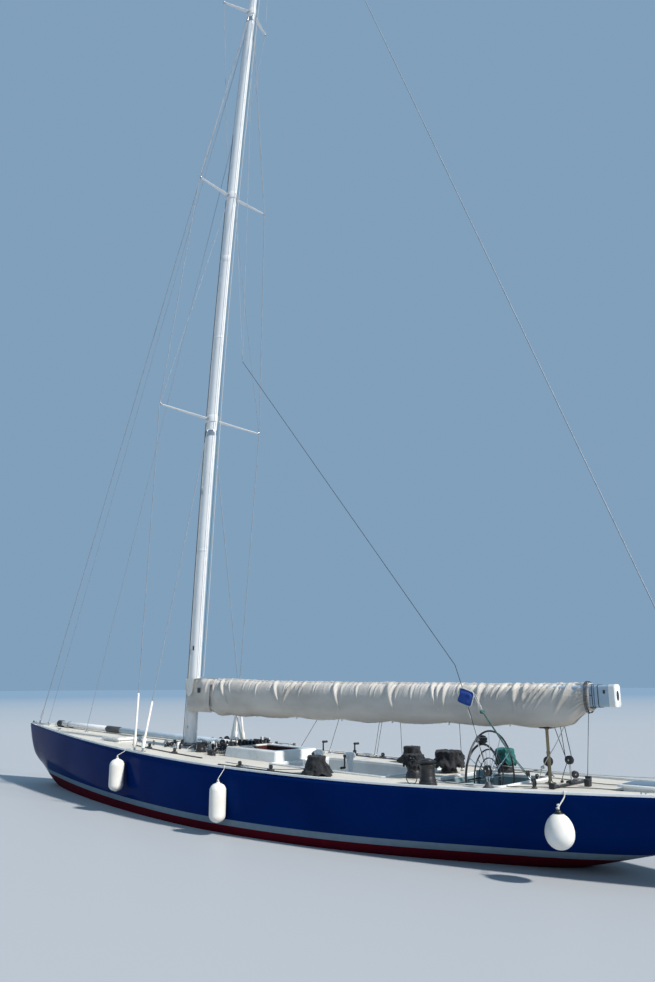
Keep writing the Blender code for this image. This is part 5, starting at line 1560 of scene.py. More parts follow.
# Cockpits: piece, frame node, inner x from and to, half width, floor, finish
WELLS = (
    ("crew_well", "crew_cockpit_liner", -4.15, -1.48, 0.80, 0.50, COCKPIT),
    ("helm_well", "helm_cockpit_liner", -6.32, -4.98, 0.775, 0.285, HELM_GREY),
)
WELL_WALL = 0.020
WELL_CORNER = 0.030
WELL_FLANGE = 0.054
WELL_LIP = 0.024
SLAT_PITCH = 0.075
PIT_RIM = 0.20
PIT_FLOOR_Z = 0.42
FENDER_END = 0.85
POLE_RADIUS = 0.070
POLE_END_RADIUS = 0.085


def spokes(piece, centre, count, offset, hub_end, rim_radius, sides):
    """Tapered spokes from a wheel's hub to its rim."""
    for a in turns(count, offset):
        out = Vector((0, math.cos(a), math.sin(a)))
        piece.tube([centre + out * 0.048, centre + out * hub_end, centre + out * rim_radius],
                   [0.0075, 0.006, 0.0052], CHROME, sides)


def make_wheels():
    """The steering wheel with its stitched rim, and the smaller trim wheel."""
    centre = Vector((WHEEL_X, 0, WHEEL_Z))
    wheel = Piece("helm_wheel")
    wheel.hoop(centre, AHEAD, WHEEL_RADIUS - 0.001, 0.0145, BLACK, STITCHES, 14)
    for a in turns(STITCHES, 0.5):
        out = Vector((0, math.cos(a), math.sin(a)))
        spot = centre + out * (WHEEL_RADIUS - 0.0155)
        along = Vector((0, -math.sin(a), math.cos(a)))
        wheel.tube([spot + Vector((-0.007, 0, 0)) - along * 0.004, spot - out * 0.0016,
                    spot + Vector((0.007, 0, 0)) + along * 0.004], 0.0009, WHITE_ROPE, 4)
    spokes(wheel, centre, 12, 0, 0.15, WHEEL_RADIUS - 0.012, 12)
    wheel.lathe(((0.019, -0.017), (0.045, -0.017), (0.058, -0.012), (0.060, -0.006), (0.060, 0.010),
                 (0.056, 0.0165), (0.019, 0.0165)), centre, CHROME, AHEAD, 40)
    for a in turns(6, 0.5):
        out = Vector((0, math.cos(a), math.sin(a)))
        wheel.lathe(((0.006, 0), (0.006, 0.004), (0.003, 0.006)),
                    centre + out * 0.037 + Vector((-0.017, 0, 0)), STEEL, ASTERN, 6)
    wheel.done("steering_wheel", replaces=("steering_wheel",))

    centre = Vector((TRIM_X, 0, WHEEL_Z))
    trim = Piece("tab_wheel")
    trim.hoop(centre, AHEAD, TRIM_RADIUS, 0.0120, BLACK, 96, 12)
    trim.hoop(centre, AHEAD, 0.300, 0.0095, BLACK, 80, 12)
    spokes(trim, centre, 10, 0.25, 0.12, TRIM_RADIUS - 0.009, 10)
    trim.lathe(((0.019, -0.0165), (0.056, -0.0165), (0.060, -0.010), (0.060, 0.010), (0.056, 0.0165),
                (0.019, 0.0165)), centre, CHROME, AHEAD, 40)
    trim.done("trim_wheel", replaces=("trim_wheel",))


def case_rings(floor_z):
    """Rings of the binnacle's case, from the floor up to its eased top."""
    back, fore, top_z, r = CASE_BACK, CASE_BACK + 0.18, CASE_TOP_Z, 0.028
    # Height, half width, push forward
    levels = ((floor_z, 0.130, 0.04), (floor_z + 0.04, 0.128, 0.037), (floor_z + 0.14, 0.106, 0.014),
              (floor_z + 0.28, 0.091, 0.001), (floor_z + 0.50, 0.090, 0.0), (top_z - 0.05, 0.090, 0.0),
              (top_z - 0.010, 0.086, -0.004), (top_z, 0.076, -0.014))
    rings = []
    for z, half, push in levels:
        ring = []
        for quarter, (sx, sy) in enumerate(QUARTERS):
            ease = 0.010 if z > top_z - 0.005 else 0.0
            cx = (fore + push - r) if sx > 0 else (back + ease + r)
            for step in range(7):
                a = 0.5 * math.pi * (quarter + step / 6)
                ring.append(Vector((cx + r * math.cos(a), sy * (half - r) + r * math.sin(a), z)))
        rings.append(ring)
    return rings


def make_binnacle():
    """The steering column: its case, the guard arch round it and the engine lever."""
    floor_z = corners("binnacle")[0].z
    back = CASE_BACK
    stand = Piece("binnacle_case")
    stand.skin(case_rings(floor_z), HELM_GREY)
    stand.block((back - 0.004, -0.07, 0.55), (back + 0.002, 0.07, 0.85), HELM_GREY, edge=0.002)
    for y in (-0.06, 0.06):
        for z in (0.565, 0.835):
            stand.lathe(((0.005, 0), (0.005, 0.0025), (0.002, 0.004)), (back - 0.004, y, z), STEEL, ASTERN, 8)
    stand.lathe(((0.0178, 0), (0.0178, 0.10)), (WHEEL_X - 0.040, 0, WHEEL_Z), STEEL, AHEAD, 24)
    stand.lathe(((0.008, -0.023), (0.026, -0.021), (0.033, -0.015), (0.034, -0.004), (0.034, -0.001)),
                (WHEEL_X - 0.0178, 0, WHEEL_Z), CHROME, AHEAD, 32)
    # Guard arch over the wheels, its brace, feet and compass shelf
    arch = [Vector((ARCH_X, ARCH_RADIUS, floor_z + 0.003))]
    for a in [math.pi * k / 40 for k in range(41)]:
        arch.append(Vector((ARCH_X, ARCH_RADIUS * math.cos(a), WHEEL_Z + ARCH_RADIUS * math.sin(a))))
    arch.append(Vector((ARCH_X, -ARCH_RADIUS, floor_z + 0.003)))
    stand.tube(arch, 0.0172, BLACK, 16)
    stand.tube([(ARCH_X, -ARCH_RADIUS, WHEEL_Z), (ARCH_X, ARCH_RADIUS, WHEEL_Z)], 0.0135, BLACK, 14)
    for y in (-ARCH_RADIUS, ARCH_RADIUS):
        stand.lathe(((0.040, 0), (0.040, 0.006), (0.024, 0.010), (0.022, 0.026), (0.018, 0.028)),
                    (ARCH_X, y, floor_z), STEEL, sides=28)
        for a in turns(4, 0.5):
            stand.lathe(((0.005, 0), (0.005, 0.003), (0.003, 0.004)),
                        (ARCH_X + 0.031 * math.cos(a), y + 0.031 * math.sin(a), floor_z + 0.006), STEEL,
                        sides=8)
        stand.lathe(barrel(0.024, 0.018, 0.026, 0.012), (ARCH_X, y, WHEEL_Z), STEEL, sides=28)
    top = WHEEL_Z + ARCH_RADIUS + 0.032
    stand.lathe(((0.030, top - 0.034), (0.066, top - 0.016), (0.070, top - 0.012), (0.070, top - 0.002),
                 (0.068, top)), (ARCH_X, 0, 0), BLACK, sides=36)
    # Throttle lever on the port side
    stand.lathe(((0.028, 0), (0.028, 0.012), (0.020, 0.018)), (back + 0.10, 0.088, 0.86), STEEL, ACROSS, 24)
    lever = [(back + 0.10, 0.104, 0.86), (back + 0.09, 0.112, 0.91), (back + 0.08, 0.112, 0.98)]
    stand.tube(curve_through(lever, 4), 0.006, STEEL)
    stand.lathe(((0.004, -0.012), (0.014, -0.004), (0.014, 0.006), (0.004, 0.014)),
                (back + 0.08, 0.112, 0.99), RUBBER, UPWARD, 16)
    stand.done(replaces=("binnacle",))


def make_compass():
    low, high = corners("compass")
    spot = Vector(((low.x + high.x) / 2, 0, low.z))
    card = Piece("steering_compass")
    card.lathe(((0.094, 0), (0.094, 0.014), (0.086, 0.018), (0.086, 0.024), (0.093, 0.028), (0.094, 0.064),
                (0.090, 0.070), (0.084, 0.072)), spot, BLACK, sides=48)
    dome = [(0.083 * math.cos(a), 0.070 + 0.044 * math.sin(a))
            for a in [0.5 * math.pi * k / 12 for k in range(12)]]
    card.lathe([(0.084, 0.068)] + dome + [(0.002, 0.1145)], spot, GLASS, sides=48)
    card.hoop(spot + Vector((0, 0, 0.073)), UPWARD, 0.086, 0.004, STEEL, 48, 8)
    for y in (-0.088, 0.088):
        card.block(spot + Vector((-0.02, y - 0.006, 0.024)), spot + Vector((0.02, y + 0.006, 0.062)), STEEL,
                   edge=0.003)
    card.done(replaces=("compass",))


def soft_rect(box, inset, r, z_of, steps=5):
    """Rounded rectangle in plan, set in from a box of x0, x1, y0, y1; its height follows x."""
    x0, x1, y0, y1 = box
    x0, x1, y0, y1 = x0 + inset, x1 - inset, y0 + inset, y1 - inset
    ring = []
    for quarter, (cx, cy) in enumerate(((x1 - r, y1 - r), (x0 + r, y1 - r), (x0 + r, y0 + r),
                                        (x1 - r, y0 + r))):
        for step in range(steps + 1):
            a = 0.5 * math.pi * (quarter + step / steps)
            x = cx + r * math.cos(a)
            ring.append(Vector((x, cy + r * math.sin(a), z_of(x))))
    return ring


def level(z):
    """The same height everywhere."""
    return lambda x: z


def on_deck(up):
    """A height above the deck."""
    return lambda x: sheer(x) + up


def make_wells():
    """Liners of the two cockpits."""
    for name, node_name, x0, x1, half, floor_z, finish in WELLS:
        bottom = corners(node_name)[0].z
        box = (x0, x1, -half, half)
        r = WELL_CORNER
        # Inset, corner radius, height, finish
        rows = ((-WELL_WALL, r + WELL_WALL, level(bottom), finish),
                (-WELL_WALL, r + WELL_WALL, on_deck(-0.035), finish),
                (-WELL_WALL, r + WELL_WALL, on_deck(SEAT), finish),
                (-WELL_FLANGE, r + WELL_FLANGE, on_deck(SEAT), WHITE),
                (-WELL_FLANGE, r + WELL_FLANGE, on_deck(WELL_LIP * 0.55), WHITE),
                (0.008 - WELL_FLANGE, r + WELL_FLANGE - 0.008, on_deck(WELL_LIP), WHITE),
                (-0.010, r + 0.010, on_deck(WELL_LIP), WHITE),
                (0.0, r, on_deck(WELL_LIP * 0.55), WHITE),
                (0.0, r, on_deck(-0.030), WHITE),
                (0.0, r, level(floor_z + 0.05), finish),
                (0.008, r, level(floor_z + 0.012), finish),
                (0.03, r, level(floor_z), finish))
        well = Piece(name)
        rings = [(soft_rect(box, inset, corner, z_of), paint) for inset, corner, z_of, paint in rows]
        well.stack(rings)
        well.cap(rings[0][0], finish)
        well.cap(rings[-1][0], finish)
        mesh = well.mesh()
        weld(mesh, 0.00005)
        mesh.shade_smooth()
        mesh.set_sharp_from_angle(angle=math.radians(40))
        made = placed(name, mesh)
        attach(made, "root")
        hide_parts(node_name)


def make_well_gear():
    """Slatted soles, lockers and a drain in the cockpits."""
    sole = Piece("well_gratings")
    for x0, x1, half, floor_z in ((-4.05, -1.58, 0.70, 0.50), (-6.27, -5.80, 0.70, 0.285)):
        for x in spaced(x0, x1, int((x1 - x0) / SLAT_PITCH)):
            at_post = any(abs(x - post) < 0.17 for post in GRINDER_XS)
            runs = ((-half, -0.16), (0.16, half)) if at_post else ((-half, half),)
            for y0, y1 in runs:
                sole.block((x - 0.022, y0, floor_z + 0.0005), (x + 0.022, y1, floor_z + 0.022), COCKPIT,
                           edge=0.003)
    sole.done()
    box = Piece("well_lockers")
    for side in (1, -1):
        y0, y1 = sorted((side * 0.55, side * 0.7995))
        box.block((-4.05, y0, 0.5225), (-3.30, y1, 0.74), COCKPIT, edge=0.012)
        box.block((-4.04, y0 + 0.01, 0.74), (-3.31, y1 - 0.01, 0.752), WHITE, edge=0.005)
        box.lathe(((0.016, 0), (0.016, 0.004), (0.010, 0.006)), (-3.67, side * 0.55, 0.66), STEEL,
                  (0, -side, 0), 16)
    box.lathe(((0.020, 0), (0.020, 0.003), (0.014, 0.004), (0.001, 0.004)), (-3.0, -0.7995, 0.72), BLACK,
              ACROSS, 20)
    box.done()


def make_pit():
    """The halyard pit: a low white coaming, maroon inside."""
    bottom = corners("halyard_pit_trunk")[0].z
    x0, x1, half = -1.38, 0.13, 0.60
    outer = (x0, x1, -half, half)
    inner = (-1.20, -0.05, -0.42, 0.42)
    r = 0.05

    def drawn(aft, fore, side):
        """The outer box with its ends and sides drawn in."""
        return x0 + aft, x1 - fore, -half + side, half - side

    # Box, inset, corner radius, height, finish
    rows = ((inner, -0.02, 0.05, level(bottom), MAROON),
            (inner, -0.02, 0.05, on_deck(SEAT), MAROON),
            (outer, 0.0, r, on_deck(SEAT), WHITE),
            (drawn(0.020, 0.030, 0.020), 0.0, r, on_deck(PIT_RIM - 0.022), WHITE),
            (drawn(0.026, 0.038, 0.026), 0.0, r, on_deck(PIT_RIM - 0.008), WHITE),
            (drawn(0.042, 0.056, 0.042), 0.0, r * 0.8, on_deck(PIT_RIM), WHITE),
            (inner, -0.012, 0.04, on_deck(PIT_RIM), WHITE),
            (inner, 0.0, 0.03, on_deck(PIT_RIM - 0.010), WHITE),
            (inner, 0.0, 0.03, on_deck(PIT_RIM - 0.030), WHITE),
            (inner, 0.0, 0.03, level(PIT_FLOOR_Z + 0.03), MAROON),
            (inner, 0.02, 0.03, level(PIT_FLOOR_Z), MAROON))
    pit = Piece("pit_coaming")
    rings = [(soft_rect(box, inset, corner, z_of), paint) for box, inset, corner, z_of, paint in rows]
    pit.stack(rings)
    pit.cap(rings[0][0], MAROON)
    pit.cap(rings[-1][0], MAROON)
    # Grab bars on the side rims: x, height above the rim
    bar = ((-0.35, -0.004), (-0.36, 0.028), (-0.50, 0.030), (-0.64, 0.028), (-0.65, -0.004))
    for y in (-0.5, 0.5):
        spots = [(x, y, sheer(x) + PIT_RIM + up) for x, up in bar]
        pit.tube(curve_through(spots, 6), 0.008, STEEL, 10)
    pit.done(replaces=("halyard_pit_trunk",), angle=40)


def make_hatches():
    """Two deck hatches: a coaming with a rubber seal, and a lid that turns up."""
    for name, wall, panel_finish in (("fore_hatch", 0.030, NON_SLIP), ("aft_hatch", 0.028, GLASS)):
        coaming = name + "_coaming"
        low, high = corners(coaming)
        box = (low.x, high.x, low.y, high.y)
        flange = 0.030
        # Inset, corner radius, height, finish
        rows = ((flange, 0.03, level(low.z), WHITE),
                (flange, 0.03, on_deck(SEAT), WHITE),
                (0.0, 0.05, on_deck(SEAT), WHITE),
                (0.0, 0.05, on_deck(0.006), WHITE),
                (flange, 0.03, on_deck(0.012), WHITE),
                (flange + 0.004, 0.03, level(high.z - 0.006), WHITE),
                (flange + 0.008, 0.03, level(high.z), RUBBER),
                (flange + wall, 0.02, level(high.z), RUBBER),
                (flange + wall, 0.02, level(low.z), WHITE))
        frame_piece = Piece(name + "_frame")
        rings = [(soft_rect(box, inset, corner, z_of), paint) for inset, corner, z_of, paint in rows]
        frame_piece.stack(rings)
        frame_piece.skin([rings[-1][0], rings[0][0]], WHITE, caps=False)
        frame_piece.done(replaces=(coaming,), angle=35)

        lid = name + "_lid"
        low, high = corners(lid)
        box = (low.x, high.x, low.y, high.y)
        lid_piece = Piece(name + "_cover")
        shell = ((0.02, 0.04, low.z), (0.003, 0.05, low.z), (0.0, 0.05, low.z + 0.004),
                 (0.0, 0.05, high.z - 0.018), (0.005, 0.048, high.z - 0.010), (0.020, 0.045, high.z - 0.006))
        panel = ((0.055, 0.03, high.z - 0.006), (0.055, 0.03, high.z - 0.001), (0.065, 0.025, high.z))
        for rows, finish in ((shell, WHITE), (panel, panel_finish)):
            lid_piece.skin([soft_rect(box, inset, corner, level(z)) for inset, corner, z in rows], finish)
        middle_y = (low.y + high.y) / 2
        for y in (middle_y - 0.16, middle_y + 0.16):
            lid_piece.block((low.x + 0.006, y - 0.022, high.z - 0.010),
                            (low.x + 0.050, y + 0.022, high.z - 0.001), STEEL, edge=0.003)
        lid_piece.done(lid, replaces=(lid,), angle=35)


def knot(piece, spot, size, finish, seed=1):
    """A round lump of a few turns of line."""
    rng = random.Random(seed)
    spot = Vector(spot)
    spots = []
    for k in range(46):
        a = 2 * math.pi * k / 15
        b = 2 * math.pi * k / 46
        r = size * (0.85 + 0.15 * rng.random())
        z = r * math.cos(a) * math.sin(b) + size * 0.25 * math.sin(b * 2)
        spots.append(spot + Vector((r * math.cos(a) * math.cos(b), r * math.sin(a) * 0.9, z)))
    piece.tube(spots, size * 0.34, finish, 6)


def make_long_fender(node_name, name, hang):
    """A long fender with an eye at its head, and its line made fast to a cleat on the deck."""
    low, high = corners(node_name)
    x = (low.x + high.x) / 2
    r = (high.x - low.x) / 2
    edge_z = sheer(x)
    length = edge_z - hang - low.z
    quarter = [0.5 * math.pi * k / 12 for k in range(1, 13)]
    ends = [(r * math.sin(a) ** 0.9, r * FENDER_END * (1 - math.cos(a))) for a in quarter]
    profile = [(0.012, 0.0)] + ends + [(wide, length - up) for wide, up in reversed(ends)] + [(0.020, length)]
    fender = Piece(name)
    foot = Vector((x, high.y - r, low.z))
    fender.lathe(profile, foot, VINYL, sides=56)
    # Moulded seam and the two end eyes
    fender.lathe(((0.034, length - 0.012), (0.034, length + 0.010), (0.026, length + 0.018),
                  (0.020, length + 0.018)), foot, VINYL, sides=28)
    fender.hoop(foot + Vector((0, 0, length + 0.026)), ACROSS, 0.018, 0.008, VINYL, 28, 10)
    fender.lathe(((0.030, -0.004), (0.032, 0.006), (0.030, 0.016)), foot, VINYL, sides=24)
    fender.done(replaces=(node_name,), angle=60)
    line = Piece(name + "_lanyard")
    eye = foot + Vector((0, 0, length + 0.040))
    rail_y = half_breadth(x)
    rail_z = edge_z + RAIL_HEIGHT
    over = [eye, eye + Vector((0.01, -0.01, 0.03)), (x + 0.02, rail_y + 0.010, edge_z - 0.01),
            (x + 0.03, rail_y + 0.006, rail_z - 0.006), (x + 0.035, rail_y - 0.012, rail_z + 0.007),
            (x + 0.04, rail_y - 0.045, rail_z - 0.010), (x + 0.05, rail_y - 0.075, edge_z + 0.010)]
    line.tube(curve_through(over, 6), 0.0065, WHITE_ROPE)
    knot(line, eye + Vector((0.002, 0, 0.004)), 0.016, WHITE_ROPE, 3)
    knot(line, (x + 0.05, rail_y - 0.080, edge_z + 0.016), 0.016, WHITE_ROPE, 4)
    # Small cleat that the line is made fast to
    y = rail_y - 0.09
    line.block((x - 0.02, y - 0.010, edge_z + SEAT), (x + 0.10, y + 0.010, edge_z + 0.012), STEEL, edge=0.004)
    horns = [(x - 0.045, y, edge_z + 0.030), (x + 0.04, y, edge_z + 0.026), (x + 0.125, y, edge_z + 0.030)]
    line.tube(horns, [0.004, 0.008, 0.004], STEEL, 10)
    for dx in (0.01, 0.07):
        line.lathe(((0.008, 0), (0.007, 0.022)), (x + dx, y, edge_z + 0.006), STEEL, sides=10)
    line.done()


def make_round_fender():
    """The pear-shaped fender near the stern, hung by a black neck."""
    low, high = corners("fender_aft")
    x = (low.x + high.x) / 2
    r = (high.x - low.x) / 2
    foot = Vector((x, high.y - r, low.z + 0.025))
    r *= 0.965
    edge_z = sheer(x)
    length = edge_z - 0.165 - foot.z
    profile = [(0.02, 0.0)]
    for k in range(1, 30):
        t = k / 30
        a = math.pi * t
        radius = r * math.sin(a) ** 0.92 * (1 - 0.26 * (t - 0.36) if t > 0.36 else 1.0)
        profile.append((radius, length * 0.93 * (1 - math.cos(a)) / 2))
    profile.append((0.045, length * 0.925))
    buoy = Piece("round_fender")
    buoy.lathe(profile, foot, VINYL, sides=64)
    neck = length * 0.90
    buoy.lathe(((0.060, neck), (0.055, neck + 0.016), (0.040, neck + 0.020), (0.036, neck + 0.040),
                (0.028, neck + 0.048)), foot, BLACK, sides=32)
    buoy.done(replaces=("fender_aft",), angle=60)
    line = Piece("round_fender_lanyard")
    rail_y = half_breadth(x)
    rail_z = edge_z + RAIL_HEIGHT
    eye = foot + Vector((0, 0, length))
    over = [eye - Vector((0, 0, 0.012)), eye + Vector((0.01, -0.03, 0.03)),
            (x + 0.02, rail_y + 0.03, edge_z - 0.03),
            (x + 0.03, rail_y + 0.006, rail_z - 0.006), (x + 0.03, rail_y - 0.012, rail_z + 0.007),
            (x + 0.035, rail_y - 0.045, rail_z - 0.010), (x + 0.05, rail_y - 0.075, edge_z + 0.010)]
    line.tube(curve_through(over, 6), 0.0085, WHITE_ROPE)
    knot(line, eye + Vector((0.004, -0.004, 0.024)), 0.022, WHITE_ROPE, 6)
    knot(line, eye + Vector((0.006, -0.018, 0.060)), 0.018, WHITE_ROPE, 7)
    knot(line, (x + 0.05, rail_y - 0.085, edge_z + 0.018), 0.018, WHITE_ROPE, 8)
    line.done()


def make_pole():
    """The long pole on the starboard deck, with its jaws, chocks and lashings."""
    low, high = corners("spinnaker_pole")
    fore = Vector((8.05, -0.13, high.z - POLE_END_RADIUS))
    aft = Vector((1.20, -0.72, low.z + POLE_END_RADIUS))
    along = (aft - fore).normalized()
    total = (aft - fore).length
    side = Vector(UPWARD).cross(along).normalized()
    pole = Piece("reaching_pole")
    # Stretches: start, end, radius, finish
    for start, end, radius, finish in ((0.0, 0.20, POLE_END_RADIUS, BLACK), (0.20, 2.15, POLE_RADIUS, SPAR),
                                       (2.15, 2.70, POLE_RADIUS + 0.010, DARK_GREY),
                                       (2.70, 6.20, POLE_RADIUS, LIGHT_BLUE_GREY),
                                       (6.20, total - 0.22, POLE_RADIUS + 0.001, SPAR),
                                       (total - 0.22, total, POLE_END_RADIUS, BLACK)):
        pole.lathe(((radius * 0.9, start), (radius, start + 0.008), (radius, end - 0.008),
                    (radius * 0.9, end)), fore, finish, along, 40)
    # Jaws at both ends
    for end, sign in ((fore, -1), (aft, 1)):
        for turn in (-1, 1):
            spots = [end + along * sign * d + side * turn * w for d, w in ((-0.02, 0.045), (0.0, 0.05))]
            pole.tube(spots, 0.012, STEEL, 10)
    pole.done(replaces=("spinnaker_pole",), angle=45)
    chocks = Piece("pole_chocks")
    grip = POLE_RADIUS + 0.004
    for s in (0.5, 3.4, total - 0.5):
        spot = fore + along * s
        base = sheer(spot.x)
        top = max(spot.z - grip, base + 0.008)
        chocks.block((spot.x - 0.04, spot.y - 0.10, base + 0.0005), (spot.x + 0.04, spot.y + 0.10, top),
                     DARK_GREY, edge=0.003)
        strap = [Vector((spot.x, spot.y + grip, base + 0.006))]
        for a in [math.pi * k / 16 for k in range(17)]:
            strap.append(Vector((spot.x, spot.y + grip * math.cos(a), spot.z + grip * math.sin(a))))
        strap.append(Vector((spot.x, spot.y - grip, base + 0.006)))
        chocks.tube(strap, 0.005, DARK_ROPE, 8)
    chocks.done()


make_winches()
make_grinders()
make_wheels()
make_binnacle()
make_compass()
make_wells()
make_well_gear()
make_pit()
make_hatches()
make_long_fender("fender_fore", "fender_one", 0.15)
make_long_fender("fender_middle", "fender_two", 0.23)
make_round_fender()
make_pole()


# Rigging and deck fittings

MAST_TIP_Z = MAST_TOP - 0.12
HOUNDS_Z = 19.85
LOWER_SHROUD_X = 1.80
CAP_SHROUD_X = 2.10
INNER_STAY_X = 6.40
TRACK_X = -7.05
# Radii of wires and lines
WIRE = 0.0085
THIN = 0.0055
LINE = 0.0065
# Profiles of bolt heads
BOLT = ((0.010, 0), (0.010, 0.006), (0.006, 0.009))
SMALL_BOLT = ((0.009, 0), (0.009, 0.006), (0.005, 0.009))
# Lines from the boom to the deck: x at the boom, x and y of the eye
BOOM_LINES = (
    (-1.93, 0.08, -1.55),
    (-2.46, -0.84, -1.50),
    (-3.44, -2.00, -1.60),
    (-3.50, -2.06, -1.60),
    (-3.90, -2.70, -1.62),
    (-5.13, -4.60, -0.86),
)
# Turning blocks round the mast's foot: x, y, size, height
FOOT_BLOCKS = (
    (2.55, -0.20, 0.07, 0.11), (2.62, 0.22, 0.06, 0.10), (1.50, 0.24, 0.075, 0.12),
    (1.30, -0.36, 0.07, 0.12), (0.80, -0.66, 0.07, 0.10), (0.74, -1.28, 0.075, 0.12),
    (2.30, 0.40, 0.06, 0.10), (2.30, -0.42, 0.06, 0.10), (0.30, 0.72, 0.055, 0.09),
)
# Mooring cleats: x, distance from the deck's edge
MOORING_CLEATS = ((7.10, 0.22), (-1.75, 0.15), (-8.35, 0.20), (-6.98, 0.70))


def fore_face(z, off=0.010):
    """A point off the mast's fore face."""
    return Vector((mast_x(z) + mast_long(z) + off, 0, z))


def turnbuckle(piece, foot, top, radius=0.024):
    """A bottle screw between a fork at its foot and the swage of the wire above it."""
    foot, top = Vector(foot), Vector(top)
    along = (top - foot).normalized()
    length = (top - foot).length
    # Share of the radius, distance from the foot; then the same from the top
    lower = ((0.75, 0.0), (0.95, 0.004), (0.95, 0.050), (0.40, 0.056), (0.40, 0.085), (0.80, 0.090),
             (1.0, 0.105))
    upper = ((1.0, 0.125), (0.80, 0.110), (0.45, 0.105), (0.45, 0.075), (0.62, 0.070), (0.62, 0.010),
             (0.35, 0.0))
    rows = [(radius * share, up) for share, up in lower] + [(radius * share, length - up)
                                                            for share, up in upper]
    piece.lathe(rows, foot, STEEL, along, 20)
    piece.lathe(barrel(0.006, radius * 1.15, 0.010, radius * 1.10), foot + along * 0.028, STEEL, ACROSS, 12)


def make_stays():
    """Forestay, backstay and the shrouds, with their screws and deck plates."""
    for node_name, name, foot, head in (
            ("forestay", "head_stay", Vector((8.88, 0, corners("stem_fitting")[1].z + 0.001)),
             fore_face(20.0, 0.013)),
            ("backstay", "stern_stay", Vector((-9.38, 0, corners("stern_fitting")[1].z + 0.001)),
             mast_aft(MAST_TIP_Z, 0.013))):
        along = (head - foot).normalized()
        screw_top = foot + along * 0.42
        one = Piece(name)
        turnbuckle(one, foot, screw_top)
        one.tube([screw_top - along * 0.01, foot.lerp(head, 0.5), head], WIRE + 0.001, GREY_WIRE)
        one.lathe(((0.009, 0), (0.015, 0.01), (0.015, 0.16), (0.009, 0.18)), head - along * 0.20, STEEL,
                  along, 14)
        one.done(replaces=(node_name,), angle=50)
    for side_name, side in (("port", 1), ("starboard", -1)):
        low, high = corners("chainplate_" + side_name)
        y = (low.y + high.y) / 2
        seat = high.z
        plate = Piece("shroud_plate_" + side_name)
        plate.block((low.x, low.y, low.z + 0.0005), (high.x, high.y, low.z + 0.016), STEEL, edge=0.005)
        for x in (LOWER_SHROUD_X, CAP_SHROUD_X):
            plate.block((x - 0.035, y - 0.006, low.z + 0.014), (x + 0.035, y + 0.006, seat), STEEL,
                        edge=0.005)
            for dx in (-0.05, 0.05):
                for dy in (0.026, -0.026):
                    plate.lathe(BOLT, (x + dx, y + dy, low.z + 0.015), STEEL, sides=6)
        plate.done(replaces=("chainplate_" + side_name,))
        lower_tip = Vector((mast_x(LOWER_SPREADER_Z) - 0.02, side * 1.545, LOWER_SPREADER_Z + 0.03))
        upper_tip = Vector((mast_x(UPPER_SPREADER_Z) - 0.07, side * 1.085, UPPER_SPREADER_Z + 0.03))
        hounds = mast_side(HOUNDS_Z, side, 0.012)
        root = mast_side(8.45, side, 0.012)
        for node_name, name, x, points, tube_top in (
                ("cap_shroud_", "outer_shroud_", CAP_SHROUD_X, [lower_tip, upper_tip, hounds], 1.12),
                ("lower_shroud_", "inner_shroud_", LOWER_SHROUD_X, [root], 0.96)):
            foot = Vector((x, y, seat + 0.001))
            along = (points[0] - foot).normalized()
            one = Piece(name + side_name)
            # White tube over the screw, wider over its foot
            rows = ((0.034, 0.0), (0.040, 0.006), (0.041, 0.190), (0.030, 0.206), (0.0240, 0.225),
                    (0.0235, tube_top - 0.02), (0.018, tube_top - 0.004), (0.010, tube_top))
            one.lathe(rows, foot, VINYL, along, 24)
            one.tube([foot + along * (tube_top - 0.03)] + points, WIRE, GREY_WIRE)
            one.done(replaces=(node_name + side_name,), angle=50)


def make_mast_foot():
    """The mast's collar on the deck and the boom's hinge on the mast."""
    foot = corners("mast_collar")[0].z
    collar = Piece("mast_boot")
    # Foot ring on the deck and a boot over it: stand-off from the mast, height
    ring = ((0.040, 0.0), (0.045, 0.004), (0.045, 0.018), (0.038, 0.024))
    boot = ((0.038, 0.024), (0.030, 0.030), (0.026, 0.060), (0.018, 0.075), (0.006, 0.088))
    for part, finish in ((ring, STEEL), (boot, RUBBER)):
        collar.skin([mast_ring(foot + z, grow) for grow, z in part]
                    + [mast_ring(foot + z, 0.0012) for _, z in reversed(part)], finish, loop=True)
    # Two hose clips with a square section
    clip = ((-0.004, -0.002), (-0.004, 0.0015), (0.004, 0.0015), (0.004, -0.002))
    for z, grow in ((0.055, 0.0275), (0.076, 0.019)):
        collar.skin([mast_ring(foot + z + up, grow + out) for up, out in clip], STEEL, loop=True)
    collar.done(replaces=("mast_collar",))

    low, high = corners("gooseneck")
    hinge = Piece("boom_hinge")
    x = BOOM_PIN_X
    face = mast_x(GOOSENECK_Z) - mast_long(GOOSENECK_Z)
    hinge.block((face - 0.020, -0.055, low.z + 0.004), (face - 0.001, 0.055, high.z - 0.004), STEEL,
                edge=0.006)
    for z in (low.z + 0.022, high.z - 0.022):
        hinge.block((x - 0.036, -0.036, z - 0.012), (face - 0.010, 0.036, z + 0.012), STEEL, edge=0.008)
    down, up = low.z - GOOSENECK_Z, high.z - GOOSENECK_Z
    hinge.lathe(((0.012, down + 0.002), (0.016, down + 0.008), (0.0125, down + 0.012), (0.0125, up - 0.012),
                 (0.018, up - 0.008), (0.014, up - 0.001)), (x, 0, GOOSENECK_Z), STEEL, sides=20)
    for z in (low.z + 0.05, high.z - 0.05):
        for y in (-0.040, 0.040):
            hinge.lathe(SMALL_BOLT, (face - 0.019, y, z), STEEL, ASTERN, 6)
    hinge.done(replaces=("gooseneck",))


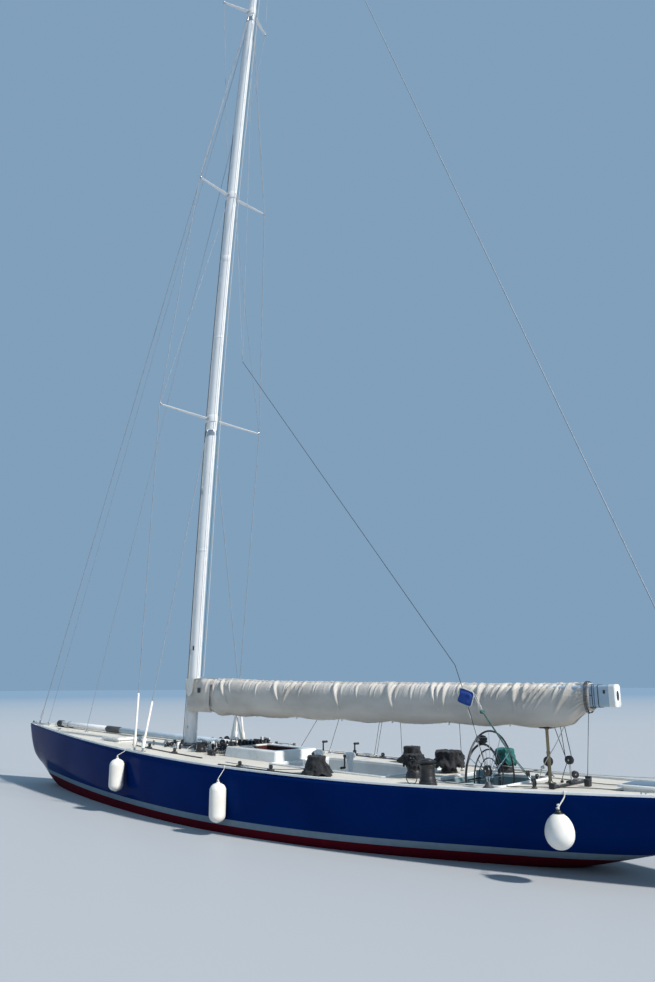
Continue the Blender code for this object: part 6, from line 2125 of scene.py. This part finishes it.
def make_ends():
    """The fittings at the stem and the stern."""
    low, high = corners("stem_fitting")
    top = high.z
    stem = Piece("stem_plate")
    rings = []
    for t in spaced(0.0, 1.0, 15):
        x = high.x - (high.x - low.x) * t
        half = 0.016 + (0.085 - 0.016) * t
        if t in (0.0, 1.0):
            half *= 0.92
        base = sheer(x) + SEAT
        crest = top - 0.045 - 0.010 * t
        section = ((1, base), (1, crest - 0.006), (0.9, crest), (-0.9, crest), (-1, crest - 0.006),
                   (-1, base))
        rings.append([Vector((x, y * half, z)) for y, z in section])
    stem.skin(rings, STEEL)
    stem.block((8.83, -0.006, top - 0.060), (8.93, 0.006, top), STEEL, edge=0.006)
    stem.block((8.36, -0.006, sheer(8.41) + SEAT), (8.46, 0.006, sheer(8.41) + 0.090), STEEL, edge=0.006)
    stem.hoop((9.12, 0, top - 0.030), ACROSS, 0.024, 0.006, STEEL, 24, 8)
    stem.lathe(((0.020, -0.018), (0.026, -0.014), (0.018, 0.0), (0.026, 0.014), (0.020, 0.018)),
               (9.25, 0.0, top - 0.018), BRONZE, ACROSS, 20)
    stem.done(replaces=("stem_fitting",))
    low, high = corners("stern_fitting")
    stern = Piece("stern_plate")
    stern.block((low.x, low.y, low.z + 0.0005), (high.x, high.y, low.z + 0.014), STEEL, edge=0.005)
    stern.block((-9.43, -0.006, low.z + 0.012), (-9.33, 0.006, high.z), STEEL, edge=0.006)
    for x in (low.x + 0.03, high.x - 0.03):
        for y in (-0.034, 0.034):
            stern.lathe(BOLT, (x, y, low.z + 0.013), STEEL, sides=6)
    stern.done(replaces=("stern_fitting",))


def make_crutch():
    """The bronze prop that holds up the boom."""
    low, high = corners("boom_crutch")
    x = (low.x + high.x) / 2
    foot = low.z
    height = high.z - foot
    post = Piece("boom_prop")
    post.lathe(((0.088, 0.0005), (0.088, 0.010), (0.080, 0.016), (0.040, 0.022), (0.031, 0.040),
                (0.0265, 0.050), (0.0265, height * 0.52), (0.031, height * 0.525), (0.031, height * 0.56),
                (0.024, height * 0.565), (0.024, height - 0.050), (0.034, height - 0.044),
                (0.034, height - 0.030), (0.020, height - 0.024)), (x, 0, foot), BRONZE, sides=32)
    for a in turns(4, 0.5):
        post.lathe(SMALL_BOLT, (x + 0.066 * math.cos(a), 0.066 * math.sin(a), foot + 0.013), STEEL, sides=6)
    post.block((x - 0.085, -0.085, high.z - 0.030), (x + 0.085, 0.085, high.z - 0.0005), RUBBER, edge=0.008)
    post.done(replaces=("boom_crutch",))


def sheave_block(piece, centre, radius, width, finish, axis=(0, 1, 0), drop=None):
    """A sheave between two cheeks, with a shackle at its foot or head."""
    axis = Vector(axis).normalized()
    centre = Vector(centre)
    for side in (1, -1):
        piece.lathe(((radius * 0.55, -width * 0.16), (radius, -width * 0.12), (radius, width * 0.06),
                     (radius * 0.80, width * 0.16), (radius * 0.30, width * 0.20)),
                    centre + axis * side * width * 0.34, finish, axis * side, 28)
    piece.lathe(((radius * 0.82, -width * 0.18), (radius * 0.66, 0), (radius * 0.82, width * 0.18)), centre,
                DARK_GREY, axis, 24)
    piece.lathe(barrel(radius * 0.16, width * 0.56, radius * 0.20, width * 0.54), centre, STEEL, axis, 12)
    if drop is not None:
        end = Vector(drop)
        near = centre + (end - centre).normalized() * radius * 0.9
        spots = [near + axis * width * 0.30, near.lerp(end, 0.6) + axis * width * 0.24,
                 end, near.lerp(end, 0.6) - axis * width * 0.24, near - axis * width * 0.30]
        piece.tube(curve_through(spots, 5), 0.0060, STEEL, 10)


def make_sheet_gear():
    """The traveller across the deck, and the main sheet between it and the boom."""
    low, high = corners("mainsheet_traveller")
    rail = Piece("sheet_track")
    base = low.z + 0.0005
    rail.block((-7.076, low.y, base), (-7.024, high.y, base + 0.020), BLACK, edge=0.004)
    rail.block((-7.062, low.y + 0.01, base + 0.018), (-7.038, high.y - 0.01, base + 0.040), DARK_GREY,
               edge=0.004)
    for side in (1, -1):
        y = side * (high.y - 0.035)
        rail.block((-7.092, y - 0.030, base), (-7.008, y + 0.030, high.z - 0.001), BLACK, edge=0.008)
        rail.lathe(((0.020, -0.012), (0.016, 0), (0.020, 0.012)), (TRACK_X, y, high.z - 0.012), STEEL,
                   sides=20)
    # Car on the track with its eye
    y = -0.02
    rail.block((-7.090, y - 0.105, base + 0.028), (-7.010, y + 0.105, base + 0.066), BLACK, edge=0.010)
    rail.hoop((TRACK_X, y, base + 0.080), AHEAD, 0.018, 0.006, STEEL, 24, 8)
    rail.done(replaces=("mainsheet_traveller",))

    sheet = Piece("main_sheet")
    block_at = Vector((TRACK_X, 0.0, 1.43))
    sheave_block(sheet, block_at, 0.062, 0.062, BLACK, ACROSS, (TRACK_X, -0.015, 1.155))
    for dx, dy, top_x in ((-0.052, 0.012, -6.975), (0.050, 0.012, -6.925), (0.052, -0.014, -6.76)):
        sheet.tube([block_at + Vector((dx, dy, 0)), (top_x, dy * 0.5, boom_under(top_x) - 0.040)], THIN,
                   DARK_ROPE)
    sheave_block(sheet, (-6.95, 0, boom_under(-6.95) - 0.062), 0.036, 0.042, BLACK, ACROSS,
                 (-6.95, 0, boom_under(-6.95) - 0.010))
    sheave_block(sheet, (-6.75, 0, boom_under(-6.75) - 0.060), 0.034, 0.040, BLACK, ACROSS,
                 (-6.75, 0, boom_under(-6.75) - 0.010))
    # Tail from the block to the deck and the grey rope with its knot
    deck = sheer(-6.8) + 0.010
    tail = [block_at + Vector((0.045, -0.02, -0.03)), (-6.93, -0.05, 1.26), (-6.84, -0.12, deck + 0.02),
            (-6.80, -0.20, deck)]
    sheet.tube(curve_through(tail, 6), THIN, DARK_ROPE)
    grey = [(-7.05, 0.06, 1.93), (-6.86, 0.04, 1.63), (-6.61, 0.0, 1.30), (-6.48, -0.16, 1.18),
            (-6.32, -0.36, 1.085)]
    sheet.tube(curve_through(grey, 6), LINE, WHITE_ROPE)
    knot(sheet, (-6.61, 0.0, 1.30), 0.026, WHITE_ROPE, 11)
    sheave_block(sheet, (-6.30, -0.38, sheer(-6.3) + 0.050), 0.040, 0.040, BLACK, (0.6, 0.8, 0))
    knot(sheet, (-6.80, -0.22, deck + 0.012), 0.022, DARK_ROPE, 12)
    # Upright line and its black fitting abaft the track
    sheet.tube([(-7.44, 0.05, boom_under(-7.44) + 0.004), (-7.32, 0.02, sheer(-7.3) + 0.10)], LASHING,
               DARK_ROPE)
    sheet.block((-7.36, -0.03, sheer(-7.32) + SEAT), (-7.28, 0.07, sheer(-7.32) + 0.105), BLACK, edge=0.012)
    made = sheet.make()
    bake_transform(made)


def make_quarter_blocks():
    """Turning blocks at the quarters, and smaller ones ahead of them."""
    for side_name, side in (("port", 1), ("starboard", -1)):
        low, high = corners("quarter_block_" + side_name)
        x = (low.x + high.x) / 2
        y = (low.y + high.y) / 2
        base = low.z + 0.0005
        one = Piece("corner_block_" + side_name)
        one.lathe(((0.082, 0), (0.084, 0.004), (0.070, 0.016), (0.046, 0.042), (0.030, 0.066),
                   (0.024, 0.078)), (x, y, base), DARK_GREY, sides=32)
        sheave_block(one, (x, y, high.z - 0.082), 0.078, 0.076, BLACK, (0.45, side * 0.9, 0),
                     (x, y, base + 0.070))
        one.done(replaces=("quarter_block_" + side_name,))
        second = Piece("after_block_" + side_name)
        spot = Vector((-6.805, side * 0.654, sheer(-6.805)))
        second.lathe(((0.045, SEAT), (0.046, 0.006), (0.030, 0.018), (0.018, 0.030)), spot, DARK_GREY,
                     sides=24)
        sheave_block(second, spot + Vector((0, 0, 0.085)), 0.056, 0.050, BLACK, (0.7, side * 0.7, 0),
                     spot + Vector((0, 0, 0.028)))
        second.done()


def make_running_rigging():
    """Inner stays, the wires over the spreaders, and the halyards along the mast."""
    lines = Piece("fore_rigging")
    for x, up, mast_z in ((8.41, 0.085, 19.6), (INNER_STAY_X, 0.075, 16.6)):
        lines.tube([(x, 0, sheer(x) + up), fore_face(mast_z)], THIN, GREY_WIRE)
    deck = sheer(INNER_STAY_X)
    for dx, half, low, high in ((0.05, 0.03, SEAT, 0.014), (0.03, 0.006, 0.012, 0.080)):
        lines.block((INNER_STAY_X - dx, -half, deck + low), (INNER_STAY_X + dx, half, deck + high), STEEL,
                    edge=0.004)
    for side in (1, -1):
        lower_tip = Vector((mast_x(LOWER_SPREADER_Z) - 0.02, side * 1.53, LOWER_SPREADER_Z + 0.035))
        upper_tip = Vector((mast_x(UPPER_SPREADER_Z) - 0.07, side * 1.07, UPPER_SPREADER_Z + 0.035))
        lines.tube([lower_tip, mast_side(UPPER_SPREADER_Z - 0.22, side, 0.008)], THIN, GREY_WIRE)
        lines.tube([upper_tip, mast_side(JUMPER_Z - 0.35, side, 0.008)], THIN, GREY_WIRE)
        jumper = Vector((mast_x(JUMPER_Z) + 0.25, side * 0.74, JUMPER_Z))
        lines.tube([mast_side(UPPER_SPREADER_Z + 0.30, side, 0.006, 0.5), jumper,
                    mast_side(MAST_TOP - 0.35, side, 0.006, 0.5)], THIN, GREY_WIRE)
    lines.done()

    ropes = Piece("mast_ropes")
    # Halyards down the mast's faces: height of the exit, side, share ahead of the middle
    for z_top, side, ahead, finish in ((19.9, 1, 0.75, WHITE_ROPE), (16.5, 1, 0.55, DARK_ROPE),
                                       (25.6, -1, 0.75, BLUE_ROPE), (12.3, 1, 0.20, WHITE_ROPE)):
        spots = [mast_side(z, side, 0.009, ahead) for z in spaced(3.0, z_top, 26)]
        foot = Vector((spots[0].x + 0.03, side * (abs(spots[0].y) + 0.06), sheer(1.9) + 0.05))
        ropes.tube([foot] + spots, THIN * 0.9, finish, 6)
    # Halyards abaft the mast: height, stand-off from its face, distance from the centre line
    for side, finish in ((1, GREEN_ROPE), (-1, WHITE_ROPE)):
        spots = [Vector((mast_x(at) - mast_long(at) - off, side * y, z))
                 for at, z, off, y in ((25.9, 25.9, 0.03, 0.02), (13, 13.0, 0.10, 0.035),
                                       (2.75, 2.72, 0.13, 0.03))]
        ropes.tube(curve_through(spots, 20), THIN, finish, 6)
    ropes.done()


def make_runner():
    """The port running backstay: wire, a blue bag over its upper block, and the tackle below."""
    gear = Piece("running_backstay")
    foot = Vector((-6.76, 0.640, 1.185))
    bend = Vector((-6.466, 0.636, 1.497))
    knot_at = Vector((-5.985, 0.610, 2.111))
    middle = Vector((-5.694, 0.600, 2.330))
    above = Vector((-5.512, 0.600, 2.825))
    joint = Vector((0.18, 0.30, 9.82))
    for spot in (mast_aft(19.7, 0.012), mast_aft(14.8, 0.012)):
        gear.tube([spot + Vector((0, 0.02, 0)), joint], THIN * 0.8, GREY_WIRE)
    # The bag: a flat padded wrap, square at both ends, hung by one corner
    along = Vector((0.338, 0, -0.941)).normalized()
    across = Vector((-0.88, -0.10, -0.47))
    across = (across - along * across.dot(along)).normalized()
    out = along.cross(across)
    bag_top = middle - along * 0.114
    bag_end = middle + along * 0.114
    gear.tube([joint, above, bag_top - across * 0.10], THIN, DARK_ROPE)
    rings = []
    for t in spaced(0.0, 1.0, 17):
        place = bag_top.lerp(bag_end, t)
        wide = 0.126 * (1 - 0.12 * (1 - eased(t / 0.14)) - 0.12 * eased((t - 0.86) / 0.14))
        deep = 0.060 * (1 - 0.55 * (1 - eased(t / 0.30)) - 0.55 * eased((t - 0.70) / 0.30))
        rings.append([place + across * (wide * power(math.cos(a), 0.6) * (1 + 0.05 * math.sin(3 * a + 5 * t)))
                      + out * (deep * power(math.sin(a), 0.8) * (1 + 0.08 * math.sin(5 * a + 9 * t)))
                      for a in turns(32)])
    bag = Piece("runner_bag")
    bag.skin(rings, BLUE_CLOTH)
    bag.done(angle=70)
    piping = [middle + out * 0.028 + across * (0.131 * power(math.cos(a), 0.35))
              + along * (0.119 * power(math.sin(a), 0.35)) for a in [2 * math.pi * n / 48 for n in range(49)]]
    gear.tube(piping, 0.0090, WHITE_ROPE, 8)
    for step in (-0.022, 0.022):
        near = across * step
        gear.tube([bag_top + across * 0.118 + along * 0.02 + near, knot_at + near * 0.4], LINE, WHITE_ROPE)
        gear.tube([knot_at + near * 0.4, bend + near * 0.7, foot + near], LINE, GREEN_ROPE)
    knot(gear, knot_at, 0.036, GREEN_ROPE, 21)
    sheave_block(gear, foot + Vector((0.05, 0.0, 0.085)), 0.040, 0.042, BLACK, (0.7, 0.7, 0),
                 foot + Vector((0.0, 0.0, -0.02)))
    gear.tube([bag_end + across * 0.06, (-5.86, 0.66, 1.86), (-6.16, 0.90, 1.36)], THIN, DARK_ROPE)
    gear.tube([bag_end + across * 0.02, (-5.83, 0.60, 1.86), (-6.00, 0.72, 1.40), (-6.14, 0.88, 1.34)], THIN,
              WHITE_ROPE)
    gear.done()


def make_cover_lines():
    """Lines that steady the boom, from under the cover down to eyes on the starboard deck."""
    lines = Piece("boom_lines")
    for x, foot_x, foot_y in BOOM_LINES:
        foot = Vector((foot_x, foot_y, sheer(foot_x) + 0.035))
        lines.tube([(x, -0.03, 1.93), foot], LASHING, DARK_ROPE)
        lines.hoop(foot, ACROSS, 0.020, 0.005, STEEL, 20, 8)
        lines.block(foot - Vector((0.030, 0.022, 0.034)), foot + Vector((0.030, 0.022, -0.018)), STEEL,
                    edge=0.004)
    made = lines.make()
    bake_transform(made)


def make_vang():
    """Two white straps from under the boom down to the deck by the pit."""
    straps = Piece("vang_straps")
    top = Vector((0.477, 0, 1.965))
    for foot, wide in (((0.551, 0.06, sheer(0.55) + 0.19), 0.045),
                       ((0.295, -0.04, sheer(0.3) + 0.20), 0.030)):
        rings = []
        for t in spaced(0.0, 1.0, 13):
            place = top.lerp(Vector(foot), t)
            half = 0.018 + (wide - 0.018) * t
            section = ((-half, 0.003), (half, 0.003), (half, -0.003), (-half, -0.003))
            rings.append([place + Vector((x, y, 0)) for x, y in section])
        straps.skin(rings, VINYL)
    straps.block((0.435, -0.03, 1.925), (0.515, 0.03, 1.975), STEEL, edge=0.008)
    straps.done("root")


def near_mast(x, y):
    """True on the deck that the mast itself stands on."""
    return abs(x - 2.0) < 0.30 and abs(y) < 0.24


def foot_blocks(gear, rng):
    """Turning blocks, organisers and coils of line round the mast's foot."""
    for x, y, size, height in FOOT_BLOCKS:
        base = sheer(x)
        gear.lathe(((size * 0.9, SEAT), (size * 0.9, 0.008), (size * 0.5, 0.014)), (x, y, base), STEEL,
                   sides=24)
        sheave_block(gear, (x, y, base + height * 0.55), height * 0.45, 0.05, BLACK,
                     (math.cos(rng.uniform(0.6, 2.4)), math.sin(rng.uniform(0.8, 1.6)), 0))
    for k in range(64):
        x = 0.50 + 2.2 * rng.random() ** 1.25
        y = rng.uniform(-1.30, 0.40)
        if near_mast(x, y) or abs(x - 1.05) < 0.18 and abs(abs(y) - 0.46) < 0.18:
            continue
        base = sheer(x)
        high = rng.uniform(0.08, 0.17)
        if rng.random() < 0.55:
            gear.lathe(((0.040, SEAT), (0.040, 0.006), (0.022, 0.012)), (x, y, base), STEEL, sides=20)
            sheave_block(gear, (x, y, base + high * 0.60), high * 0.40, 0.042, BLACK,
                         (math.cos(rng.uniform(0, 3.1)), math.sin(rng.uniform(0.6, 2.4)), 0))
            continue
        coil = []
        for n in range(37):
            a = 2 * math.pi * n / 12
            r = 0.055 + 0.020 * math.sin(0.7 * n + k)
            z = base + 0.012 + 0.0014 * n + 0.010 * math.sin(2.3 * n + k)
            coil.append(Vector((x + r * math.cos(a) * 1.3, y + r * math.sin(a), z)))
        gear.tube(coil, 0.0075, rng.choice((DARK_ROPE, DARK_ROPE, WHITE_ROPE, BLUE_ROPE)), 7)


def small_fittings(gear, rng):
    """Small fittings close together: jammers, eyes, cleats and loops of line."""
    for _ in range(190):
        y = 0.52 - 1.95 * rng.random() ** 0.8
        x = 0.30 + 2.35 * rng.random() + 0.20 * y
        if near_mast(x, y) or x < 0.20 and y > -0.85:
            continue
        base = sheer(x)
        wide = rng.uniform(0.018, 0.040)
        high = rng.uniform(0.05, 0.15)
        kind = rng.random()
        if kind < 0.45:
            turn = Matrix.Rotation(rng.uniform(0, math.pi), 3, "Z")
            gear.block((x - wide, y - wide * 0.6, base + SEAT), (x + wide, y + wide * 0.6, base + high),
                       rng.choice((BLACK, DARK_GREY, DARK_GREY, STEEL, WHITE)), edge=0.006, turn=turn)
        elif kind < 0.75:
            gear.lathe(((wide, SEAT), (wide * 0.8, high * 0.2), (wide * 0.7, high * 0.6), (wide, high * 0.8),
                        (wide * 0.6, high)), (x, y, base), rng.choice((BLACK, STEEL, BRONZE)), sides=18)
        else:
            reach = rng.uniform(0.10, 0.22)
            turn = rng.uniform(0, math.pi)
            along = Vector((math.cos(turn), math.sin(turn), 0)) * reach
            foot = Vector((x, y, base + 0.009))
            spots = [foot - along, Vector((x, y, base + high)) + along * 0.1, foot + along]
            gear.tube(curve_through(spots, 6), LINE,
                      rng.choice((DARK_ROPE, WHITE_ROPE, WHITE_ROPE, BLUE_ROPE)), 6)


def rope_clutches(gear, rng):
    """Rope clutches on the pit's fore rim, with levers and the ropes that lead to them."""
    rim = sheer(0.0) + PIT_RIM + SEAT
    for k in range(11):
        y = -0.50 + 0.10 * k
        high = rng.uniform(0.060, 0.095)
        gear.block((-0.040, y - 0.030, rim), (0.060, y + 0.030, rim + high), rng.choice((BLACK, DARK_GREY)),
                   edge=0.010)
        gear.block((-0.050, y - 0.012, rim + high - 0.012),
                   (0.020, y + 0.012, rim + high + rng.uniform(0.02, 0.07)),
                   rng.choice((STEEL, BLACK, WHITE)), edge=0.005)
        lead = [(-0.045, y, rim + 0.030), (0.075, y, rim + 0.030), (0.40, y * 1.10, sheer(0.4) + 0.055),
                (1.05, y * 0.90, sheer(1.05) + 0.010)]
        gear.tube(curve_through(lead, 6), LINE, rng.choice((DARK_ROPE, WHITE_ROPE, BLUE_ROPE, DARK_ROPE)), 6)
        if k % 3 == 1:
            tail = [Vector((-0.040 + 0.03 * math.cos(2.1 * n + k), y + 0.034 * math.sin(2.1 * n + k),
                            rim + high + 0.004 * n)) for n in range(9)]
            gear.tube(curve_through(tail, 3), LINE, rng.choice((DARK_ROPE, WHITE_ROPE)), 6)


def make_foot_gear():
    """The crowd of fittings and lines between the mast's foot and the halyard pit."""
    gear = Piece("mast_foot_gear")
    rng = random.Random(17)
    foot_blocks(gear, rng)
    small_fittings(gear, rng)
    for x, y in ((0.42, 0.68), (0.42, -0.68)):
        base = sheer(x)
        gear.block((x - 0.08, y - 0.05, base + SEAT), (x + 0.08, y + 0.05, base + 0.085), BLACK, edge=0.012)
        for k in range(3):
            low = y - 0.040 + 0.030 * k
            gear.block((x - 0.05, low, base + 0.075), (x + 0.10, low + 0.018, base + 0.108), DARK_GREY,
                       edge=0.005)
    rope_clutches(gear, rng)
    # Halyard tails from the mast's foot to the pit
    for k, finish in enumerate((WHITE_ROPE, BLUE_ROPE, GREEN_ROPE, DARK_ROPE, WHITE_ROPE)):
        y = -0.30 + 0.15 * k
        points = [(1.72, y * 0.5, sheer(1.7) + 0.045), (1.1, y * 0.8, sheer(1.1) + 0.010),
                  (0.55, y, sheer(0.55) + 0.009), (0.145, y, sheer(0.15) + 0.010)]
        gear.tube(curve_through(points, 6), 0.0060, finish, 8)
    gear.done()


def make_deck_gear():
    """Tracks, cleats, loose lines and the bow's fairleads."""
    gear = Piece("deck_tracks")
    for side in (1, -1):
        # Headsail sheet tracks with their cars
        for start, end, inset in ((0.10, 3.05, 0.62), (-3.0, -0.9, 0.26)):
            rings = []
            for x in spaced(start, end, 14):
                y = side * (half_breadth(x) - inset)
                z = sheer(x) + SEAT
                rings.append([Vector((x, y - 0.016, z)), Vector((x, y - 0.016, z + 0.018)),
                              Vector((x, y + 0.016, z + 0.018)), Vector((x, y + 0.016, z))])
            gear.skin(rings, BLACK)
            for share in (0.35, 0.72):
                x = start + (end - start) * share
                y = side * (half_breadth(x) - inset)
                z = sheer(x)
                gear.block((x - 0.070, y - 0.030, z + 0.012), (x + 0.070, y + 0.030, z + 0.045), DARK_GREY,
                           edge=0.008)
                sheave_block(gear, (x, y, z + 0.078), 0.036, 0.040, BLACK, ACROSS)
        for x, inset in MOORING_CLEATS:
            y = side * (half_breadth(x) - inset)
            z = sheer(x)
            gear.block((x - 0.045, y - 0.022, z + SEAT), (x + 0.045, y + 0.022, z + 0.010), STEEL, edge=0.003)
            for dx in (-0.03, 0.03):
                gear.lathe(((0.012, 0), (0.009, 0.015), (0.010, 0.034)), (x + dx, y, z + 0.008), STEEL,
                           sides=14)
            gear.tube([(x - 0.115, y, z + 0.050), (x - 0.06, y, z + 0.045), (x + 0.06, y, z + 0.045),
                       (x + 0.115, y, z + 0.050)], [0.005, 0.010, 0.010, 0.005], STEEL, 12)
    gear.done()

    ropes = Piece("deck_lines")
    for side in (1, -1):
        # Runner and sheet leads along the side decks: x, y, height above the deck
        for points, finish, r in (
                ([(-5.15, 0.98, 0.10), (-5.60, 0.95, 0.03), (-6.10, 0.93, 0.10)], DARK_ROPE, LINE),
                ([(-3.16, 1.20, 0.10), (-2.2, 1.40, 0.02), (-0.9, 1.42, 0.035)], BLUE_ROPE, LINE),
                ([(-5.78, 0.86, 0.012), (-6.60, 0.62, 0.012), (-7.40, 0.30, 0.012), (-7.96, 0.30, 0.012)],
                 DARK_ROPE, THIN)):
            spots = [Vector((x, side * y, sheer(x) + up)) for x, y, up in points]
            ropes.tube(curve_through(spots, 8), r, finish, 8)
    ropes.tube(sagging((-5.3, -1.02, sheer(-5.3) + 0.12), (-8.1, -0.62, sheer(-8.1) + 0.10), 0.03), THIN,
               WHITE_ROPE)
    # Hose loop beside the port winch
    loop = [Vector((-5.13 + 0.10 * math.cos(a), 1.33, sheer(-5.1) + 0.115 + 0.105 * math.sin(a)))
            for a in [2 * math.pi * k / 24 for k in range(25)]]
    ropes.tube(loop, 0.007, DARK_ROPE, 8)
    ropes.done()

    leads = Piece("bow_gear")
    x = 8.35
    deck = sheer(x)
    for side in (1, -1):
        y = side * (half_breadth(x) - 0.055)
        leads.block((x - 0.09, y - 0.020, deck + SEAT), (x + 0.09, y + 0.020, deck + 0.016), STEEL,
                    edge=0.004)
        for dx in (-0.075, 0.075):
            leads.tube([(x + dx, y, deck + 0.010), (x + dx, y, deck + 0.055),
                        (x + dx * 0.45, y, deck + 0.060)], 0.010, STEEL, 10)
    leads.done()


make_stays()
make_mast_foot()
make_ends()
make_crutch()
make_sheet_gear()
make_quarter_blocks()
make_running_rigging()
make_runner()
make_cover_lines()
make_vang()
make_foot_gear()
make_deck_gear()


# Frame parts shown as they are, in their own finishes

for node_name, finish in (("ballast_keel", RED_BOTTOM), ("rudder", RED_BOTTOM), ("trim_tab", RED_BOTTOM)):
    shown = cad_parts[node_name]
    shown.data.materials.clear()
    shown.data.materials.append(finish)


# Stage

def make_camera():
    """The photograph's camera."""
    ahead = Vector((math.cos(CAMERA_PITCH) * math.cos(CAMERA_YAW),
                    math.cos(CAMERA_PITCH) * math.sin(CAMERA_YAW), math.sin(CAMERA_PITCH)))
    across = Vector((math.sin(CAMERA_YAW), -math.cos(CAMERA_YAW), 0))
    over = across.cross(ahead)
    right = across * math.cos(CAMERA_ROLL) + over * math.sin(CAMERA_ROLL)
    up = over * math.cos(CAMERA_ROLL) - across * math.sin(CAMERA_ROLL)
    camera = placed("camera", bpy.data.cameras.new("camera"))
    camera.data.lens = CAMERA_LENS
    camera.data.sensor_width = 36.0
    camera.data.clip_end = 2000.0
    turned = Matrix((right, up, -ahead)).transposed().to_4x4()
    camera.matrix_world = Matrix.Translation(CAMERA_PLACE) @ turned
    bpy.context.scene.camera = camera


def lamp(name, kind, place, aim, strength, size, colour=(1, 1, 1)):
    """A light at a place, turned towards its aim."""
    data = bpy.data.lights.new(name, kind)
    data.energy = strength
    data.color = colour
    if kind == "SUN":
        data.angle = size
    else:
        data.shape = "DISK"
        data.size = size
    light = placed(name, data)
    light.location = place
    light.rotation_mode = "QUATERNION"
    light.rotation_quaternion = (Vector(aim) - Vector(place)).to_track_quat("-Z", "Y")


BACKDROP = (0.22, 0.35, 0.50)
FLOOR_RADIUS = 400.0


def make_stage():
    """A pale floor at the water's level that fades into the backdrop far away."""
    floor = Finish("studio_floor", roughness=0.55)
    centre = floor.new("ShaderNodeVectorMath")
    centre.operation = "LENGTH"
    floor.join(floor.place, centre.inputs[0])
    far = floor.ramp(centre.outputs["Value"], 30.0, 170.0)
    floor.paint(floor.mix(far, (0.44, 0.455, 0.47), (0.0, 0.0, 0.0)))
    floor.join(floor.mix(far, (0.0, 0.0, 0.0), BACKDROP), floor.shader.inputs["Emission Color"])
    floor.shader.inputs["Emission Strength"].default_value = 1.0
    floor.shader.inputs["Specular IOR Level"].default_value = 0.15
    disc = Piece("floor")
    rings = [ring_points((0, 0, 0), UPWARD, r, 96) for r in (1.0, 20.0, 60.0, 150.0, FLOOR_RADIUS)]
    disc.skin(rings, floor.material, caps=False)
    disc.cap(rings[0], floor.material)
    disc.make()
    world = bpy.data.worlds.new("studio")
    world.use_nodes = True
    back = world.node_tree.nodes["Background"]
    back.inputs["Color"].default_value = (*BACKDROP, 1)
    back.inputs["Strength"].default_value = 1.0
    bpy.context.scene.world = world
    bpy.context.scene.view_settings.view_transform = "Standard"
    lamp("key", "SUN", (-15, -1.6, 13), (0, 0, 0), 4.6, 0.06, (1.0, 0.97, 0.93))
    lamp("fill", "AREA", (-22, 26, 14), (0, 0, 3), 150.0, 14.0, (0.93, 0.96, 1.0))


make_camera()
make_stage()
